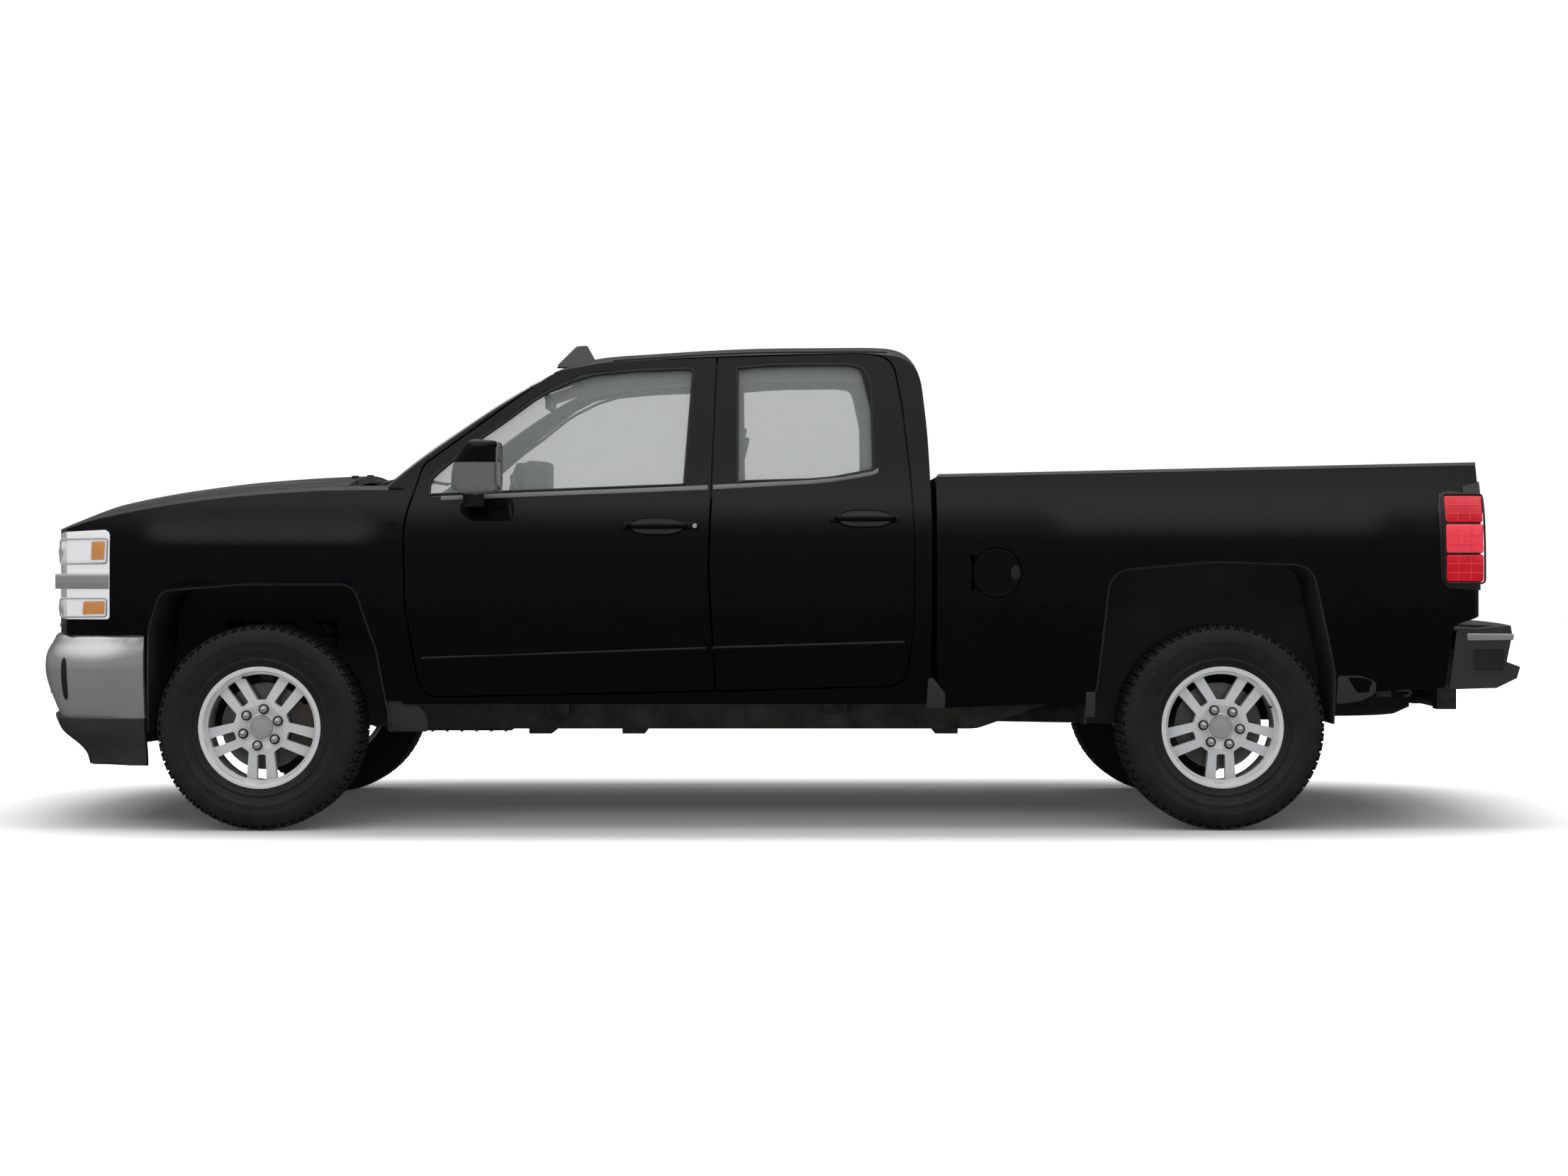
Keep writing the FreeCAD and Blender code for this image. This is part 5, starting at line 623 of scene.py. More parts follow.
def body_side(side):
    """Return a placing function for a plate on the body's curved side."""
    return lambda u, v, w: side_point(u, v, side, w)


def side_panel(name, side, outline, material, proud=0.004, sunk=0.004, radius=0.0015, segments=2):
    """Lay a flat-edged panel with a given outline of (x, z) on the body's side."""
    return plate(name, outline, (-sunk, proud), body_side(side), material, radius, segments)


def merge(name, things, material, angle):
    """Join finished objects of one material into one mesh and drop the single ones."""
    shape = bmesh.new()
    for thing in things:
        shape.from_mesh(thing.data)
        bpy.data.objects.remove(thing)
    mesh = bpy.data.meshes.new(name)
    shape.to_mesh(mesh)
    shape.free()
    return new_object(name, mesh, material, angle)


# Repeated shapes

def shift_copies(tree, source, shift, local):
    """Move copies in a node tree, each in its own turned frame if local. Return their socket."""
    node = put(tree, "GeometryNodeTranslateInstances", in_Local_Space=local)
    tree.links.new(source, node.inputs["Instances"])
    tree.links.new(shift, node.inputs["Translation"])
    return node.outputs[0]


def build_copies_tree(in_ring):
    """Make a node tree that sets copies of a shape in a ring about Y or in a row."""
    tree = bpy.data.node_groups.new("Ring of copies" if in_ring else "Row of copies", "GeometryNodeTree")
    group_socket(tree, "Geometry", "INPUT", "Geometry")
    count = group_socket(tree, "Count", "INPUT", "Int", 6)
    centre = group_socket(tree, "Centre", "INPUT", "Vector")
    step = group_socket(tree, "Step", "INPUT", "Vector")
    first = group_socket(tree, "First turn", "INPUT", "Float")
    cover = group_socket(tree, "Material", "INPUT", "Material")
    group_socket(tree, "Geometry", "OUTPUT", "Geometry")
    given, result = tree.nodes.new("NodeGroupInput"), tree.nodes.new("NodeGroupOutput")
    link = tree.links.new
    points = tree.nodes.new("GeometryNodePoints")
    link(given.outputs["Count"], points.inputs["Count"])
    copies = tree.nodes.new("GeometryNodeInstanceOnPoints")
    link(points.outputs[0], copies.inputs["Points"])
    link(given.outputs["Geometry"], copies.inputs["Instance"])
    index = tree.nodes.new("GeometryNodeInputIndex").outputs[0]
    if in_ring:
        share = calculate(tree, "DIVIDE", index, given.outputs["Count"])
        bearing = calculate(tree, "MULTIPLY_ADD", share, math.tau, given.outputs["First turn"])
        turn = tree.nodes.new("ShaderNodeCombineXYZ")
        link(bearing, turn.inputs["Y"])
        link(turn.outputs[0], copies.inputs["Rotation"])
        placed = shift_copies(tree, copies.outputs[0], given.outputs["Step"], True)
        shift = given.outputs["Centre"]
    else:
        placed = copies.outputs[0]
        scale = put(tree, "ShaderNodeVectorMath", operation="SCALE")
        link(given.outputs["Step"], scale.inputs[0])
        link(index, scale.inputs["Scale"])
        total = put(tree, "ShaderNodeVectorMath", operation="ADD")
        link(scale.outputs[0], total.inputs[0])
        link(given.outputs["Centre"], total.inputs[1])
        shift = total.outputs[0]
    real = tree.nodes.new("GeometryNodeRealizeInstances")
    link(shift_copies(tree, placed, shift, False), real.inputs[0])
    painted = tree.nodes.new("GeometryNodeSetMaterial")
    link(real.outputs[0], painted.inputs["Geometry"])
    link(given.outputs["Material"], painted.inputs["Material"])
    link(painted.outputs[0], result.inputs[0])
    return tree, {"count": count.identifier, "centre": centre.identifier, "step": step.identifier,
        "first": first.identifier, "material": cover.identifier}


RING, ROW = build_copies_tree(True), build_copies_tree(False)


def copies(name, seed, plan, count, centre, step, material, first=0.0):
    """Replace a seed object by copies of it; the plan is RING or ROW."""
    tree, sockets = plan
    modifier = seed.modifiers.new("copies", "NODES")
    modifier.node_group = tree
    modifier[sockets["count"]] = count
    modifier[sockets["centre"]] = tuple(centre)
    modifier[sockets["step"]] = tuple(step)
    modifier[sockets["first"]] = first
    modifier[sockets["material"]] = material
    bpy.context.view_layer.update()
    whole = seed.evaluated_get(bpy.context.evaluated_depsgraph_get())
    mesh = bpy.data.meshes.new_from_object(whole)
    bpy.data.objects.remove(seed)
    return new_object(name, mesh, material)


def hit(tree, start, direction, far=3.0):
    """Return where a ray meets a solid piece, or None."""
    return tree.ray_cast(Vector(start), Vector(direction).normalized(), far)[0]


def tree_of(name):
    """Return a search tree over a solid piece's mesh."""
    shape = bmesh.new()
    shape.from_mesh(NODES[name].data)
    tree = BVHTree.FromBMesh(shape)
    shape.free()
    return tree


# Finish of the solid model's own pieces

NODE_FINISH = {"cab": PAINT, "hood": PAINT, "fenders": PAINT, "bedsides": PAINT, "tailgate": PAINT,
    "fuel_door": PAINT, "front_left_door": PAINT, "front_right_door": PAINT, "rear_left_door": PAINT,
    "rear_right_door": PAINT, "windows": GLASS, "front_left_glass": GLASS, "front_right_glass": GLASS,
    "rear_left_glass": GLASS, "rear_right_glass": GLASS, "left_mirror": CASE, "right_mirror": CASE,
    "wheel_liners": LINER, "rear_wheel_liners": LINER, "headlamps": LAMP_WHITE, "grille": CHROME,
    "front_bumper": CHROME, "front_valance": PLASTIC, "rear_bumper": PLASTIC, "bed": BED_LINER, "bed_rails": RAIL,
    "tail_lamps": LAMP_BLACK, "frame": STEEL, "engine": BLOCK, "driveshaft": STEEL, "exhaust": TUBE,
    "fuel_tank": PLASTIC, "radiator": ALUMINIUM, "front_suspension": STEEL, "rear_axle": STEEL, "spare_wheel": TYRE,
    "dashboard": CABIN, "steering_wheel": LEATHER, "front_seats": CLOTH_SIDE, "rear_bench": CLOTH_SIDE,
    "left_knuckle": CAST, "right_knuckle": CAST,}
for node_name, node in NODES.items():
    cover = NODE_FINISH.get(node_name, TYRE if node_name.endswith("tyre") else ALLOY)
    node.data.materials.clear()
    node.data.materials.append(cover)
    node.data.shade_smooth()
    node.data.set_sharp_from_angle(angle=math.radians(28.0))


def ride(body, *things):
    """Let pieces move with a body of the solid model."""
    for thing in things:
        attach(thing, body)


# Wheels

# Half of a tyre's section as (along, radius) points, bead to tread
TYRE_HALF = [(0.1, 0.2315), (0.108, 0.232), (0.1125, 0.239), (0.1135, 0.247), (0.1195, 0.252), (0.121, 0.258),
    (0.118, 0.264), (0.1225, 0.278), (0.1262, 0.293), (0.127, 0.294), (0.1266, 0.296), (0.1295, 0.312),
    (0.1308, 0.327), (0.1316, 0.328), (0.1312, 0.33), (0.129, 0.345), (0.1262, 0.356), (0.121, 0.367), (0.114, 0.375),
    (0.105, 0.3795), (0.08, 0.381), (0.0, 0.382)]
TYRE_INSIDE = [(0.0, 0.37), (0.1, 0.366), (0.118, 0.33), (0.108, 0.26), (0.098, 0.242)]
TREAD_PITCHES, SIDEWALL_RIBS = 64, 150
LUG_CIRCLE = 0.06985


def wheel_centre(which, side):
    """Return the middle of a road wheel."""
    return Vector((FRONT_AXLE if which == "front" else REAR_AXLE, side * WHEEL_Y[which], WHEEL_Z))


def add_block(shape, corners):
    """Add a six-sided block; its corners run bottom first, two by two."""
    points = [shape.verts.new(corner) for corner in corners]
    for face in ((0, 1, 3, 2), (4, 6, 7, 5), (0, 4, 5, 1), (2, 3, 7, 6), (0, 2, 6, 4), (1, 5, 7, 3)):
        shape.faces.new([points[index] for index in face])


def tread_pitch(name):
    """Model one pitch of the tread: five blocks with slanted edges and sipes."""
    shape = bmesh.new()
    pitch = math.tau * 0.385 / TREAD_PITCHES
    rows = [(-0.119, -0.082, 0.0016, 0.8), (-0.074, -0.033, -0.002, 0.82), (-0.026, 0.026, 0.0, 0.9),
        (0.033, 0.074, 0.002, 0.82), (0.082, 0.119, -0.0016, 0.8)]
    for low, high, slant, fill in rows:
        for part, half in ((-1, 0.5), (1, 0.5)):
            start = (0 if part > 0 else -1) * pitch * fill * half + (0.0005 if part > 0 else 0.0)
            stop = start + pitch * fill * half - 0.0005
            corners = []
            for level in (0.379, 0.3895):
                shrink = 0.0 if level < 0.385 else 0.0008
                for y, shift in ((low, -slant), (high, slant)):
                    shoulder = 0.006 if abs(y) > 0.1 and level > 0.385 else 0.0
                    for x in (start + shrink, stop - shrink):
                        inward = shrink if y == low else -shrink
                        corners.append(Vector((x + shift, y + inward, level - shoulder)))
            add_block(shape, corners)
    for side in (LEFT, RIGHT):
        add_block(shape, [(x, side * y, z) for start, stop, y,
            z in ((-0.01, 0.006, 0.1165, 0.381), (-0.007, 0.003, 0.1262, 0.36), (-0.01, 0.006, 0.109, 0.376),
            (-0.007, 0.003, 0.1225, 0.359)) for x in (start, stop)])
    return from_shape(name, shape, TYRE, 20.0)


def sidewall_rib(name, side):
    """Model one short rib of the sidewall's grip ring."""
    shape = bmesh.new()
    bmesh.ops.create_cube(shape, size=1.0)
    for corner in shape.verts:
        corner.co = Vector((corner.co.x * 0.0016, side * (0.1275 + corner.co.y * 0.003),
            0.3075 + corner.co.z * 0.014))
    return from_shape(name, shape, TYRE, 20.0)


def model_tyre(which, side, side_name):
    """Model a road tyre: carcass, sidewall ridges and tread blocks."""
    name = which + "_" + side_name
    centre = wheel_centre(which, side)
    profile = (TYRE_HALF + [(-along, radius) for along, radius in TYRE_HALF[-2::-1] + TYRE_INSIDE[::-1]] +
        TYRE_INSIDE[1:])
    carcass = lathe(name + "_carcass", profile, centre, (0, 1, 0), TYRE, 96, 30.0)
    tread = copies(name + "_tread", tread_pitch(name + "_pitch"), RING, TREAD_PITCHES, centre, (0, 0, 0), TYRE)
    ribs = [copies(name + "_rib_" + str(way), sidewall_rib(name + "_seed", way), RING, SIDEWALL_RIBS, centre,
        (0, 0, 0), TYRE) for way in (-1, 1)]
    tyre = merge(name + "_road_tyre", [carcass, tread] + ribs, TYRE, 30.0)
    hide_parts(name + "_tyre")
    ride(name + "_wheel", tyre)


def lug_nut(name, side):
    """Model a chromed nut with a flange, six flats and a domed end."""
    loops = []
    for along, radius, six_flats in ((0.0, 0.0135, False), (0.003, 0.0135, False), (0.004, 0.0118, True),
            (0.019, 0.0118, True), (0.0215, 0.01, False), (0.0245, 0.0072, False), (0.0262, 0.0035, False),
            (0.0266, 0.0008, False)):
        ring = []
        for angle in bearings(24):
            reach = radius
            if six_flats:
                reach = radius * math.cos(math.pi / 6) / math.cos((angle % (math.tau / 6)) - math.pi / 6)
            ring.append(Vector((math.cos(angle) * reach, side * along, math.sin(angle) * reach)))
        loops.append(ring)
    return loft(name, loops, CHROME)


def model_wheel(which, side, side_name):
    """Model what a road wheel carries: nuts, centre cap, rim edges, valve, brake disc and weights."""
    name = which + "_" + side_name
    centre = wheel_centre(which, side)
    out = Vector((0, side, 0))
    first = math.radians(80 if which == "front" else -6)
    rim_tree = tree_of(name + "_rim")
    ray = Vector((math.cos(first), 0, math.sin(first)))
    face = abs(hit(rim_tree, centre + ray * LUG_CIRCLE + out * 0.5, -out).y) - WHEEL_Y[which]
    pocket = lathe(name + "_pocket", [(-0.002, 0.0), (-0.002, 0.0195), (0.0012, 0.0195), (0.0016, 0.0185),
        (0.0012, 0.017), (0.0008, 0.0)], (0, 0, 0), out, RUBBER_TRIM, 28)
    pockets = copies(name + "_pockets", pocket, RING, 6, centre + out * face, (0, 0, LUG_CIRCLE), RUBBER_TRIM,
        -first + math.pi / 2)
    nuts = copies(name + "_nuts", lug_nut(name + "_nut", side), RING, 6, centre + out * (face + 0.0006),
        (0, 0, LUG_CIRCLE), CHROME, -first + math.pi / 2)
    cap = lathe(name + "_cap", [(0.052, 0.0), (0.052, 0.0425), (0.0765, 0.042), (0.0795, 0.0395), (0.08, 0.036),
        (0.0786, 0.0345), (0.0786, 0.0325), (0.0806, 0.0305), (0.0826, 0.015), (0.083, 0.0)], centre, out, SATIN, 64)
    collar = lathe(name + "_collar", [(0.056, 0.044), (0.0665, 0.044), (0.068, 0.046), (0.0665, 0.052),
        (0.064, 0.054), (0.056, 0.054)], centre, out, ALLOY, 64)
    lip = lathe(name + "_lip", [(0.101, 0.2125), (0.1105, 0.215), (0.1128, 0.222), (0.113, 0.2305), (0.111, 0.2318),
        (0.1095, 0.2305), (0.108, 0.223), (0.101, 0.218)], centre, out, ALLOY, 96)
    step = lathe(name + "_step", [(0.07, 0.201), (0.0745, 0.2025), (0.076, 0.2105), (0.07, 0.2105)], centre, out,
        ALLOY, 96)
    valve_place = centre + out * 0.085 + Vector((math.cos(first + 0.5), 0, math.sin(first + 0.5))) * 0.199
    valve = lathe(name + "_valve", [(-0.012, 0.0), (-0.012, 0.0052), (0.004, 0.0048), (0.006, 0.0036),
        (0.016, 0.0036), (0.017, 0.0042), (0.024, 0.0042), (0.0252, 0.003), (0.0252, 0.0)], valve_place, out,
        RUBBER_TRIM, 16)
    offset = -0.006
    disc = lathe(name + "_disc", [(offset + 0.0006, 0.0935), (offset + 0.0006, 0.164), (offset, 0.1656),
        (offset - 0.028, 0.1656), (offset - 0.0286, 0.164), (offset - 0.0286, 0.0935), (offset - 0.0275, 0.0935),
        (offset - 0.0275, 0.1645), (offset - 0.0005, 0.1645), (offset - 0.0005, 0.0935)], centre, out, DISC, 72)
    weights = []
    for index in range(2):
        weight = rounded_box(name + "_weight_" + str(index), (-0.018, 0.018), (-0.01, 0.01), (-0.0022, 0.0022), SATIN,
            0.0018, 2)
        turn = Matrix.Rotation(2.1 + index * 0.2 + first, 4, "Y")
        weight.data.transform(Matrix.Translation(centre + out * 0.02) @ turn @ Matrix.Translation((0, 0, 0.2075)))
        weights.append(weight)
    ride(name + "_wheel", nuts, pockets, cap, collar, lip, step, valve, disc, *weights)


for wheel_side, wheel_side_name in SIDES:
    for wheel_place in ("front", "rear"):
        model_tyre(wheel_place, wheel_side, wheel_side_name)
        model_wheel(wheel_place, wheel_side, wheel_side_name)


# Side trim

def door_of(side_name, which):
    """Return the name of a door's body."""
    return which + "_" + side_name + "_door"


def model_mouldings(side, side_name):
    """Model the protective mouldings on the doors."""
    for which, start, end, low_start, low_end, high_start, high_end in (("front", -1.333, -0.24, 0.631, 0.67, 0.657,
            0.696), ("rear", -0.228, 0.507, 0.671, 0.693, 0.697, 0.719)):
        places = []
        for share in (0.0, 0.004, 0.01, 0.02, 0.15, 0.3, 0.45, 0.6, 0.75, 0.9, 0.98, 0.99, 0.996, 1.0):
            shrink = 0.42 * max(0.0, 1 - min(share, 1 - share) / 0.01) ** 2 * (high_start - low_start)
            places.append((start + (end - start) * share, low_start + (low_end - low_start) * share + shrink,
                high_start + (high_end - high_start) * share - shrink))
        ride(door_of(side_name, which), side_band(side_name + "_" + which + "_moulding", side, places, PAINT, 0.008))


WINDOW = {"front": [(-1.299, 1.272), (-1.301, 1.3), (-1.297, 1.33), (-1.26, 1.367), (-1.196, 1.422), (-1.113, 1.49),
    (-1.018, 1.558), (-0.916, 1.637), (-0.868, 1.667), (-0.772, 1.713), (-0.677, 1.741), (-0.513, 1.756),
    (-0.385, 1.761), (-0.318, 1.763), (-0.301, 1.756), (-0.331, 1.31)], "rear": [(-0.134, 1.765), (-0.132, 1.317),
    (-0.103, 1.323), (0.152, 1.33), (0.279, 1.342), (0.39, 1.365), (0.389, 1.496), (0.385, 1.644), (0.379, 1.714),
    (0.368, 1.74), (0.352, 1.763), (0.317, 1.776), (0.274, 1.78), (-0.001, 1.778)],}
BELT_LINE = {"front": [(-1.254, 1.251), (-0.88, 1.267), (-0.504, 1.281), (-0.242, 1.292)],
    "rear": [(-0.222, 1.293), (0.024, 1.307), (0.152, 1.314), (0.237, 1.323), (0.321, 1.336), (0.39, 1.348),
    (0.408, 1.358)],}


def model_window_trim(side, side_name):
    """Model the rubber round the side windows and the belt trim under them."""
    for which in ("front", "rear"):
        seal = side_cord(side_name + "_" + which + "_seal", side, WINDOW[which], 0.0062, RUBBER_TRIM, -0.0015, 150)
        line = along_line(BELT_LINE[which], 26)
        places = [(x, z - 0.001, z + 0.017) for x, z in line]
        belt = side_band(side_name + "_" + which + "_belt_trim", side, places, CASE, 0.0045, 0.004)
        ride(door_of(side_name, which), seal, belt)


def model_handle(side, side_name, which, middle, height, key):
    """Model a door handle: dished cup, grip with two feet and, at the front, the lock."""
    name = side_name + "_" + which + "_handle"
    half = 0.118
    grip_loops = []
    for share in spread(-1.0, 1.0, 19):
        reach = 0.044 * max(0.0, 1 - abs(share) ** 6) + 0.004
        tall = 0.0135 - 0.0035 * share * share
        x = middle + share * half
        centre = side_point(x, height, side, reach * 0.82)
        grip_loops.append([centre + Vector((0, side * math.cos(angle) * 0.0075, math.sin(angle) * tall)) for angle in
            bearings(14)])
    grip = loft(name + "_grip", grip_loops, PAINT)
    cup_outline = oval((middle, height), half * 0.86, 0.033, 40, 2.6)
    rim = side_cord(name + "_cup_rim", side, cup_outline, 0.0028, PAINT, 0.0008, 80)
    dish = []
    for share, sunk in ((1.0, 0.0012), (0.95, 0.0004), (0.6, 0.0006), (0.25, 0.0008), (0.02, 0.0009)):
        dish.append([side_point(middle + (x - middle) * share, height + (z - height) * share, side, sunk) for x,
            z in cup_outline])
    dish = [[point - Vector((0, side * 0.003, 0)) for point in dish[0]]] + dish
    cup = loft(name + "_cup", dish, PLASTIC)
    feet = []
    for sign in (-1, 1):
        x = middle + sign * (half - 0.006)
        feet.append(side_panel(name + "_foot_" + ("rear" if sign > 0 else "front"), side,
            oval((x, height), 0.02, 0.015, 20, 2.8), PAINT, 0.01, 0.004, 0.004, 3))
    if key:
        x = middle + half + 0.024
        feet.append(side_panel(name + "_lock_plate", side, oval((x, height), 0.016, 0.016, 24), PAINT, 0.005, 0.004,
            0.002))
        feet.append(lathe(name + "_lock", [(0.0, 0.0), (0.0, 0.0085), (0.0062, 0.0085), (0.007, 0.0078),
            (0.007, 0.002), (0.005, 0.0016), (0.005, 0.0)], side_point(x, height, side), (0, side, 0), SATIN, 24))
    ride(door_of(side_name, which), grip, rim, cup, *feet)


MIRROR_ARM = 1.03
MIRROR_DEPTH = smooth_curve([(1.267, 0.8), (1.276, 0.9), (1.29, 0.98), (1.315, 1.0), (1.36, 0.98), (1.4, 0.92),
    (1.435, 0.84), (1.458, 0.76), (1.473, 0.64)])


def model_mirror(side, side_name):
    """Model a mirror: housing with a gloss cap and a black foot, and the glass in its frame."""
    node = NODES[side_name + "_mirror"]
    name = side_name + "_mirror_"
    shape = bmesh.new()
    shape.from_mesh(node.data)
    bmesh.ops.remove_doubles(shape, verts=shape.verts, dist=0.0001)
    for level in spread(1.272, 1.468, 25) + [1.384, 1.388]:
        bmesh.ops.bisect_plane(shape, geom=shape.verts[:] + shape.edges[:] + shape.faces[:], plane_co=(0, 0, level),
            plane_no=(0, 0, 1))
    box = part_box(side_name + "_mirror")
    rear, outer = box[1].x, max(abs(box[0].y), abs(box[1].y))
    for corner in shape.verts:
        if abs(corner.co.y) > MIRROR_ARM:
            corner.co.x = rear - (rear - corner.co.x) * MIRROR_DEPTH(corner.co.z)
    shape.normal_update()
    for corner in shape.verts:
        if corner.co.z > 1.3875 and abs(corner.co.y) > 1.0:
            corner.co += corner.normal * 0.0016
            corner.co.y = max(-outer, min(outer, corner.co.y))
    housing = from_shape(name + "housing", shape, CASE, 28.0)
    housing.data.materials.append(PAINT)
    housing.data.materials.append(RUBBER_TRIM)
    for face in housing.data.polygons:
        if abs(face.center.y) < MIRROR_ARM or face.center.z < 1.27:
            face.material_index = 2
        elif face.center.z > 1.387:
            face.material_index = 1
    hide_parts(side_name + "_mirror")
    inner, low, high = 1.046, 1.272, 1.468
    middle = side * (inner + outer) / 2
    half_y, half_z = (outer - inner) / 2 - 0.016, (high - low) / 2 - 0.014
    pane = plate(name + "pane", oval((middle, (low + high) / 2), half_y, half_z, 48, 4.2),
        (rear - 0.006, rear + 0.0012), facing_x(0.0), MIRROR, 0.0012)
    frame_line = [Vector((rear - 0.001, y, z)) for y, z in oval((middle, (low + high) / 2), half_y + 0.006,
        half_z + 0.006, 56, 4.4)]
    rim = tube(name + "rim", frame_line, 0.0042, CASE, 8, True)
    ride(door_of(side_name, "front"), housing, pane, rim)


for trim_side, trim_name in SIDES:
    model_mouldings(trim_side, trim_name)
    model_window_trim(trim_side, trim_name)
    model_handle(trim_side, trim_name, "front", -0.432, 1.1535, True)
    model_handle(trim_side, trim_name, "rear", 0.355, 1.182, False)
    model_mirror(trim_side, trim_name)


# Nose: lamps, grille, hood details and wipers

def nose_strip(name, side, places, outline, material):
    """Lay a strip across the bowed nose; its outline is (x behind the nose, z) points."""
    return loft(name, [[(nose_x(y) + x, side * y, z) for x, z in outline] for y in places], material)


def model_headlamp(side, side_name):
    """Model a headlamp: upper and lower bowls, amber markers, bulbs and clear covers."""
    name = side_name + "_lamp_"
    pieces = []
    for label, corners in (("upper", [(-2.578, 1.024), (-2.527, 1.026), (-2.524, 1.095), (-2.576, 1.094)]),
            ("lower", [(-2.612, 0.818), (-2.526, 0.82), (-2.524, 0.868), (-2.608, 0.867)])):
        pieces.append(side_panel(name + label + "_amber", side, rounded_outline(corners, 0.006), AMBER, 0.0035))
    for label, thick, corners in (("upper", 0.0035, [(-2.7, 1.01), (-2.517, 1.012), (-2.514, 1.106), (-2.7, 1.103)]),
            ("lower", 0.0032, [(-2.7, 0.808), (-2.518, 0.81), (-2.516, 0.879), (-2.7, 0.878)])):
        pieces.append(side_cord(name + label + "_bezel", side, rounded_outline(corners, 0.01), thick, CHROME, 0.0005,
            90))
    bar = [(x, 0.915, 0.972) for x in spread(-2.72, -2.508, 12)]
    pieces.append(side_band(name + "side_bar", side, bar, CHROME, 0.0045, 0.004, 0.2))
    for low, high, label in ((1.012, 1.1, "upper"), (0.812, 0.874, "lower")):
        middle = (low + high) / 2
        pieces.append(nose_strip(name + label + "_front_lens", side, spread(0.675, 0.905, 12),
            [(-0.0015, low), (-0.0045, middle), (-0.0015, high), (0.0075, high - 0.002), (0.0075, low + 0.002)],
            CLEAR))
        for place in (0.735, 0.845):
            x = nose_x(place)
            pieces.append(lathe(name + label + "_bowl_" + str(int(place * 1000)),
                [(0.0, 0.037), (-0.01, 0.034), (-0.03, 0.022), (-0.04, 0.008), (-0.042, 0.0), (-0.044, 0.0),
                (-0.043, 0.01), (-0.031, 0.025), (-0.01, 0.037), (0.0, 0.0395)], (x - 0.0005, side * place, middle),
                (-1, 0, 0), REFLECTOR, 40))
            pieces.append(lathe(name + label + "_bulb_" + str(int(place * 1000)),
                [(-0.04, 0.0), (-0.04, 0.007), (-0.028, 0.008), (-0.018, 0.0065), (-0.012, 0.003), (-0.01, 0.0)],
                (x - 0.0005, side * place, middle), (-1, 0, 0), BULB, 20))
    bar = [(0.004, 0.915), (-0.005, 0.918), (-0.007, 0.943), (-0.005, 0.969), (0.004, 0.972)]
    pieces.append(nose_strip(name + "front_bar", side, spread(0.65, 0.915, 14), bar, CHROME))
    for label, corners in (("upper", [(-2.694, 1.016), (-2.58, 1.017), (-2.58, 1.098), (-2.694, 1.097)]),
            ("lower", [(-2.694, 0.814), (-2.616, 0.815), (-2.612, 0.873), (-2.694, 0.872)])):
        pieces.append(side_panel(name + label + "_side_lens", side, rounded_outline(corners, 0.006), CLEAR, 0.003,
            0.001, 0.001))
    ride("root", *pieces)


def model_grille():
    """Model the mesh in the grille's three openings and the bright lines above and below them."""
    pieces = []
    for low, high, label in ((0.79, 0.86, "low"), (0.885, 0.955, "middle"), (0.98, 1.05, "high")):
        for row in range(4):
            z = low + (high - low) * (row + 0.5) / 4
            path = [Vector((nose_x(y) + 0.026, y, z)) for y in spread(-0.6, 0.6, 40)]
            pieces.append(tube("grille_" + label + "_wire_" + str(row), path, 0.0028, PLASTIC, 6))
    slats = rounded_box("slat_seed", (-0.004, 0.004), (-0.0022, 0.0022), (-0.15, 0.15), PLASTIC, 0.0015, 2)
    slats = copies("grille_upright_wires", slats, ROW, 49, (-2.826, -0.6, 0.918), (0.0, 0.025, 0.0), PLASTIC)
    for corner in slats.data.vertices:
        corner.co.x += nose_x(corner.co.y) - nose_x(0.0)
    pieces.append(slats)
    for z in (0.77, 1.077):
        edge = [(0.004, z - 0.01), (-0.003, z - 0.006), (-0.0045, z), (-0.003, z + 0.006), (0.004, z + 0.01)]
        pieces.append(nose_strip("grille_edge_" + str(int(z * 1000)), RIGHT, spread(-0.615, 0.615, 40), edge, CHROME))
    ride("root", *pieces)


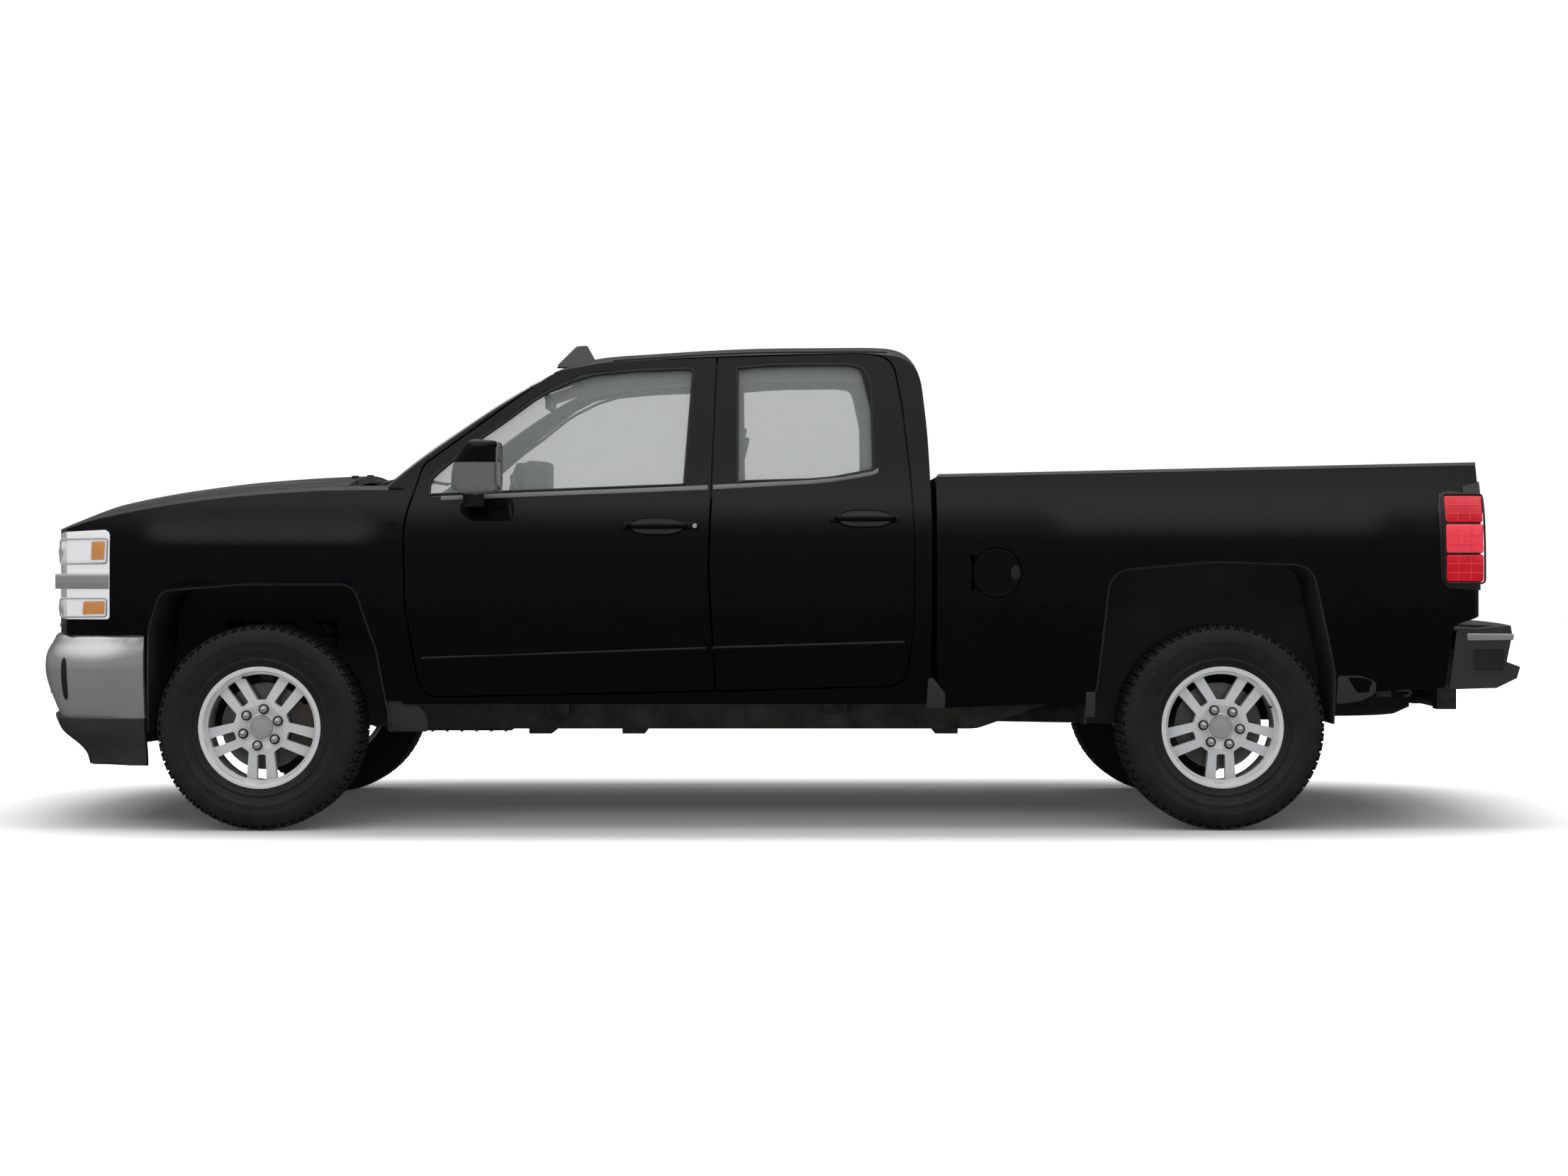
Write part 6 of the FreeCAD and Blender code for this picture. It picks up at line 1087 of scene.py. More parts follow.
def model_hood_details():
    """Model the hood's two raised lines, the washer jets and the wipers."""
    pieces = []
    for side, side_name in SIDES:
        loops = []
        for x in spread(-2.74, -1.7, 30):
            share = (x + 2.74) / 1.04
            y = side * (0.5 + 0.08 * share)
            rise = 0.005 * min(1.0, 6 * share, 6 * (1 - share))
            loop = []
            for offset, lift in ((-0.03, -0.004), (-0.03, -0.0002), (-0.012, rise * 0.8), (0.0, rise),
                    (0.012, rise * 0.8), (0.03, -0.0002), (0.03, -0.004)):
                loop.append(Vector((x, y + offset, hood_z(x, y + offset) + lift)))
            loops.append(loop)
        pieces.append(loft("hood_line_" + side_name, loops, PAINT, False, 60.0))
    for y in (-0.4, 0.0, 0.4):
        x = -1.665
        z = hood_z(x, y)
        pieces.append(rounded_box("washer_jet_" + str(int(y * 10) + 4), (x - 0.012, x + 0.016),
            (y - 0.011, y + 0.011), (z - 0.004, z + 0.008), RUBBER_TRIM, 0.004, 3))
    ride("hood", *pieces)
    arms = []
    for label, start, end in (("left", (-1.548, -0.53, 1.322), (-1.445, -0.02, 1.352)),
            ("right", (-1.52, 0.08, 1.346), (-1.415, 0.6, 1.352))):
        start, end = Vector(start), Vector(end)
        middle = start.lerp(end, 0.5) + Vector((-0.006, 0, 0.012))
        arms.append(tube("wiper_arm_" + label, rounded_path([start, middle, end], 0.08), 0.0065, RUBBER_TRIM, 10))
        along = (end - start).normalized()
        blade = [start.lerp(end, 0.3) + Vector((0.012, 0, 0.004)), end + along * 0.06 + Vector((0.012, 0, 0.004))]
        arms.append(tube("wiper_blade_" + label, blade, 0.0045, RUBBER_TRIM, 8))
        arms.append(lathe("wiper_cap_" + label, [(-0.01, 0.0), (-0.01, 0.016), (0.01, 0.015), (0.016, 0.01),
            (0.018, 0.0)], start, (-0.5, 0, 1), RUBBER_TRIM, 24))
    ride("root", *arms)


for lamp_side, lamp_name in SIDES:
    model_headlamp(lamp_side, lamp_name)
model_grille()
model_hood_details()


# Bumpers, valance and plates

BUMPER_TREE, VALANCE_TREE = tree_of("front_bumper"), tree_of("front_valance")
REAR_BUMPER_TREE, CAB_TREE = tree_of("rear_bumper"), tree_of("cab")


def strip_on(name, tree, starts, way, fallback, outline, material):
    """Lay a strip with an outline of (x, z) points where rays along X from its starts meet a solid piece."""
    loops = []
    for start in starts:
        place = hit(tree, start, (way, 0, 0)) or Vector((fallback, start[1], start[2]))
        loops.append([place + Vector((x, 0, z)) for x, z in outline])
    return loft(name, loops, material)


def model_bumper_details():
    """Model the bumper's end slots, tow hooks and bare plate holder, and the valance's ribs."""
    pieces = []
    for side, side_name in SIDES:
        loops = []
        for share in spread(-1.0, 1.0, 15):
            z = 0.5735 + share * 0.0835
            half = 0.0125 * math.sqrt(max(0.0, 1 - abs(share) ** 4)) + 0.0004
            row = []
            for offset, lift in ((-1.0, -0.003), (-1.0, 0.0006), (0.0, 0.001), (1.0, 0.0006), (1.0, -0.003)):
                x = -2.678 + offset * half
                place = hit(BUMPER_TREE, (x, side * 1.3, z), (0, -side, 0)) or Vector((x, side * 0.9, z))
                row.append(place + Vector((0, side * lift, 0)))
            loops.append(row)
        pieces.append(loft(side_name + "_bumper_slot", loops, RUBBER_TRIM))
        hook = rounded_path([(-2.7, side * 0.36, 0.395), (-2.8, side * 0.36, 0.392), (-2.835, side * 0.36, 0.372),
            (-2.8, side * 0.36, 0.352), (-2.74, side * 0.36, 0.35)], 0.02)
        pieces.append(tube(side_name + "_tow_hook", hook, 0.0095, STEEL, 12))
    holder = rounded_rectangle((-0.158, 0.158), (0.505, 0.665), 0.01)
    pieces.append(plate("front_plate_holder", holder, (-0.006, 0.002), facing_x(-2.906), PLASTIC, 0.0015))
    for row in range(3):
        starts = [(-3.3, y, 0.29 + row * 0.045) for y in spread(-0.52, 0.52, 26)]
        pieces.append(strip_on("valance_rib_" + str(row), VALANCE_TREE, starts, 1, -2.8,
            ((0.004, -0.012), (-0.0035, -0.009), (-0.0035, 0.009), (0.004, 0.012)), RUBBER_TRIM))
    ride("root", *pieces)


PLATE_HOLE = 0.0889


def model_rear_bumper():
    """Model the rear bumper's bright strips, step grips, end pockets, blank plate, lamps, socket and loops."""
    pieces = []
    for side, side_name in SIDES:
        strip = rounded_outline([(2.632, 0.72), (2.806, 0.722), (2.808, 0.746), (2.63, 0.747)], 0.006)
        pieces.append(plate(side_name + "_bumper_strip", strip, (-0.002, 0.003), flat_side(side, 0.985), CHROME,
            0.0012, 2))
        pocket = rounded_outline([(2.655, 0.6), (2.77, 0.6), (2.775, 0.69), (2.65, 0.69)], 0.016)
        pieces.append(plate(side_name + "_step_pocket", pocket, (-0.002, 0.0012), flat_side(side, 0.985), RUBBER_TRIM,
            0.0008, 1))
        pieces.append(tube(side_name + "_step_pocket_rim", [Vector((u, side * 0.986, v)) for u, v in pocket], 0.0026,
            PLASTIC, 8, True))
        starts = [(3.3, side * y, 0.735) for y in spread(0.2, 0.9, 15)]
        pieces.append(strip_on(side_name + "_rear_strip", REAR_BUMPER_TREE, starts, -1, 2.86,
            ((-0.004, -0.014), (0.0025, -0.01), (0.0025, 0.01), (-0.004, 0.014)), CHROME))
        for index in range(7):
            y = side * (0.28 + index * 0.085)
            low = hit(REAR_BUMPER_TREE, (2.76, y, 1.0), (0, 0, -1))
            if low:
                pieces.append(rounded_box(side_name + "_step_grip_" + str(index), (2.7, 2.8), (y - 0.016, y + 0.016),
                    (low.z - 0.002, low.z + 0.0035), RUBBER_TRIM, 0.002, 2))
        pieces.append(rounded_box(side_name + "_plate_lamp", (2.8745, 2.8945),
            (side * 0.115 - 0.022, side * 0.115 + 0.022), (0.6915, 0.705), BULB, 0.003, 2))
    back, middle = 2.8775, 0.621
    outline = rounded_rectangle((-0.1525, 0.1525), (0.546, 0.696), 0.012)
    pieces.append(plate("blank_plate", outline, (0.0, 0.002), facing_x(back), LAMP_WHITE, 0.0007))
    edge = [Vector((back + 0.0015, u * 0.975, middle + (v - middle) * 0.95)) for u, v in outline]
    pieces.append(tube("plate_edge", edge, 0.0016, SATIN, 6, True))
    for side, side_name in SIDES:
        pieces.append(lathe("plate_screw_" + side_name, [(-0.012, 0.0), (-0.012, 0.0032), (0.0022, 0.0034),
            (0.0024, 0.007), (0.0052, 0.006), (0.006, 0.0)], (back, side * PLATE_HOLE, 0.6794), (1, 0, 0), SATIN, 24))
    socket = [(0.0, 0.0), (0.0, 0.033), (0.01, 0.033), (0.012, 0.031), (0.022, 0.029), (0.024, 0.027), (0.024, 0.0)]
    pieces.append(lathe("trailer_socket", socket, (2.872, 0.265, 0.64), (1, 0, 0), RUBBER_TRIM, 32))
    for side, side_name in SIDES:
        ring = [Vector((2.765 + 0.012 * math.cos(a), side * (0.075 + 0.014 * math.sin(a)),
            0.452 + 0.014 * math.cos(a))) for a in bearings(24)]
        pieces.append(tube(side_name + "_chain_loop", ring, 0.005, STEEL, 10, True))
    pieces.append(tube("receiver_rim", [Vector((2.797, y, 0.47 + z)) for y, z in oval((0.0, 0.0), 0.0345, 0.0345, 40,
        7.0)], 0.0045, STEEL, 8, True))
    ride("root", *pieces)


# Bed, tail lamps and tailgate

def model_tail_lamp(side, side_name):
    """Model a tail lamp: three lens sections on the side and the back, ribs and bright rims."""
    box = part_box("tail_lamps")
    back = box[1].x
    name = side_name + "_tail_lamp_"
    pieces = []
    sections = ((0.944, 1.044, RED, "lower"), (1.052, 1.16, RED_BRIGHT, "middle"), (1.168, 1.268, RED, "upper"))
    for low, high, cover, label in sections:
        outline = rounded_rectangle((2.552, 2.694), (low, high), 0.01)
        pieces.append(side_panel(name + label + "_side", side, outline, cover, 0.0135, 0.002, 0.0025))
        for share in (0.33, 0.66):
            z = low + (high - low) * share
            line = [side_point(x, z, side, 0.0138) for x in spread(2.56, 2.688, 10)]
            pieces.append(tube(name + label + "_rib_" + str(int(share * 100)), line, 0.0012, RED_BRIGHT, 6))
        for x in (2.598, 2.646):
            line = [side_point(x, z, side, 0.0138) for z in spread(low + 0.006, high - 0.006, 8)]
            pieces.append(tube(name + label + "_web_" + str(int(x * 1000)), line, 0.0012, RED_BRIGHT, 6))
        outer = 0.955 - max(0.0, high - 1.2) * 0.25
        outline = rounded_rectangle((0.845, outer), (low, high), 0.01)
        pieces.append(plate(name + label + "_back", outline,
            (-0.004, 0.004), lambda u, v, w: Vector((back + w, side * u, v)), cover, 0.0015, 2))
        pieces.append(lathe(name + label + "_bowl", [(0.0, 0.04), (0.0012, 0.0402), (0.0012, 0.0), (0.0, 0.0)],
            (back + 0.0038, side * 0.9, (low + high) / 2), (1, 0, 0), RED_BRIGHT, 40))
    rim = rounded_rectangle((2.545, 2.7), (0.937, 1.275), 0.014)
    pieces.append(side_cord(name + "rim", side, rim, 0.004, LAMP_BLACK, 0.009, 100))
    ride("root", *pieces)


def model_bed():
    """Model the bed's floor ribs, front wall pressings and tie rings."""
    pieces = []
    rib = rounded_box("rib_seed", (0.69, 2.615), (-0.019, 0.019), (0.86, 0.8685), BED_LINER, 0.0035, 2)
    pieces.append(copies("bed_floor_ribs", rib, ROW, 13, (0.0, -0.468, 0.0), (0.0, 0.078, 0.0), BED_LINER))
    post = rounded_box("post_seed", (0.669, 0.677), (-0.03, 0.03), (0.92, 1.28), BED_LINER, 0.0038, 2)
    pieces.append(copies("bed_front_pressings", post, ROW, 9, (0.0, -0.6, 0.0), (0.0, 0.15, 0.0), BED_LINER))
    for side, side_name in SIDES:
        for x in (0.8, 2.5):
            ring = [Vector((x + 0.028 * math.cos(a), side * (0.823 - 0.006 * math.sin(a)),
                1.215 + 0.028 * math.sin(a))) for a in bearings(24)]
            pieces.append(tube(side_name + "_tie_ring_" + str(int(x * 100)), ring, 0.0045, STEEL, 10, True))
            pieces.append(rounded_box(side_name + "_tie_plate_" + str(int(x * 100)), (x - 0.022, x + 0.022),
                (side * 0.8325, side * 0.825), (1.225, 1.262), STEEL, 0.003, 2))
    ride("root", *pieces)


def model_tailgate():
    """Model the tailgate's outer pressings, handle, lock, top cap, inner panel and strap studs."""
    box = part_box("tailgate")
    front, back, top = box[0].x, box[1].x, box[1].z
    pieces = [rounded_box("tailgate_cap", (front - 0.0005, back + 0.003), (-0.822, 0.822), (top - 0.02, top + 0.0035),
        PLASTIC)]
    cup = rounded_outline([(-0.135, 1.215), (0.135, 1.215), (0.15, 1.305), (-0.15, 1.305)], 0.022)
    pieces.append(plate("tailgate_handle_bezel", cup, (-0.003, 0.004), facing_x(back), RUBBER_TRIM))
    grip = rounded_outline([(-0.11, 1.232), (0.11, 1.232), (0.116, 1.272), (-0.116, 1.272)], 0.012)
    pieces.append(plate("tailgate_handle", grip, (0.002, 0.017), facing_x(back), PAINT, 0.006, 4))
    pieces.append(lathe("tailgate_lock", [(-0.002, 0.0), (-0.002, 0.01), (0.006, 0.01), (0.0075, 0.0085),
        (0.0075, 0.003), (0.006, 0.0022), (0.006, 0.0)], (back + 0.003, 0.0, 1.291), (1, 0, 0), SATIN, 28))
    for low, high in ((0.9, 0.985), (1.035, 1.165)):
        panel = rounded_rectangle((-0.72, 0.72), (low, high), 0.03)
        pieces.append(plate("tailgate_pressing_" + str(int(low * 1000)), panel, (-0.002, 0.003), facing_x(back),
            PAINT, 0.0024, 3))
    inner = rounded_rectangle((-0.7, 0.7), (0.95, 1.33), 0.02)
    pieces.append(plate("tailgate_inner_panel", inner, (-0.0022, 0.002), facing_x(front), BED_LINER, 0.0015))
    for side, side_name in SIDES:
        pieces.append(lathe(side_name + "_strap_stud", [(-0.002, 0.0), (-0.002, 0.008), (0.003, 0.008),
            (0.0035, 0.0055), (0.0036, 0.0)], (front + 0.0005, side * 0.78, 1.245), (-1, 0, 0), STEEL, 20))
    ride("tailgate", *pieces)


SLOT_HEIGHT = 0.47
FILLER_X, FILLER_Z = 0.853, 0.976


def model_side_bits():
    """Model the liners' ends, sill slots, rear hooks, the spacer between cab and bed and the fuel filler."""
    pieces = []
    for side, side_name in SIDES:
        front_end = rounded_outline([(-1.459, 0.5), (-1.39, 0.5), (-1.363, 0.48), (-1.327, 0.458), (-1.309, 0.422),
            (-1.309, 0.372), (-1.459, 0.372)], 0.01)
        rear_end = rounded_outline([(2.139, 0.587), (2.227, 0.588), (2.287, 0.562), (2.287, 0.52), (2.232, 0.491),
            (2.139, 0.479)], 0.01)
        ahead = rounded_rectangle((1.189, 1.225), (0.43, 0.526), 0.006)
        spacer = rounded_outline([(0.586, 0.46), (0.659, 0.463), (0.659, 0.519), (0.65, 0.529), (0.613, 0.577),
            (0.594, 0.575), (0.59, 0.5)], 0.006)
        for label, outline, depth in (("front_liner_end", front_end, -0.016), ("rear_liner_end", rear_end, 0.002),
                ("rear_liner_lip", ahead, 0.002), ("cab_spacer", spacer, 0.003)):
            pieces.append(side_panel(side_name + "_" + label, side, outline, PLASTIC, depth, 0.021, 0.0015))
        for index, x in enumerate((-1.158, -0.981, -0.79, -0.583, -0.38, -0.177, 0.03, 0.172, 0.315, 0.457)):
            sill = hit(CAB_TREE, (x, side * 1.3, SLOT_HEIGHT), (0, -side, 0))
            if sill:
                slot = oval((x, SLOT_HEIGHT), 0.0115, 0.0042, 20, 2.4)
                pieces.append(plate(side_name + "_sill_slot_" + str(index), slot, (-0.002, 0.0008),
                    flat_side(side, abs(sill.y)), CABIN_GREY, 0.0004, 1))
        hook = rounded_path([(2.47, side * 0.5, 0.512), (2.52, side * 0.5, 0.512), (2.526, side * 0.5, 0.494),
            (2.5, side * 0.5, 0.486)], 0.012)
        pieces.append(tube(side_name + "_rear_hook", hook, 0.008, STEEL, 10))
    neck = lathe("filler_neck", [(-0.03, 0.0), (-0.03, 0.033), (-0.004, 0.034), (0.0, 0.031), (-0.002, 0.029),
        (-0.002, 0.0)], (FILLER_X, -0.968, FILLER_Z), (0, -1, 0), STEEL, 40)
    cap = lathe("filler_cap", [(-0.006, 0.0), (-0.006, 0.027), (0.002, 0.027), (0.004, 0.025), (0.004, 0.0)],
        (FILLER_X, -0.9645, FILLER_Z), (0, -1, 0), RUBBER_TRIM, 40)
    ride("root", *pieces, neck, cap)


def model_fuel_notch():
    """Model the finger notch and inner rim of the fuel door."""
    outline = oval((0.925, FILLER_Z), 0.019, 0.028, 28, 2.2)
    notch = side_panel("fuel_door_notch", LEFT, outline, RUBBER_TRIM, 0.001, 0.002, 0.0005)
    fold = oval((FILLER_X, FILLER_Z), 0.0865, 0.0865, 64)
    ride("fuel_door", notch, side_cord("fuel_door_fold", LEFT, fold, 0.0016, PAINT, 0.0004, 110))


def model_roof_details():
    """Model the roof's drip lines, the high brake lamp and the fin's grey cover."""
    pieces = []
    for side, side_name in SIDES:
        path = []
        for x in spread(-0.62, 0.45, 24):
            place = hit(CAB_TREE, (x, side * 0.64, 2.2), (0, 0, -1))
            if place:
                path.append(place + Vector((0, 0, 0.0006)))
        if len(path) > 2:
            pieces.append(tube(side_name + "_roof_line", path, 0.004, RUBBER_TRIM, 8))
    starts = [(0.9, y, 1.8) for y in spread(-0.135, 0.135, 15)]
    pieces.append(strip_on("high_brake_lamp", CAB_TREE, starts, -1, 0.53,
        ((-0.004, -0.014), (0.006, -0.012), (0.009, 0.0), (0.006, 0.012), (-0.004, 0.014)), RED))
    fin = rounded_outline([(-0.8838, 1.8255), (-0.7228, 1.8255), (-0.7664, 1.9048), (-0.8064, 1.9018)], 0.005)
    pieces.append(plate("antenna_fin_cover", fin, (-0.0236, 0.0236), lambda u, v, w: Vector((u, w, v)), CASE, 0.004,
        3))
    ride("root", *pieces)


model_bumper_details()
model_rear_bumper()
for rear_side, rear_name in SIDES:
    model_tail_lamp(rear_side, rear_name)
model_bed()
model_tailgate()
model_side_bits()
model_fuel_notch()
model_roof_details()


# Engine bay and underbody

def turned(thing, centre):
    """Turn a mesh made round the Y axis so that it runs round X, and move it to its centre."""
    thing.data.transform(Matrix.Translation(centre) @ Matrix.Rotation(math.pi / 2, 4, "Z"))
    return thing


def model_fan(side, side_name):
    """Model one radiator fan: ring, hub, struts and blades."""
    centre = Vector((-2.53, side * 0.185, 0.8))
    name = side_name + "_fan_"
    ring = lathe(name + "ring", [(-0.03, 0.168), (0.03, 0.168), (0.03, 0.176), (-0.03, 0.176)], centre, (1, 0, 0),
        CABIN, 56)
    hub = lathe(name + "hub", [(-0.02, 0.0), (-0.02, 0.044), (0.012, 0.048), (0.018, 0.04), (0.018, 0.0)], centre,
        (1, 0, 0), CABIN, 32)
    blade = rounded_box(name + "blade", (-0.024, 0.024), (-0.0025, 0.0025), (0.042, 0.16), CABIN, 0.002, 2,
        Matrix.Rotation(math.radians(32), 3, "Z"))
    blades = turned(copies(name + "blades", blade, RING, 7, (0, 0, 0), (0, 0, 0), CABIN), centre)
    struts = [tube(name + "strut_" + str(index),
        [centre + Vector((0.026, 0.035 * math.cos(angle), 0.035 * math.sin(angle))),
        centre + Vector((0.026, 0.172 * math.cos(angle), 0.172 * math.sin(angle)))], 0.006, CABIN, 8) for index,
        angle in enumerate((0.6, 2.2, 3.8, 5.4))]
    return [ring, hub, blades] + struts


def model_radiator():
    """Model the radiator's core fins, its shroud, top support, both fans and the two hoses."""
    fin = rounded_box("fin_seed", (-2.632, -2.624), (-0.36, 0.36), (0.545, 0.549), ALUMINIUM, 0.0015, 2)
    pieces = [copies("radiator_fins", fin, ROW, 42, (0, 0, 0), (0, 0, 0.0122), ALUMINIUM)]
    pieces.append(rounded_box("radiator_support", (-2.65, -2.575), (-0.62, 0.62), (1.088, 1.12), STEEL, 0.008, 3))
    for name, low, high in (("top", 1.0, 1.02), ("bottom", 0.58, 0.6)):
        pieces.append(rounded_box("fan_frame_" + name, (-2.56, -2.505), (-0.38, 0.38), (low, high), CABIN, 0.005, 2))
    for name, path, radius in (("upper", [(-2.566, -0.25, 1.03), (-2.43, -0.25, 1.075), (-2.33, -0.18, 1.08),
            (-2.262, -0.1, 1.03)], 0.02), ("lower", [(-2.566, 0.26, 0.56), (-2.44, 0.26, 0.545), (-2.35, 0.18, 0.58),
            (-2.262, 0.12, 0.64)], 0.021)):
        pieces.append(tube("radiator_hose_" + name, rounded_path(path, 0.05), radius, RUBBER_TRIM, 16))
        for end, toward in ((Vector(path[0]), Vector(path[1])), (Vector(path[-1]), Vector(path[-2]))):
            pieces.append(lathe("hose_clamp_" + name + ("_a" if end.x < -2.4 else "_b"),
                [(0.012, radius + 0.0005), (0.012, radius + 0.003), (0.024, radius + 0.003),
                (0.024, radius + 0.0005)], end, toward - end, SATIN, 24))
    for side, side_name in SIDES:
        pieces += model_fan(side, side_name)
    ride("root", *pieces)


def model_engine():
    """Model the engine's covers, intake, manifolds, leads, pulleys and belt."""
    pieces = [rounded_box("engine_cover", (-2.21, -1.66), (-0.205, 0.205), (1.044, 1.112), CABIN, 0.024, 5)]
    rib = rounded_box("cover_rib_seed", (-2.15, -1.72), (-0.006, 0.006), (1.109, 1.117), CABIN, 0.003, 2)
    pieces.append(copies("engine_cover_ribs", rib, ROW, 9, (0, -0.128, 0), (0, 0.032, 0), CABIN))
    for side, side_name in SIDES:
        pieces.append(rounded_box(side_name + "_valve_cover", (-2.215, -1.61), (side * 0.285, side * 0.345),
            (0.88, 1.02), ALUMINIUM, 0.022, 4))
        for index in range(4):
            x = -2.13 + index * 0.15
            runner = rounded_path([(x, side * 0.296, 0.8), (x + 0.02, side * 0.36, 0.79),
                (x + 0.07, side * 0.372, 0.73)], 0.03)
            pieces.append(tube(side_name + "_runner_" + str(index), runner, 0.021, CAST, 14))
            lead = rounded_path([(x + 0.02, side * 0.2, 1.075), (x + 0.02, side * 0.3, 1.075),
                (x + 0.01, side * 0.355, 1.0), (x, side * 0.352, 0.84)], 0.03)
            pieces.append(tube(side_name + "_lead_" + str(index), lead, 0.0045, RUBBER_TRIM, 8))
        log = rounded_path([(-2.1, side * 0.372, 0.715), (-1.7, side * 0.372, 0.7), (-1.56, side * 0.35, 0.6),
            (-1.44, side * 0.3, 0.47)], 0.06)
        pieces.append(tube(side_name + "_manifold", log, 0.027, CAST, 16))
    pulleys = (("crank", 0.0, 0.56, 0.082), ("pump", 0.0, 0.79, 0.066), ("alternator", 0.19, 0.9, 0.032),
        ("compressor", 0.205, 0.6, 0.058), ("tensioner", -0.11, 0.7, 0.036), ("steer_pump", -0.2, 0.86, 0.06))
    for name, y, z, radius in pulleys:
        pieces.append(lathe(name + "_pulley", [(-0.004, 0.0), (-0.004, radius), (0.004, radius + 0.003),
            (0.008, radius), (0.024, radius), (0.028, radius + 0.003), (0.032, radius), (0.032, radius * 0.6),
            (0.026, radius * 0.3), (0.03, 0.0)], (-2.268, y, z), (-1, 0, 0), STEEL, 36))
    for name, y, z, radius, length in (("alternator", 0.19, 0.9, 0.066, 0.11),
            ("compressor", 0.205, 0.6, 0.06, 0.12)):
        pieces.append(lathe(name + "_body", [(-length, 0.0), (-length, radius * 0.8), (-length * 0.8, radius),
            (-0.012, radius), (-0.002, radius * 0.6), (-0.002, 0.0)], (-2.262, y + 0.06, z), (-1, 0, 0), ALUMINIUM,
            40))
    line = [(-2.284, 0.0, 0.478), (-2.284, 0.205, 0.54), (-2.284, 0.262, 0.605), (-2.284, 0.222, 0.9),
        (-2.284, 0.188, 0.934), (-2.284, 0.0, 0.858), (-2.284, -0.205, 0.922), (-2.284, -0.261, 0.86),
        (-2.284, -0.14, 0.68), (-2.284, -0.082, 0.545)]
    pieces.append(tube("drive_belt", [Vector(point) for point in line], 0.0055, RUBBER_TRIM, 8, True))
    intake = rounded_path([(-2.25, 0.5, 1.06), (-2.33, 0.4, 1.115), (-2.33, 0.15, 1.12), (-2.215, 0.01, 1.08)], 0.07)
    pieces.append(tube("intake_tube", intake, 0.04, CABIN, 20))
    for index, share in enumerate((0.3, 0.36, 0.42, 0.48)):
        spot = int(share * (len(intake) - 1))
        pieces.append(lathe("intake_fold_" + str(index), [(-0.004, 0.0395), (0.0, 0.0455), (0.004, 0.0395)],
            intake[spot], intake[spot + 1] - intake[spot], CABIN, 28))
    pieces.append(lathe("oil_filler_cap", [(-0.004, 0.0), (-0.004, 0.024), (0.01, 0.026), (0.016, 0.024),
        (0.018, 0.0)], (-1.76, 0.15, 1.112), (0, 0, 1), RUBBER_TRIM, 28))
    stick = rounded_path([(-2.0, -0.346, 0.9), (-2.01, -0.352, 1.06), (-2.02, -0.352, 1.11)], 0.02)
    pieces.append(tube("dipstick_tube", stick, 0.005, STEEL, 8))
    ride("root", *pieces)


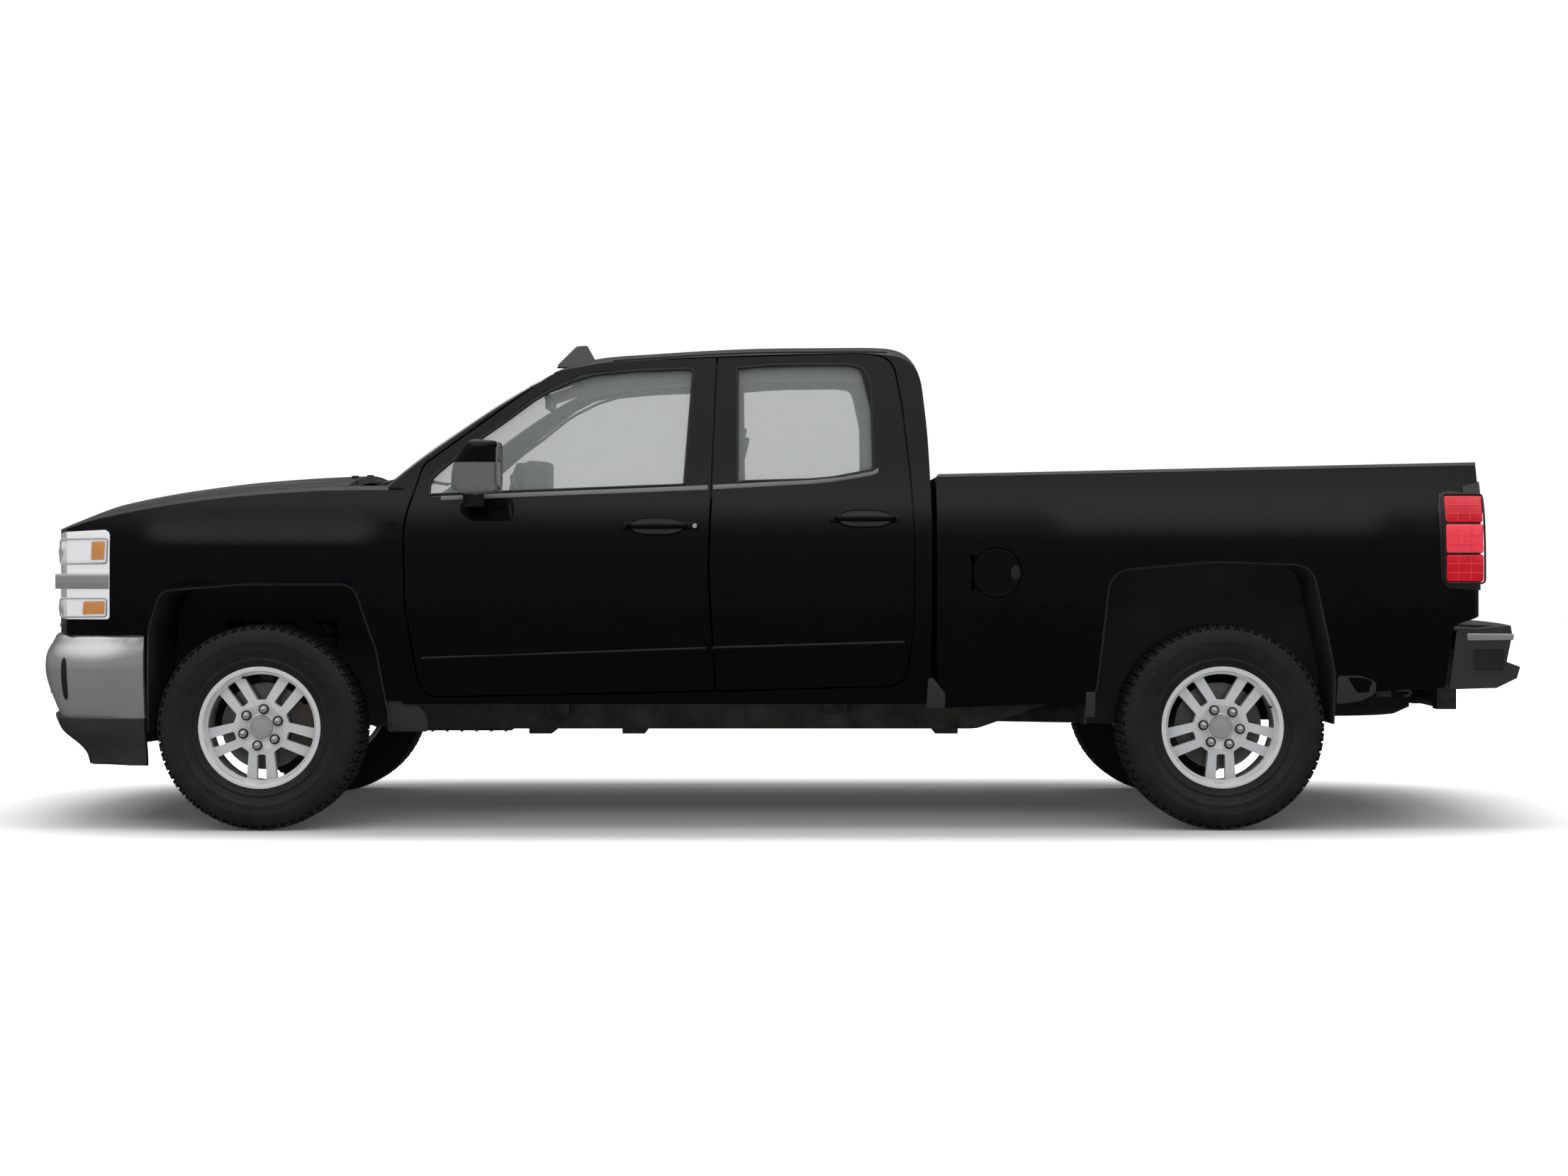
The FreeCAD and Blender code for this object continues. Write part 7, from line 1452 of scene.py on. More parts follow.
def model_bay_boxes():
    """Model the battery, fuse box, air box, coolant tank, brake booster and their lines."""
    pieces = []
    for name, x, y, z, cover, radius in (("battery", (-2.06, -1.8), (-0.755, -0.575), (0.968, 1.14), RUBBER_TRIM,
            0.006), ("battery_lid", (-2.064, -1.796), (-0.759, -0.571), (1.138, 1.152), CABIN_GREY, 0.004),
            ("battery_strap", (-1.945, -1.915), (-0.766, -0.564), (1.15, 1.16), STEEL, 0.003),
            ("battery_tray", (-2.08, -1.78), (-0.77, -0.56), (0.958, 0.972), STEEL, 0.004),
            ("fuse_box", (-1.76, -1.655), (-0.77, -0.6), (0.98, 1.095), CABIN, 0.01),
            ("fuse_box_lid", (-1.764, -1.651), (-0.774, -0.596), (1.093, 1.112), CABIN, 0.008),
            ("air_box", (-2.42, -2.12), (0.5, 0.77), (0.966, 1.07), CABIN, 0.02),
            ("air_box_lid", (-2.424, -2.116), (0.496, 0.774), (1.068, 1.125), CABIN, 0.022),
            ("coolant_tank", (-2.02, -1.82), (0.56, 0.74), (0.968, 1.12), LAMP_WHITE, 0.028),
            ("control_unit", (-1.77, -1.655), (0.59, 0.75), (1.01, 1.05), ALUMINIUM, 0.006),
            ("cylinder_tank", (-1.9, -1.8), (-0.455, -0.395), (1.12, 1.17), LAMP_WHITE, 0.012)):
        pieces.append(rounded_box(name, x, y, z, cover, radius, 3))
    for index, x in enumerate((-2.022, -1.838)):
        pieces.append(lathe("battery_post_" + str(index), [(-0.004, 0.0), (-0.004, 0.01), (0.014, 0.0088),
            (0.016, 0.0)], (x, -0.665, 1.152), (0, 0, 1), SATIN, 20))
        cable = rounded_path([(x, -0.665, 1.162), (x + 0.03, -0.61, 1.17), (x + 0.06, -0.54, 1.1),
            (x + 0.06, -0.5, 0.96)], 0.03)
        pieces.append(tube("battery_cable_" + str(index), cable, 0.0075, RED if index else RUBBER_TRIM, 10))
    for name, place in (("coolant_cap", (-1.96, 0.65, 1.118)), ("cylinder_cap", (-1.85, -0.425, 1.168)),
            ("washer_cap", (-2.36, -0.7, 1.06))):
        pieces.append(lathe(name, [(-0.01, 0.0), (-0.01, 0.024), (0.014, 0.026), (0.02, 0.022), (0.021, 0.0)], place,
            (0, 0, 1), RUBBER_TRIM, 28))
    pieces.append(lathe("washer_neck", [(-0.12, 0.0), (-0.12, 0.03), (-0.004, 0.022), (-0.004, 0.0)],
        (-2.36, -0.7, 1.06), (0, 0, 1), LAMP_WHITE, 28))
    pieces.append(lathe("brake_booster", [(0.0, 0.0), (0.0, 0.09), (0.025, 0.116), (0.045, 0.118), (0.05, 0.122),
        (0.058, 0.122), (0.063, 0.117), (0.09, 0.105), (0.112, 0.05), (0.118, 0.03), (0.118, 0.0)],
        (-1.64, -0.425, 1.09), (-1, 0, 0), STEEL, 48))
    pieces.append(lathe("master_cylinder", [(0.0, 0.0), (0.0, 0.026), (0.14, 0.024), (0.15, 0.018), (0.152, 0.0)],
        (-1.756, -0.425, 1.09), (-1, 0, 0), ALUMINIUM, 32))
    for index, (path, radius) in enumerate((([(-1.82, -0.44, 1.08), (-1.82, -0.47, 1.02), (-1.72, -0.47, 0.8),
            (-1.7, -0.43, 0.56)], 0.0032), ([(-1.86, -0.44, 1.08), (-1.86, -0.48, 1.02), (-1.74, -0.48, 0.8),
            (-1.72, -0.44, 0.56)], 0.0032), ([(-1.7, -0.38, 1.15), (-1.9, -0.26, 1.13), (-1.98, -0.15, 1.1)], 0.008),
            ([(-1.9, 0.56, 1.05), (-2.05, 0.42, 1.08), (-2.24, 0.2, 1.04)], 0.009),
            ([(-1.64, 0.3, 1.0), (-1.72, 0.3, 1.06), (-1.9, 0.25, 1.06)], 0.011),
            ([(-1.64, 0.22, 1.0), (-1.72, 0.22, 1.06), (-1.86, 0.18, 1.07)], 0.011))):
        pieces.append(tube("bay_line_" + str(index), rounded_path(path, 0.04), radius,
            RUBBER_TRIM if index > 1 else STEEL, 10))
    ride("root", *pieces)


def model_underbody():
    """Model the chassis lines, pans, shaft joints, dampers, spring bolts, hoses, stabiliser and axle cover."""
    pieces = []
    for index, (y, z) in enumerate(((-0.352, 0.505), (-0.364, 0.52), (-0.376, 0.505))):
        line = rounded_path([(-1.65, y, z), (-0.6, y, z), (0.7, y, z), (1.05, y, z + 0.085)], 0.08)
        pieces.append(tube("chassis_line_" + str(index), line, 0.004, STEEL, 8))
    pieces.append(rounded_box("gearbox_pan", (-1.48, -1.06), (-0.135, 0.135), (0.326, 0.35), STEEL, 0.01, 3))
    pieces.append(rounded_box("oil_pan", (-2.15, -1.7), (-0.16, 0.16), (0.38, 0.434), CAST, 0.02, 4))
    for index, y in enumerate((-0.122, 0.122)):
        bolt = lathe("pan_bolt_seed_" + str(index), [(0.0, 0.0), (0.0, 0.006), (0.005, 0.006), (0.006, 0.0)],
            (-1.45, y, 0.3265), (0, 0, -1), SATIN, 8)
        pieces.append(copies("pan_bolts_" + str(index), bolt, ROW, 7, (0, 0, 0), (0.06, 0, 0), SATIN))
    for name, x in (("front", -0.93), ("rear", 1.5)):
        z = 0.43 - (x + 0.986) * 0.016
        pieces.append(lathe("shaft_joint_" + name, [(-0.05, 0.0), (-0.05, 0.052), (-0.036, 0.058), (-0.02, 0.048),
            (0.02, 0.048), (0.036, 0.058), (0.05, 0.052), (0.05, 0.0)], (x, 0, z), (1, 0, 0), CAST, 32))
    for side, side_name in SIDES:
        for index, (foot, head) in enumerate((((1.77, side * 0.6, 0.36), (1.98, side * 0.54, 0.64)),
                ((-1.936, side * 0.56, 0.3), (-1.936, side * 0.51, 0.7)))):
            foot, head = Vector(foot), Vector(head)
            middle = foot.lerp(head, 0.55)
            name = side_name + ("_rear" if index == 0 else "_front")
            pieces.append(tube(name + "_damper", [foot, middle], 0.026, CABIN_GREY, 20))
            pieces.append(tube(name + "_damper_rod", [middle, head], 0.01, CHROME, 14))
        for index, x in enumerate((REAR_AXLE - 0.062, REAR_AXLE + 0.062)):
            for y in (0.485, 0.555):
                pieces.append(tube(side_name + "_spring_bolt_" + str(index) + "_" + str(int(y * 1000)),
                    [Vector((x, side * y, 0.3)), Vector((x, side * y, 0.49))], 0.006, STEEL, 10))
        hose = rounded_path([(-1.96, side * 0.48, 0.62), (-1.98, side * 0.56, 0.6), (-1.97, side * 0.6, 0.52)], 0.03)
        pieces.append(tube(side_name + "_brake_hose", hose, 0.0055, RUBBER_TRIM, 10))
    bar = rounded_path([(-1.85, -0.56, 0.33), (-2.12, -0.54, 0.4), (-2.13, -0.4, 0.4), (-2.13, 0.4, 0.4),
        (-2.12, 0.54, 0.4), (-1.85, 0.56, 0.33)], 0.05)
    pieces.append(tube("stabiliser_bar", bar, 0.013, STEEL, 14))
    pieces.append(lathe("axle_cover", [(0.0, 0.0), (0.0, 0.128), (0.012, 0.13), (0.03, 0.112), (0.06, 0.08),
        (0.072, 0.0)], (REAR_AXLE + 0.105, 0.0, 0.37), (1, 0, 0), STEEL, 48))
    ride("root", *pieces)


model_radiator()
model_engine()
model_bay_boxes()
model_underbody()


# Cabin

PAD_ROUNDING = 0.32
STUFFING_FRAMES = 12


def soft_block(name, size, place, material, node_body, swell=0.024):
    """Model a stuffed pad: a rounded block that is puffed up by a cloth simulation."""
    shape = bmesh.new()
    bmesh.ops.create_cube(shape, size=1.0)
    for corner in shape.verts:
        corner.co = Vector([corner.co[axis] * (size[axis] - swell * 0.9) for axis in range(3)])
    bmesh.ops.bevel(shape, geom=shape.edges[:], offset=min(size) * PAD_ROUNDING, segments=4, profile=0.5,
        affect="EDGES")
    pad_object = from_shape(name, shape, material, 180.0)
    remesh = pad_object.modifiers.new("even grid", "REMESH")
    remesh.mode = "VOXEL"
    remesh.voxel_size = 0.0095
    apply_all(pad_object)
    cloth = pad_object.modifiers.new("stuffing", "CLOTH")
    cloth.settings.use_pressure = True
    cloth.settings.uniform_pressure_force = 4.0
    cloth.settings.quality = 4
    cloth.settings.mass = 0.3
    cloth.settings.effector_weights.gravity = 0.0
    cloth.point_cache.frame_start = 1
    cloth.point_cache.frame_end = STUFFING_FRAMES
    before = [corner.co.copy() for corner in pad_object.data.vertices]
    scene = bpy.context.scene
    for number in range(1, STUFFING_FRAMES + 1):
        scene.frame_set(number)
        bpy.context.view_layer.update()
    apply_all(pad_object)
    scene.frame_set(1)
    for corner, old in zip(pad_object.data.vertices, before):
        moved = corner.co - old
        if moved.length > swell:
            corner.co = old + moved.normalized() * swell
    for corner in pad_object.data.vertices:
        for axis in range(3):
            limit = size[axis] / 2
            corner.co[axis] = max(-limit, min(limit, corner.co[axis]))
    pad_object.data.transform(place)
    pad_object.data.shade_smooth()
    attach(pad_object, node_body)


def apply_all(thing):
    """Turn an object's modifiers into its mesh."""
    bpy.context.view_layer.update()
    whole = thing.evaluated_get(bpy.context.evaluated_depsgraph_get())
    mesh = bpy.data.meshes.new_from_object(whole)
    old = thing.data
    thing.modifiers.clear()
    thing.data = mesh
    bpy.data.meshes.remove(old)
    thing.data.shade_smooth()


def belt(name, path, width):
    """Model a strip of webbing along a path, flat to the seat."""
    path = rounded_path(path, 0.05, 5)
    loops = []
    for index, point in enumerate(path):
        before, after = path[max(index - 1, 0)], path[min(index + 1, len(path) - 1)]
        along = (after - before).normalized()
        wide = along.cross(Vector((1, 0, 0)))
        wide = (wide if wide.length > 0.2 else Vector((0, 1, 0))).normalized() * width / 2
        thick = along.cross(wide).normalized() * 0.0008
        loops.append([point - wide - thick, point + wide - thick, point + wide + thick, point - wide + thick])
    ride("root", loft(name, loops, BELT))


def model_front_seat(side, side_name):
    """Model one front seat's cloth pads, bolsters, head posts, side trim, lever, rails, buckle and belt."""
    middle = side * 0.43
    x = FRONT_AXLE + 1.09
    soft_block(side_name + "_seat_cushion", (0.505, 0.49, 0.148), Matrix.Translation((x + 0.262, middle, 0.838)),
        CLOTH, "root")
    lean = Matrix.Translation((x + 0.468, 0, 0.9)) @ Matrix.Rotation(math.radians(14.0), 4, "Y")
    soft_block(side_name + "_seat_back", (0.132, 0.49, 0.52), lean @ Matrix.Translation((0.062, middle, 0.245)),
        CLOTH, "root")
    soft_block(side_name + "_head_rest", (0.104, 0.262, 0.168), lean @ Matrix.Translation((0.063, middle, 0.606)),
        CLOTH, "root")
    pieces = []
    for offset in (-0.215, 0.215):
        y = middle + offset
        pieces.append(rounded_box(side_name + "_seat_bolster_" + str(int(offset * 100) + 30), (x + 0.03, x + 0.505),
            (y - 0.055, y + 0.055), (0.762, 0.903), CLOTH_SIDE, 0.03, 5))
    for offset in (-0.06, 0.06):
        start = lean @ Vector((0.062, middle + offset, 0.49))
        end = lean @ Vector((0.062, middle + offset, 0.56))
        pieces.append(tube(side_name + "_head_post_" + str(int(offset * 100) + 9), [start, end], 0.006, CHROME, 12))
    pieces.append(rounded_box(side_name + "_seat_valance", (x + 0.05, x + 0.5),
        (middle + side * 0.268, middle + side * 0.284), (0.69, 0.79), CABIN, 0.008, 3))
    pieces.append(tube(side_name + "_recline_lever",
        rounded_path([(x + 0.4, middle + side * 0.284, 0.745), (x + 0.4, middle + side * 0.3, 0.745),
        (x + 0.28, middle + side * 0.3, 0.75)], 0.012), 0.008, CABIN, 12))
    for rail in (-0.17, 0.17):
        pieces.append(rounded_box(side_name + "_seat_rail_" + str(int(rail * 100) + 20), (x + 0.02, x + 0.52),
            (middle + rail - 0.02, middle + rail + 0.02), (0.5905, 0.618), STEEL, 0.004, 2))
    buckle = middle - side * 0.272
    pieces.append(rounded_box(side_name + "_buckle", (x + 0.435, x + 0.465), (buckle - 0.012, buckle + 0.012),
        (0.85, 0.935), CABIN, 0.006, 3))
    pieces.append(rounded_box(side_name + "_buckle_button", (x + 0.442, x + 0.458), (buckle - 0.008, buckle + 0.008),
        (0.933, 0.938), RED, 0.002, 2))
    ride("root", *pieces)
    top = Vector((x + 0.7, middle + side * 0.29, 1.4))
    belt(side_name + "_belt", [top, top + Vector((-0.012, side * 0.012, -0.25)),
        Vector((x + 0.56, middle + side * 0.305, 0.95)), Vector((x + 0.47, middle + side * 0.3, 0.64))], 0.046)


def model_bench():
    """Model the rear bench's pads, head rests and belts."""
    rear = CAB_REAR - 0.045
    for index, middle in enumerate((-0.475, 0.0, 0.475)):
        soft_block("bench_cushion_" + str(index), (0.475, 0.46, 0.146), Matrix.Translation((0.272, middle, 0.838)),
            CLOTH, "root", 0.022)
        soft_block("bench_back_" + str(index), (0.096, 0.46, 0.54), Matrix.Translation((rear - 0.068, middle, 1.135)),
            CLOTH, "root", 0.016)
    for index, middle in enumerate((-0.471, 0.471)):
        soft_block("bench_head_" + str(index), (0.086, 0.262, 0.12),
            Matrix.Translation((rear - 0.062, middle, 1.458)), CLOTH, "root", 0.014)
    for side, side_name in SIDES:
        belt(side_name + "_rear_belt", [(rear - 0.118, side * 0.64, 1.4), (rear - 0.128, side * 0.56, 1.1),
            (rear - 0.16, side * 0.44, 0.915)], 0.044)


DRIVER_Y = -0.385


def model_dashboard():
    """Model the dashboard's cluster, display, vents, knobs and glove box, the levers, pedals and console."""
    rear = FRONT_AXLE + 0.47 + 0.4
    hood_loops = []
    for y in spread(-0.55, -0.22, 19):
        share = (y - DRIVER_Y) / 0.165
        rise = 0.042 * max(0.0, 1 - share * share) ** 0.5
        hood_loops.append([Vector((rear - 0.17, y, 1.225)), Vector((rear - 0.15, y, 1.252 + rise * 0.55)),
            Vector((rear - 0.07, y, 1.232 + rise)), Vector((rear - 0.058, y, 1.224 + rise)),
            Vector((rear - 0.075, y, 1.2))])
    pieces = [loft("cluster_hood", hood_loops, CABIN)]
    for index, y in enumerate((-0.455, -0.315)):
        centre = (rear - 0.036, y, 1.155)
        pieces.append(lathe("dial_" + str(index), [(-0.02, 0.0), (-0.02, 0.05), (0.002, 0.051), (0.006, 0.048),
            (0.001, 0.045), (0.001, 0.0)], centre, (1, 0, 0.25), SCREEN, 48))
        pieces.append(lathe("dial_rim_" + str(index), [(-0.002, 0.05), (0.0075, 0.05), (0.0075, 0.053),
            (-0.002, 0.053)], centre, (1, 0, 0.25), CHROME, 48))
    screen = rounded_rectangle((-0.105, 0.105), (1.09, 1.185), 0.008)
    pieces.append(plate("centre_display", screen, (-0.02, 0.0045), facing_x(rear - 0.02), SCREEN))
    for index, y in enumerate((-0.76, -0.165, 0.165, 0.76)):
        pieces.append(rounded_box("vent_" + str(index), (rear - 0.045, rear - 0.01), (y - 0.045, y + 0.045),
            (1.1, 1.172), RUBBER_TRIM, 0.008, 3))
        slat = rounded_box("slat_" + str(index), (rear - 0.02, rear - 0.006), (y - 0.04, y + 0.04), (1.107, 1.11),
            CABIN, 0.0012, 2)
        pieces.append(copies("vent_slats_" + str(index), slat, ROW, 6, (0, 0, 0), (0, 0, 0.0115), CABIN))
    for index, y in enumerate((-0.075, 0.0, 0.075)):
        pieces.append(lathe("climate_knob_" + str(index), [(-0.012, 0.0), (-0.012, 0.026), (0.004, 0.026),
            (0.018, 0.0215), (0.021, 0.019), (0.021, 0.0)], (rear - 0.016, y, 1.045), (1, 0, 0.1), CABIN, 32))
    lid = rounded_rectangle((0.23, 0.68), (0.925, 1.06), 0.02)
    pieces.append(plate("glove_box", lid, (-0.02, 0.0025), facing_x(rear), CABIN, 0.0022))
    pieces.append(rounded_box("glove_latch", (rear - 0.001, rear + 0.012), (0.425, 0.485), (1.03, 1.046), CABIN,
        0.004, 3))
    column = Vector((-1.03, DRIVER_Y, 1.165))
    for index, sign in enumerate((-1, 1)):
        path = rounded_path([column + Vector((0, sign * 0.035, 0.012)), column + Vector((0.012, sign * 0.1, 0.02)),
            column + Vector((0.03, sign * 0.165, 0.02))], 0.02)
        pieces.append(tube("column_stalk_" + str(index), path, [0.006] * (len(path) - 3) + [0.009, 0.01, 0.008],
            CABIN, 12))
    lever = rounded_path([column + Vector((-0.01, 0.04, 0.02)), column + Vector((0.0, 0.11, 0.085)),
        column + Vector((0.05, 0.175, 0.11))], 0.03)
    pieces.append(tube("gear_lever", lever, [0.007] * (len(lever) - 3) + [0.01, 0.013, 0.009], CABIN, 14))
    for index, (y, wide) in enumerate(((-0.3, 0.055), (-0.43, 0.085))):
        x = -1.335 + index * 0.01
        pieces.append(rounded_box("pedal_" + str(index), (x, x + 0.014), (y - wide / 2, y + wide / 2), (0.69, 0.79),
            RUBBER_TRIM, 0.005, 3, Matrix.Rotation(math.radians(-25), 3, "Y")))
        arm = rounded_path([(x - 0.005, y, 0.745), (x - 0.03, y, 0.9), (x - 0.04, y, 1.01)], 0.05)
        pieces.append(tube("pedal_arm_" + str(index), arm, 0.008, STEEL, 10))
    console_top = 0.91
    for index, x in enumerate((rear + 0.08, rear + 0.18)):
        pieces.append(lathe("cup_rim_" + str(index), [(-0.002, 0.036), (0.004, 0.036), (0.005, 0.04), (0.003, 0.043),
            (-0.002, 0.043)], (x, 0.0, console_top), (0, 0, 1), SATIN, 40))
        pieces.append(lathe("cup_well_" + str(index), [(-0.002, 0.0), (-0.002, 0.0355), (0.0006, 0.0355),
            (0.0006, 0.0)], (x, 0.0, console_top), (0, 0, 1), RUBBER_TRIM, 40))
    pieces.append(rounded_box("console_lid", (rear + 0.3, rear + 0.595), (-0.118, 0.118),
        (console_top - 0.002, console_top + 0.045), CLOTH_SIDE, 0.016, 4))
    pieces.append(rounded_box("inner_mirror", (-0.93, -0.905), (-0.125, 0.125), (1.64, 1.7), CABIN, 0.01, 4))
    pieces.append(rounded_box("inner_mirror_glass", (-0.9065, -0.9035), (-0.117, 0.117), (1.646, 1.694), MIRROR,
        0.001, 2))
    pieces.append(tube("inner_mirror_stem", [(-0.92, 0.0, 1.685), (-0.935, 0.0, 1.722)], 0.007, CABIN, 12))
    ride("root", *pieces)


def model_steering_wheel():
    """Model the steering wheel's pad, spokes, buttons and rim seam."""
    centre = Vector((FRONT_AXLE + 0.976, DRIVER_Y, 1.195))
    tilt = Matrix.Translation(centre) @ Matrix.Rotation(math.radians(-24.0), 4, "Y")
    pad_outline = rounded_outline([(-0.078, -0.062), (0.078, -0.062), (0.092, 0.04), (-0.092, 0.04)], 0.03)
    pieces = [plate("horn_pad", pad_outline, (0.01, 0.038), lambda u, v, w: tilt @ Vector((w, u, v)), CABIN, 0.01, 4)]
    for index, degrees in enumerate((0, 180, 270)):
        angle = math.radians(degrees)
        inner, outer = 0.055, 0.172
        side_axis = Vector((0, -math.sin(angle), math.cos(angle)))
        ray = Vector((0, math.cos(angle), math.sin(angle)))
        loops = []
        for share in spread(0.0, 1.0, 8):
            place = ray * (inner + (outer - inner) * share)
            wide = 0.026 - 0.01 * math.sin(share * math.pi)
            loops.append([tilt @ (place + side_axis * wide * math.cos(a) + Vector((0.006 + 0.009 * math.sin(a), 0,
                0))) for a in bearings(12)])
        pieces.append(loft("wheel_spoke_" + str(index), loops, SATIN if index == 2 else CABIN))
        if index < 2:
            outline = rounded_outline([(inner + 0.04, -0.012), (inner + 0.085, -0.01), (inner + 0.085, 0.014),
                (inner + 0.04, 0.016)], 0.005)
            pieces.append(plate("spoke_buttons_" + str(index), outline,
                (0.012, 0.0185), lambda u, v, w: tilt @ Vector((w, math.cos(angle) * u, v)), RUBBER_TRIM, 0.002, 2))
    pieces.append(tube("rim_seam", [tilt @ Vector((0.0, 0.1602 * math.cos(a), 0.1602 * math.sin(a))) for a in
        bearings(96)], 0.0012, CABIN_GREY, 6, True))
    ride("steering_wheel", *pieces)


DOOR_SKIN = -0.0752


def model_door_trim(side, side_name, which, start, end):
    """Model the inside of a door: lining, armrest, handle, pocket, window switch and speaker."""
    name = side_name + "_" + which + "_door_"
    speaker = ((start if which == "front" else end - 0.3) + 0.16, 0.86)
    ring = [side_point(x, z, side, DOOR_SKIN - 0.0085) for x, z in oval(speaker, 0.066, 0.066, 48)]
    pieces = [tube(name + "speaker_rim", ring, 0.0045, CABIN, 8, True)]
    for label, outline, inner, outer, material, radius in (("lining",
            rounded_outline([(start, 0.64), (end, 0.655), (end, 1.215), (start, 1.2)], 0.03), 0.0065, -0.0005, CABIN,
            0.0025), ("arm_rest", rounded_outline([(start + 0.2, 0.985), (end - 0.16, 0.995), (end - 0.16, 1.035),
            (start + 0.2, 1.045)], 0.015), 0.056, 0.004, CLOTH_SIDE, 0.01),
            ("inner_handle", rounded_outline([(start + 0.1, 1.09), (start + 0.21, 1.094), (start + 0.21, 1.128),
            (start + 0.1, 1.124)], 0.012), 0.016, 0.004, SATIN, 0.004),
            ("pocket", rounded_outline([(start + 0.1, 0.68), (end - 0.22, 0.69), (end - 0.22, 0.78),
            (start + 0.1, 0.79)], 0.02), 0.034, 0.004, CABIN, 0.008),
            ("switch", rounded_outline([(start + 0.28, 1.046), (start + 0.36, 1.048), (start + 0.36, 1.06),
            (start + 0.28, 1.058)], 0.004), 0.046, 0.014, RUBBER_TRIM, 0.002),
            ("speaker", oval(speaker, 0.062, 0.062, 40), 0.0095, 0.004, RUBBER_TRIM, 0.0015)):
        pieces.append(plate(name + label, outline, (DOOR_SKIN - inner, DOOR_SKIN - outer), body_side(side), material,
            radius, 3))
    ride(door_of(side_name, which), *pieces)


def model_linings():
    """Model the roof lining, the sun visors and the floor mats."""
    loops = []
    for x in spread(-0.8, 0.5, 18):
        row = []
        for y in spread(-0.6, 0.6, 17):
            place = hit(CAB_TREE, (x, y, 1.55), (0, 0, 1), 0.6)
            row.append((x, y, (place.z if place else 1.8) - 0.0035))
        loops.append(row + [(x, y, z - 0.006) for x, y, z in reversed(row)])
    pieces = [loft("roof_lining", loops, CABIN_GREY, False, 60.0)]
    for side, side_name in SIDES:
        pieces.append(rounded_box(side_name + "_sun_visor", (-0.96, -0.8), (side * 0.13, side * 0.52), (1.716, 1.736),
            CABIN_GREY, 0.008, 3, Matrix.Rotation(math.radians(-18), 3, "Y")))
        pieces.append(rounded_box(side_name + "_floor_mat", (-1.27, -0.9), (side * 0.2, side * 0.64), (0.5902, 0.6),
            CARPET, 0.004, 2))
        pieces.append(rounded_box(side_name + "_rear_mat", (-0.24, 0.03), (side * 0.16, side * 0.64), (0.5902, 0.6),
            CARPET, 0.004, 2))
    ride("root", *pieces)


for seat_side, seat_name in SIDES:
    model_front_seat(seat_side, seat_name)
    model_door_trim(seat_side, seat_name, "front", -1.27, -0.33)
    model_door_trim(seat_side, seat_name, "rear", -0.145, 0.415)
model_bench()
model_dashboard()
model_steering_wheel()
model_linings()


# Stage, light and camera

def surround(tree, height, *stops):
    """Light by the height of a ray's end; stops are (share of the way up, colour), lowest and highest first."""
    ramp = tree.nodes.new("ShaderNodeValToRGB")
    elements = ramp.color_ramp.elements
    elements[0].position, elements[1].position = 0.0, 1.0
    for index, (position, colour) in enumerate(stops):
        stop = elements[index] if index < 2 else elements.new(position)
        stop.color = (*colour, 1.0)
    tree.links.new(rescale(tree, height, -1.0, 1.0, 0.0, 1.0), ramp.inputs[0])
    light = put(tree, "ShaderNodeBackground", in_Strength=1.0)
    tree.links.new(ramp.outputs[0], light.inputs["Color"])
    return light.outputs[0]


def mix_shaders(tree, factor, first, second):
    """Mix two shaders' sockets. Return the result's socket."""
    node = tree.nodes.new("ShaderNodeMixShader")
    for socket, source in zip(node.inputs, (factor, first, second)):
        tree.links.new(source, socket)
    return node.outputs[0]


def white_world():
    """Show white to the camera, a room with a dark horizon to mirrors and a soft sky to everything else."""
    world = bpy.data.worlds.new("studio")
    bpy.context.scene.world = world
    world.use_nodes = True
    tree = world.node_tree
    tree.nodes.clear()
    height = split_place(tree, place_of(tree, "Generated"))["Z"]
    sky = surround(tree, height, (0.0, (0.26, 0.26, 0.26)), (1.0, (0.95, 0.95, 0.96)), (0.49, (0.3, 0.3, 0.303)),
        (0.52, (0.34, 0.34, 0.3434)), (0.7, (0.62, 0.62, 0.6262)))
    room = surround(tree, height, *((position, (level, level, level)) for position,
        level in ((0.0, 0.03), (1.0, 1.0), (0.5, 0.1), (0.6, 0.13), (0.72, 0.45), (0.85, 0.8))))
    plain = put(tree, "ShaderNodeBackground", in_Color=(1.0, 1.0, 1.0, 1.0), in_Strength=1.0).outputs[0]
    seen = tree.nodes.new("ShaderNodeLightPath").outputs
    clear = calculate(tree, "MAXIMUM", seen["Is Camera Ray"], seen["Is Transmission Ray"])
    mixed = mix_shaders(tree, clear, mix_shaders(tree, seen["Is Glossy Ray"], sky, room), plain)
    tree.links.new(mixed, tree.nodes.new("ShaderNodeOutputWorld").inputs[0])


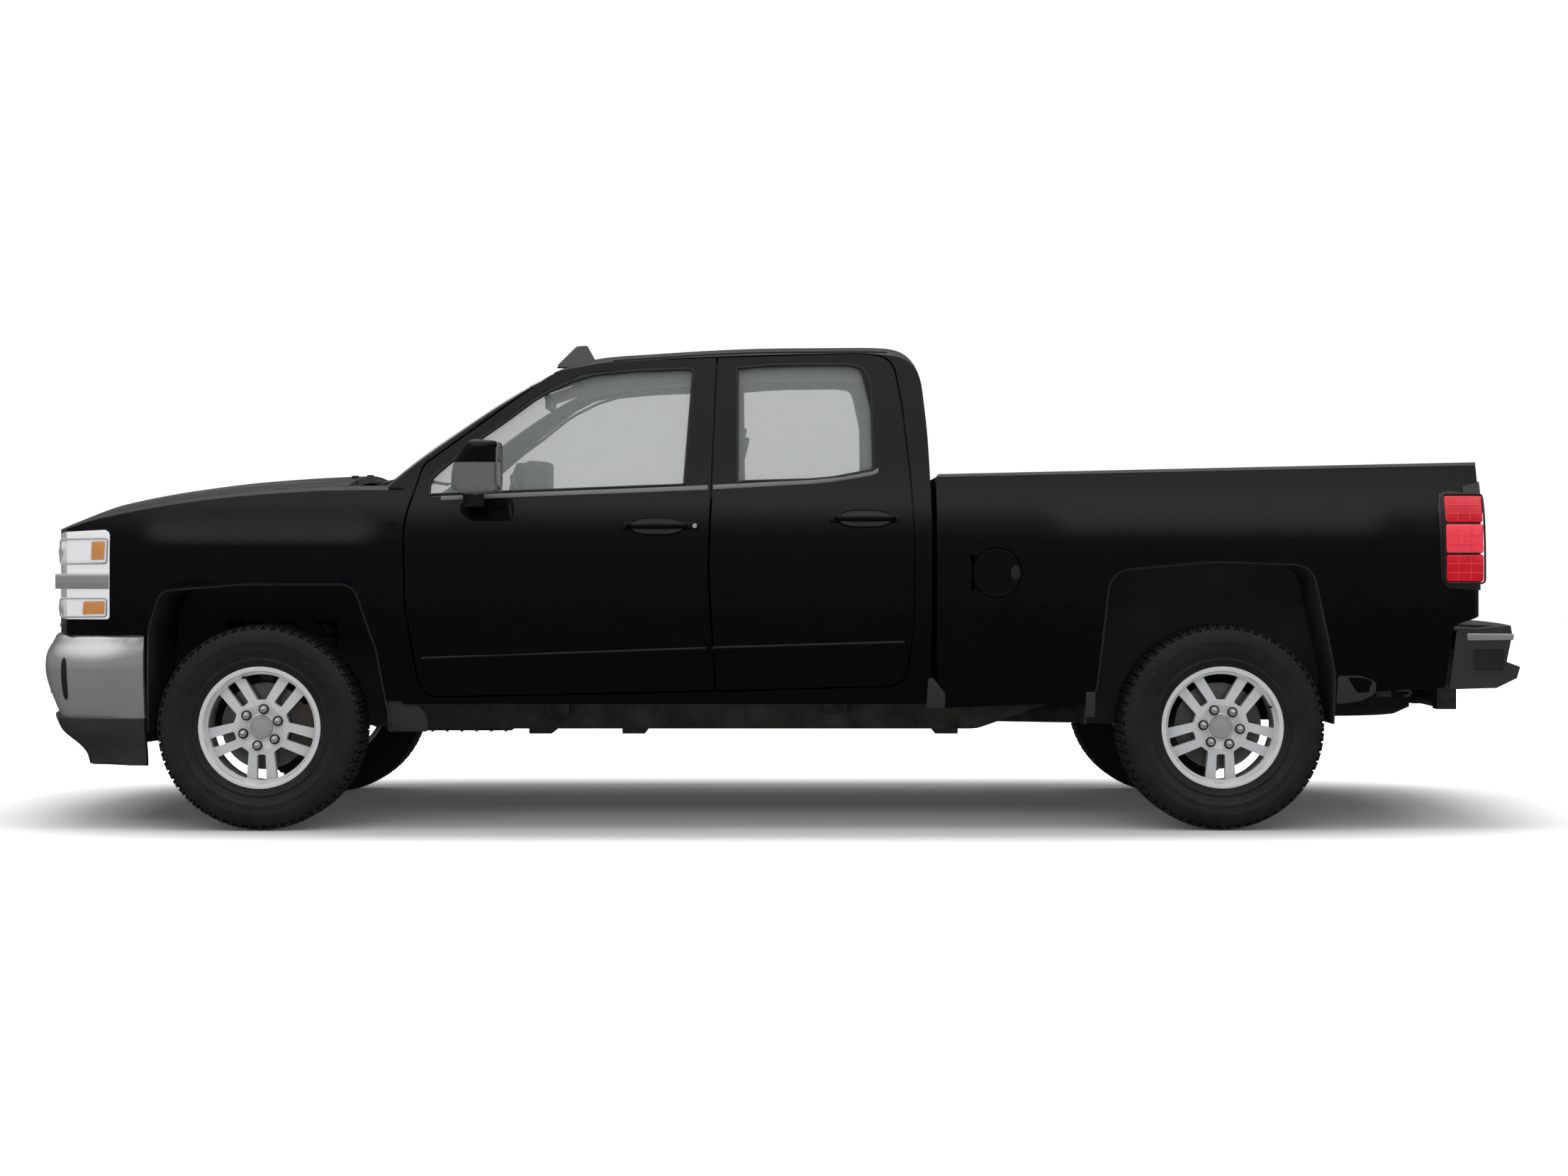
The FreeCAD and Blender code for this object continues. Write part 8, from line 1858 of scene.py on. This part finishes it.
def pale_floor():
    """Lay a white floor that keeps the soft contact shadow, adds a painted shadow under the truck and shows dim in
    mirrors.
    """
    material = bpy.data.materials.new("pale studio floor")
    material.use_nodes = True
    tree = material.node_tree
    tree.nodes.clear()
    link = tree.links.new
    place = place_of(tree)
    split = split_place(tree, place)
    matt = put(tree, "ShaderNodeBsdfDiffuse", in_Roughness=0.6)
    lift = put(tree, "ShaderNodeEmission", in_Color=(1.0, 1.0, 1.0, 1.0))
    seen = tree.nodes.new("ShaderNodeLightPath").outputs
    shares = []
    for axis, half in (("X", 3.35), ("Y", 1.6)):
        share = calculate(tree, "ABSOLUTE", calculate(tree, "DIVIDE", split[axis], half))
        shares.append(calculate(tree, "POWER", share, 4.0))
    reach = calculate(tree, "SQRT", calculate(tree, "ADD", *shares))
    # Painted shadow: the camera-only glow that whitens the floor fades out towards the truck.
    level = rescale(tree, reach, 0.55, 1.6, 0.04, 0.8)
    # Painted shadow: the floor's colour, a random tone, is darkened towards the truck.
    floor_tone_and_painted_shadow = calculate(tree, "MULTIPLY", rescale(tree, noise(tree, place, 0.6, 4.0), 0.3, 0.7, 0.86, 0.9),
        rescale(tree, reach, 0.5, 1.1, 0.5, 1.0))
    link(grey_from(tree, floor_tone_and_painted_shadow), matt.inputs["Color"])
    link(calculate(tree, "MULTIPLY", level, seen["Is Camera Ray"]), lift.inputs["Strength"])
    total = tree.nodes.new("ShaderNodeAddShader")
    link(matt.outputs[0], total.inputs[0])
    link(lift.outputs[0], total.inputs[1])
    dim = put(tree, "ShaderNodeEmission", in_Color=(1.0, 1.0, 1.0, 1.0), in_Strength=0.05)
    mixed = mix_shaders(tree, seen["Is Glossy Ray"], total.outputs[0], dim.outputs[0])
    link(mixed, tree.nodes.new("ShaderNodeOutputMaterial").inputs[0])
    size = 30.0
    corners = ((-size, -size), (size, -size), (size, size), (-size, size))
    floor = loft("studio_floor", [[(x, y, z) for x, y in corners] for z in (-0.02, 0.0)], material)


def add_light(name, place, aim, size, power):
    """Add a soft rectangular light."""
    data = bpy.data.lights.new(name, "AREA")
    data.shape = "RECTANGLE"
    data.size, data.size_y = size
    data.energy = power
    light = bpy.data.objects.new(name, data)
    light.location = place
    light.rotation_mode = "QUATERNION"
    light.rotation_quaternion = (Vector(aim) - Vector(place)).to_track_quat("-Z", "Y")
    light.visible_glossy = False
    bpy.context.scene.collection.objects.link(light)


white_world()
pale_floor()
add_light("top_light", (0.0, -0.6, 6.5), (0.0, 0.0, 0.0), (9.0, 4.5), 420.0)
add_light("side_light", (-1.5, -9.0, 5.2), (0.0, 0.0, 0.8), (9.0, 2.0), 160.0)

camera_data = bpy.data.cameras.new("side_camera")
camera_data.sensor_width = 36.0
camera_data.lens = 63.4
camera_data.shift_y = -0.0188
camera_data.clip_end = 200.0
camera = bpy.data.objects.new("side_camera", camera_data)
camera.location = (0.048, -11.425, 1.03)
camera.rotation_euler = (math.pi / 2, 0.0, 0.0)
bpy.context.scene.collection.objects.link(camera)
bpy.context.scene.camera = camera
bpy.context.scene.view_settings.view_transform = "Standard"
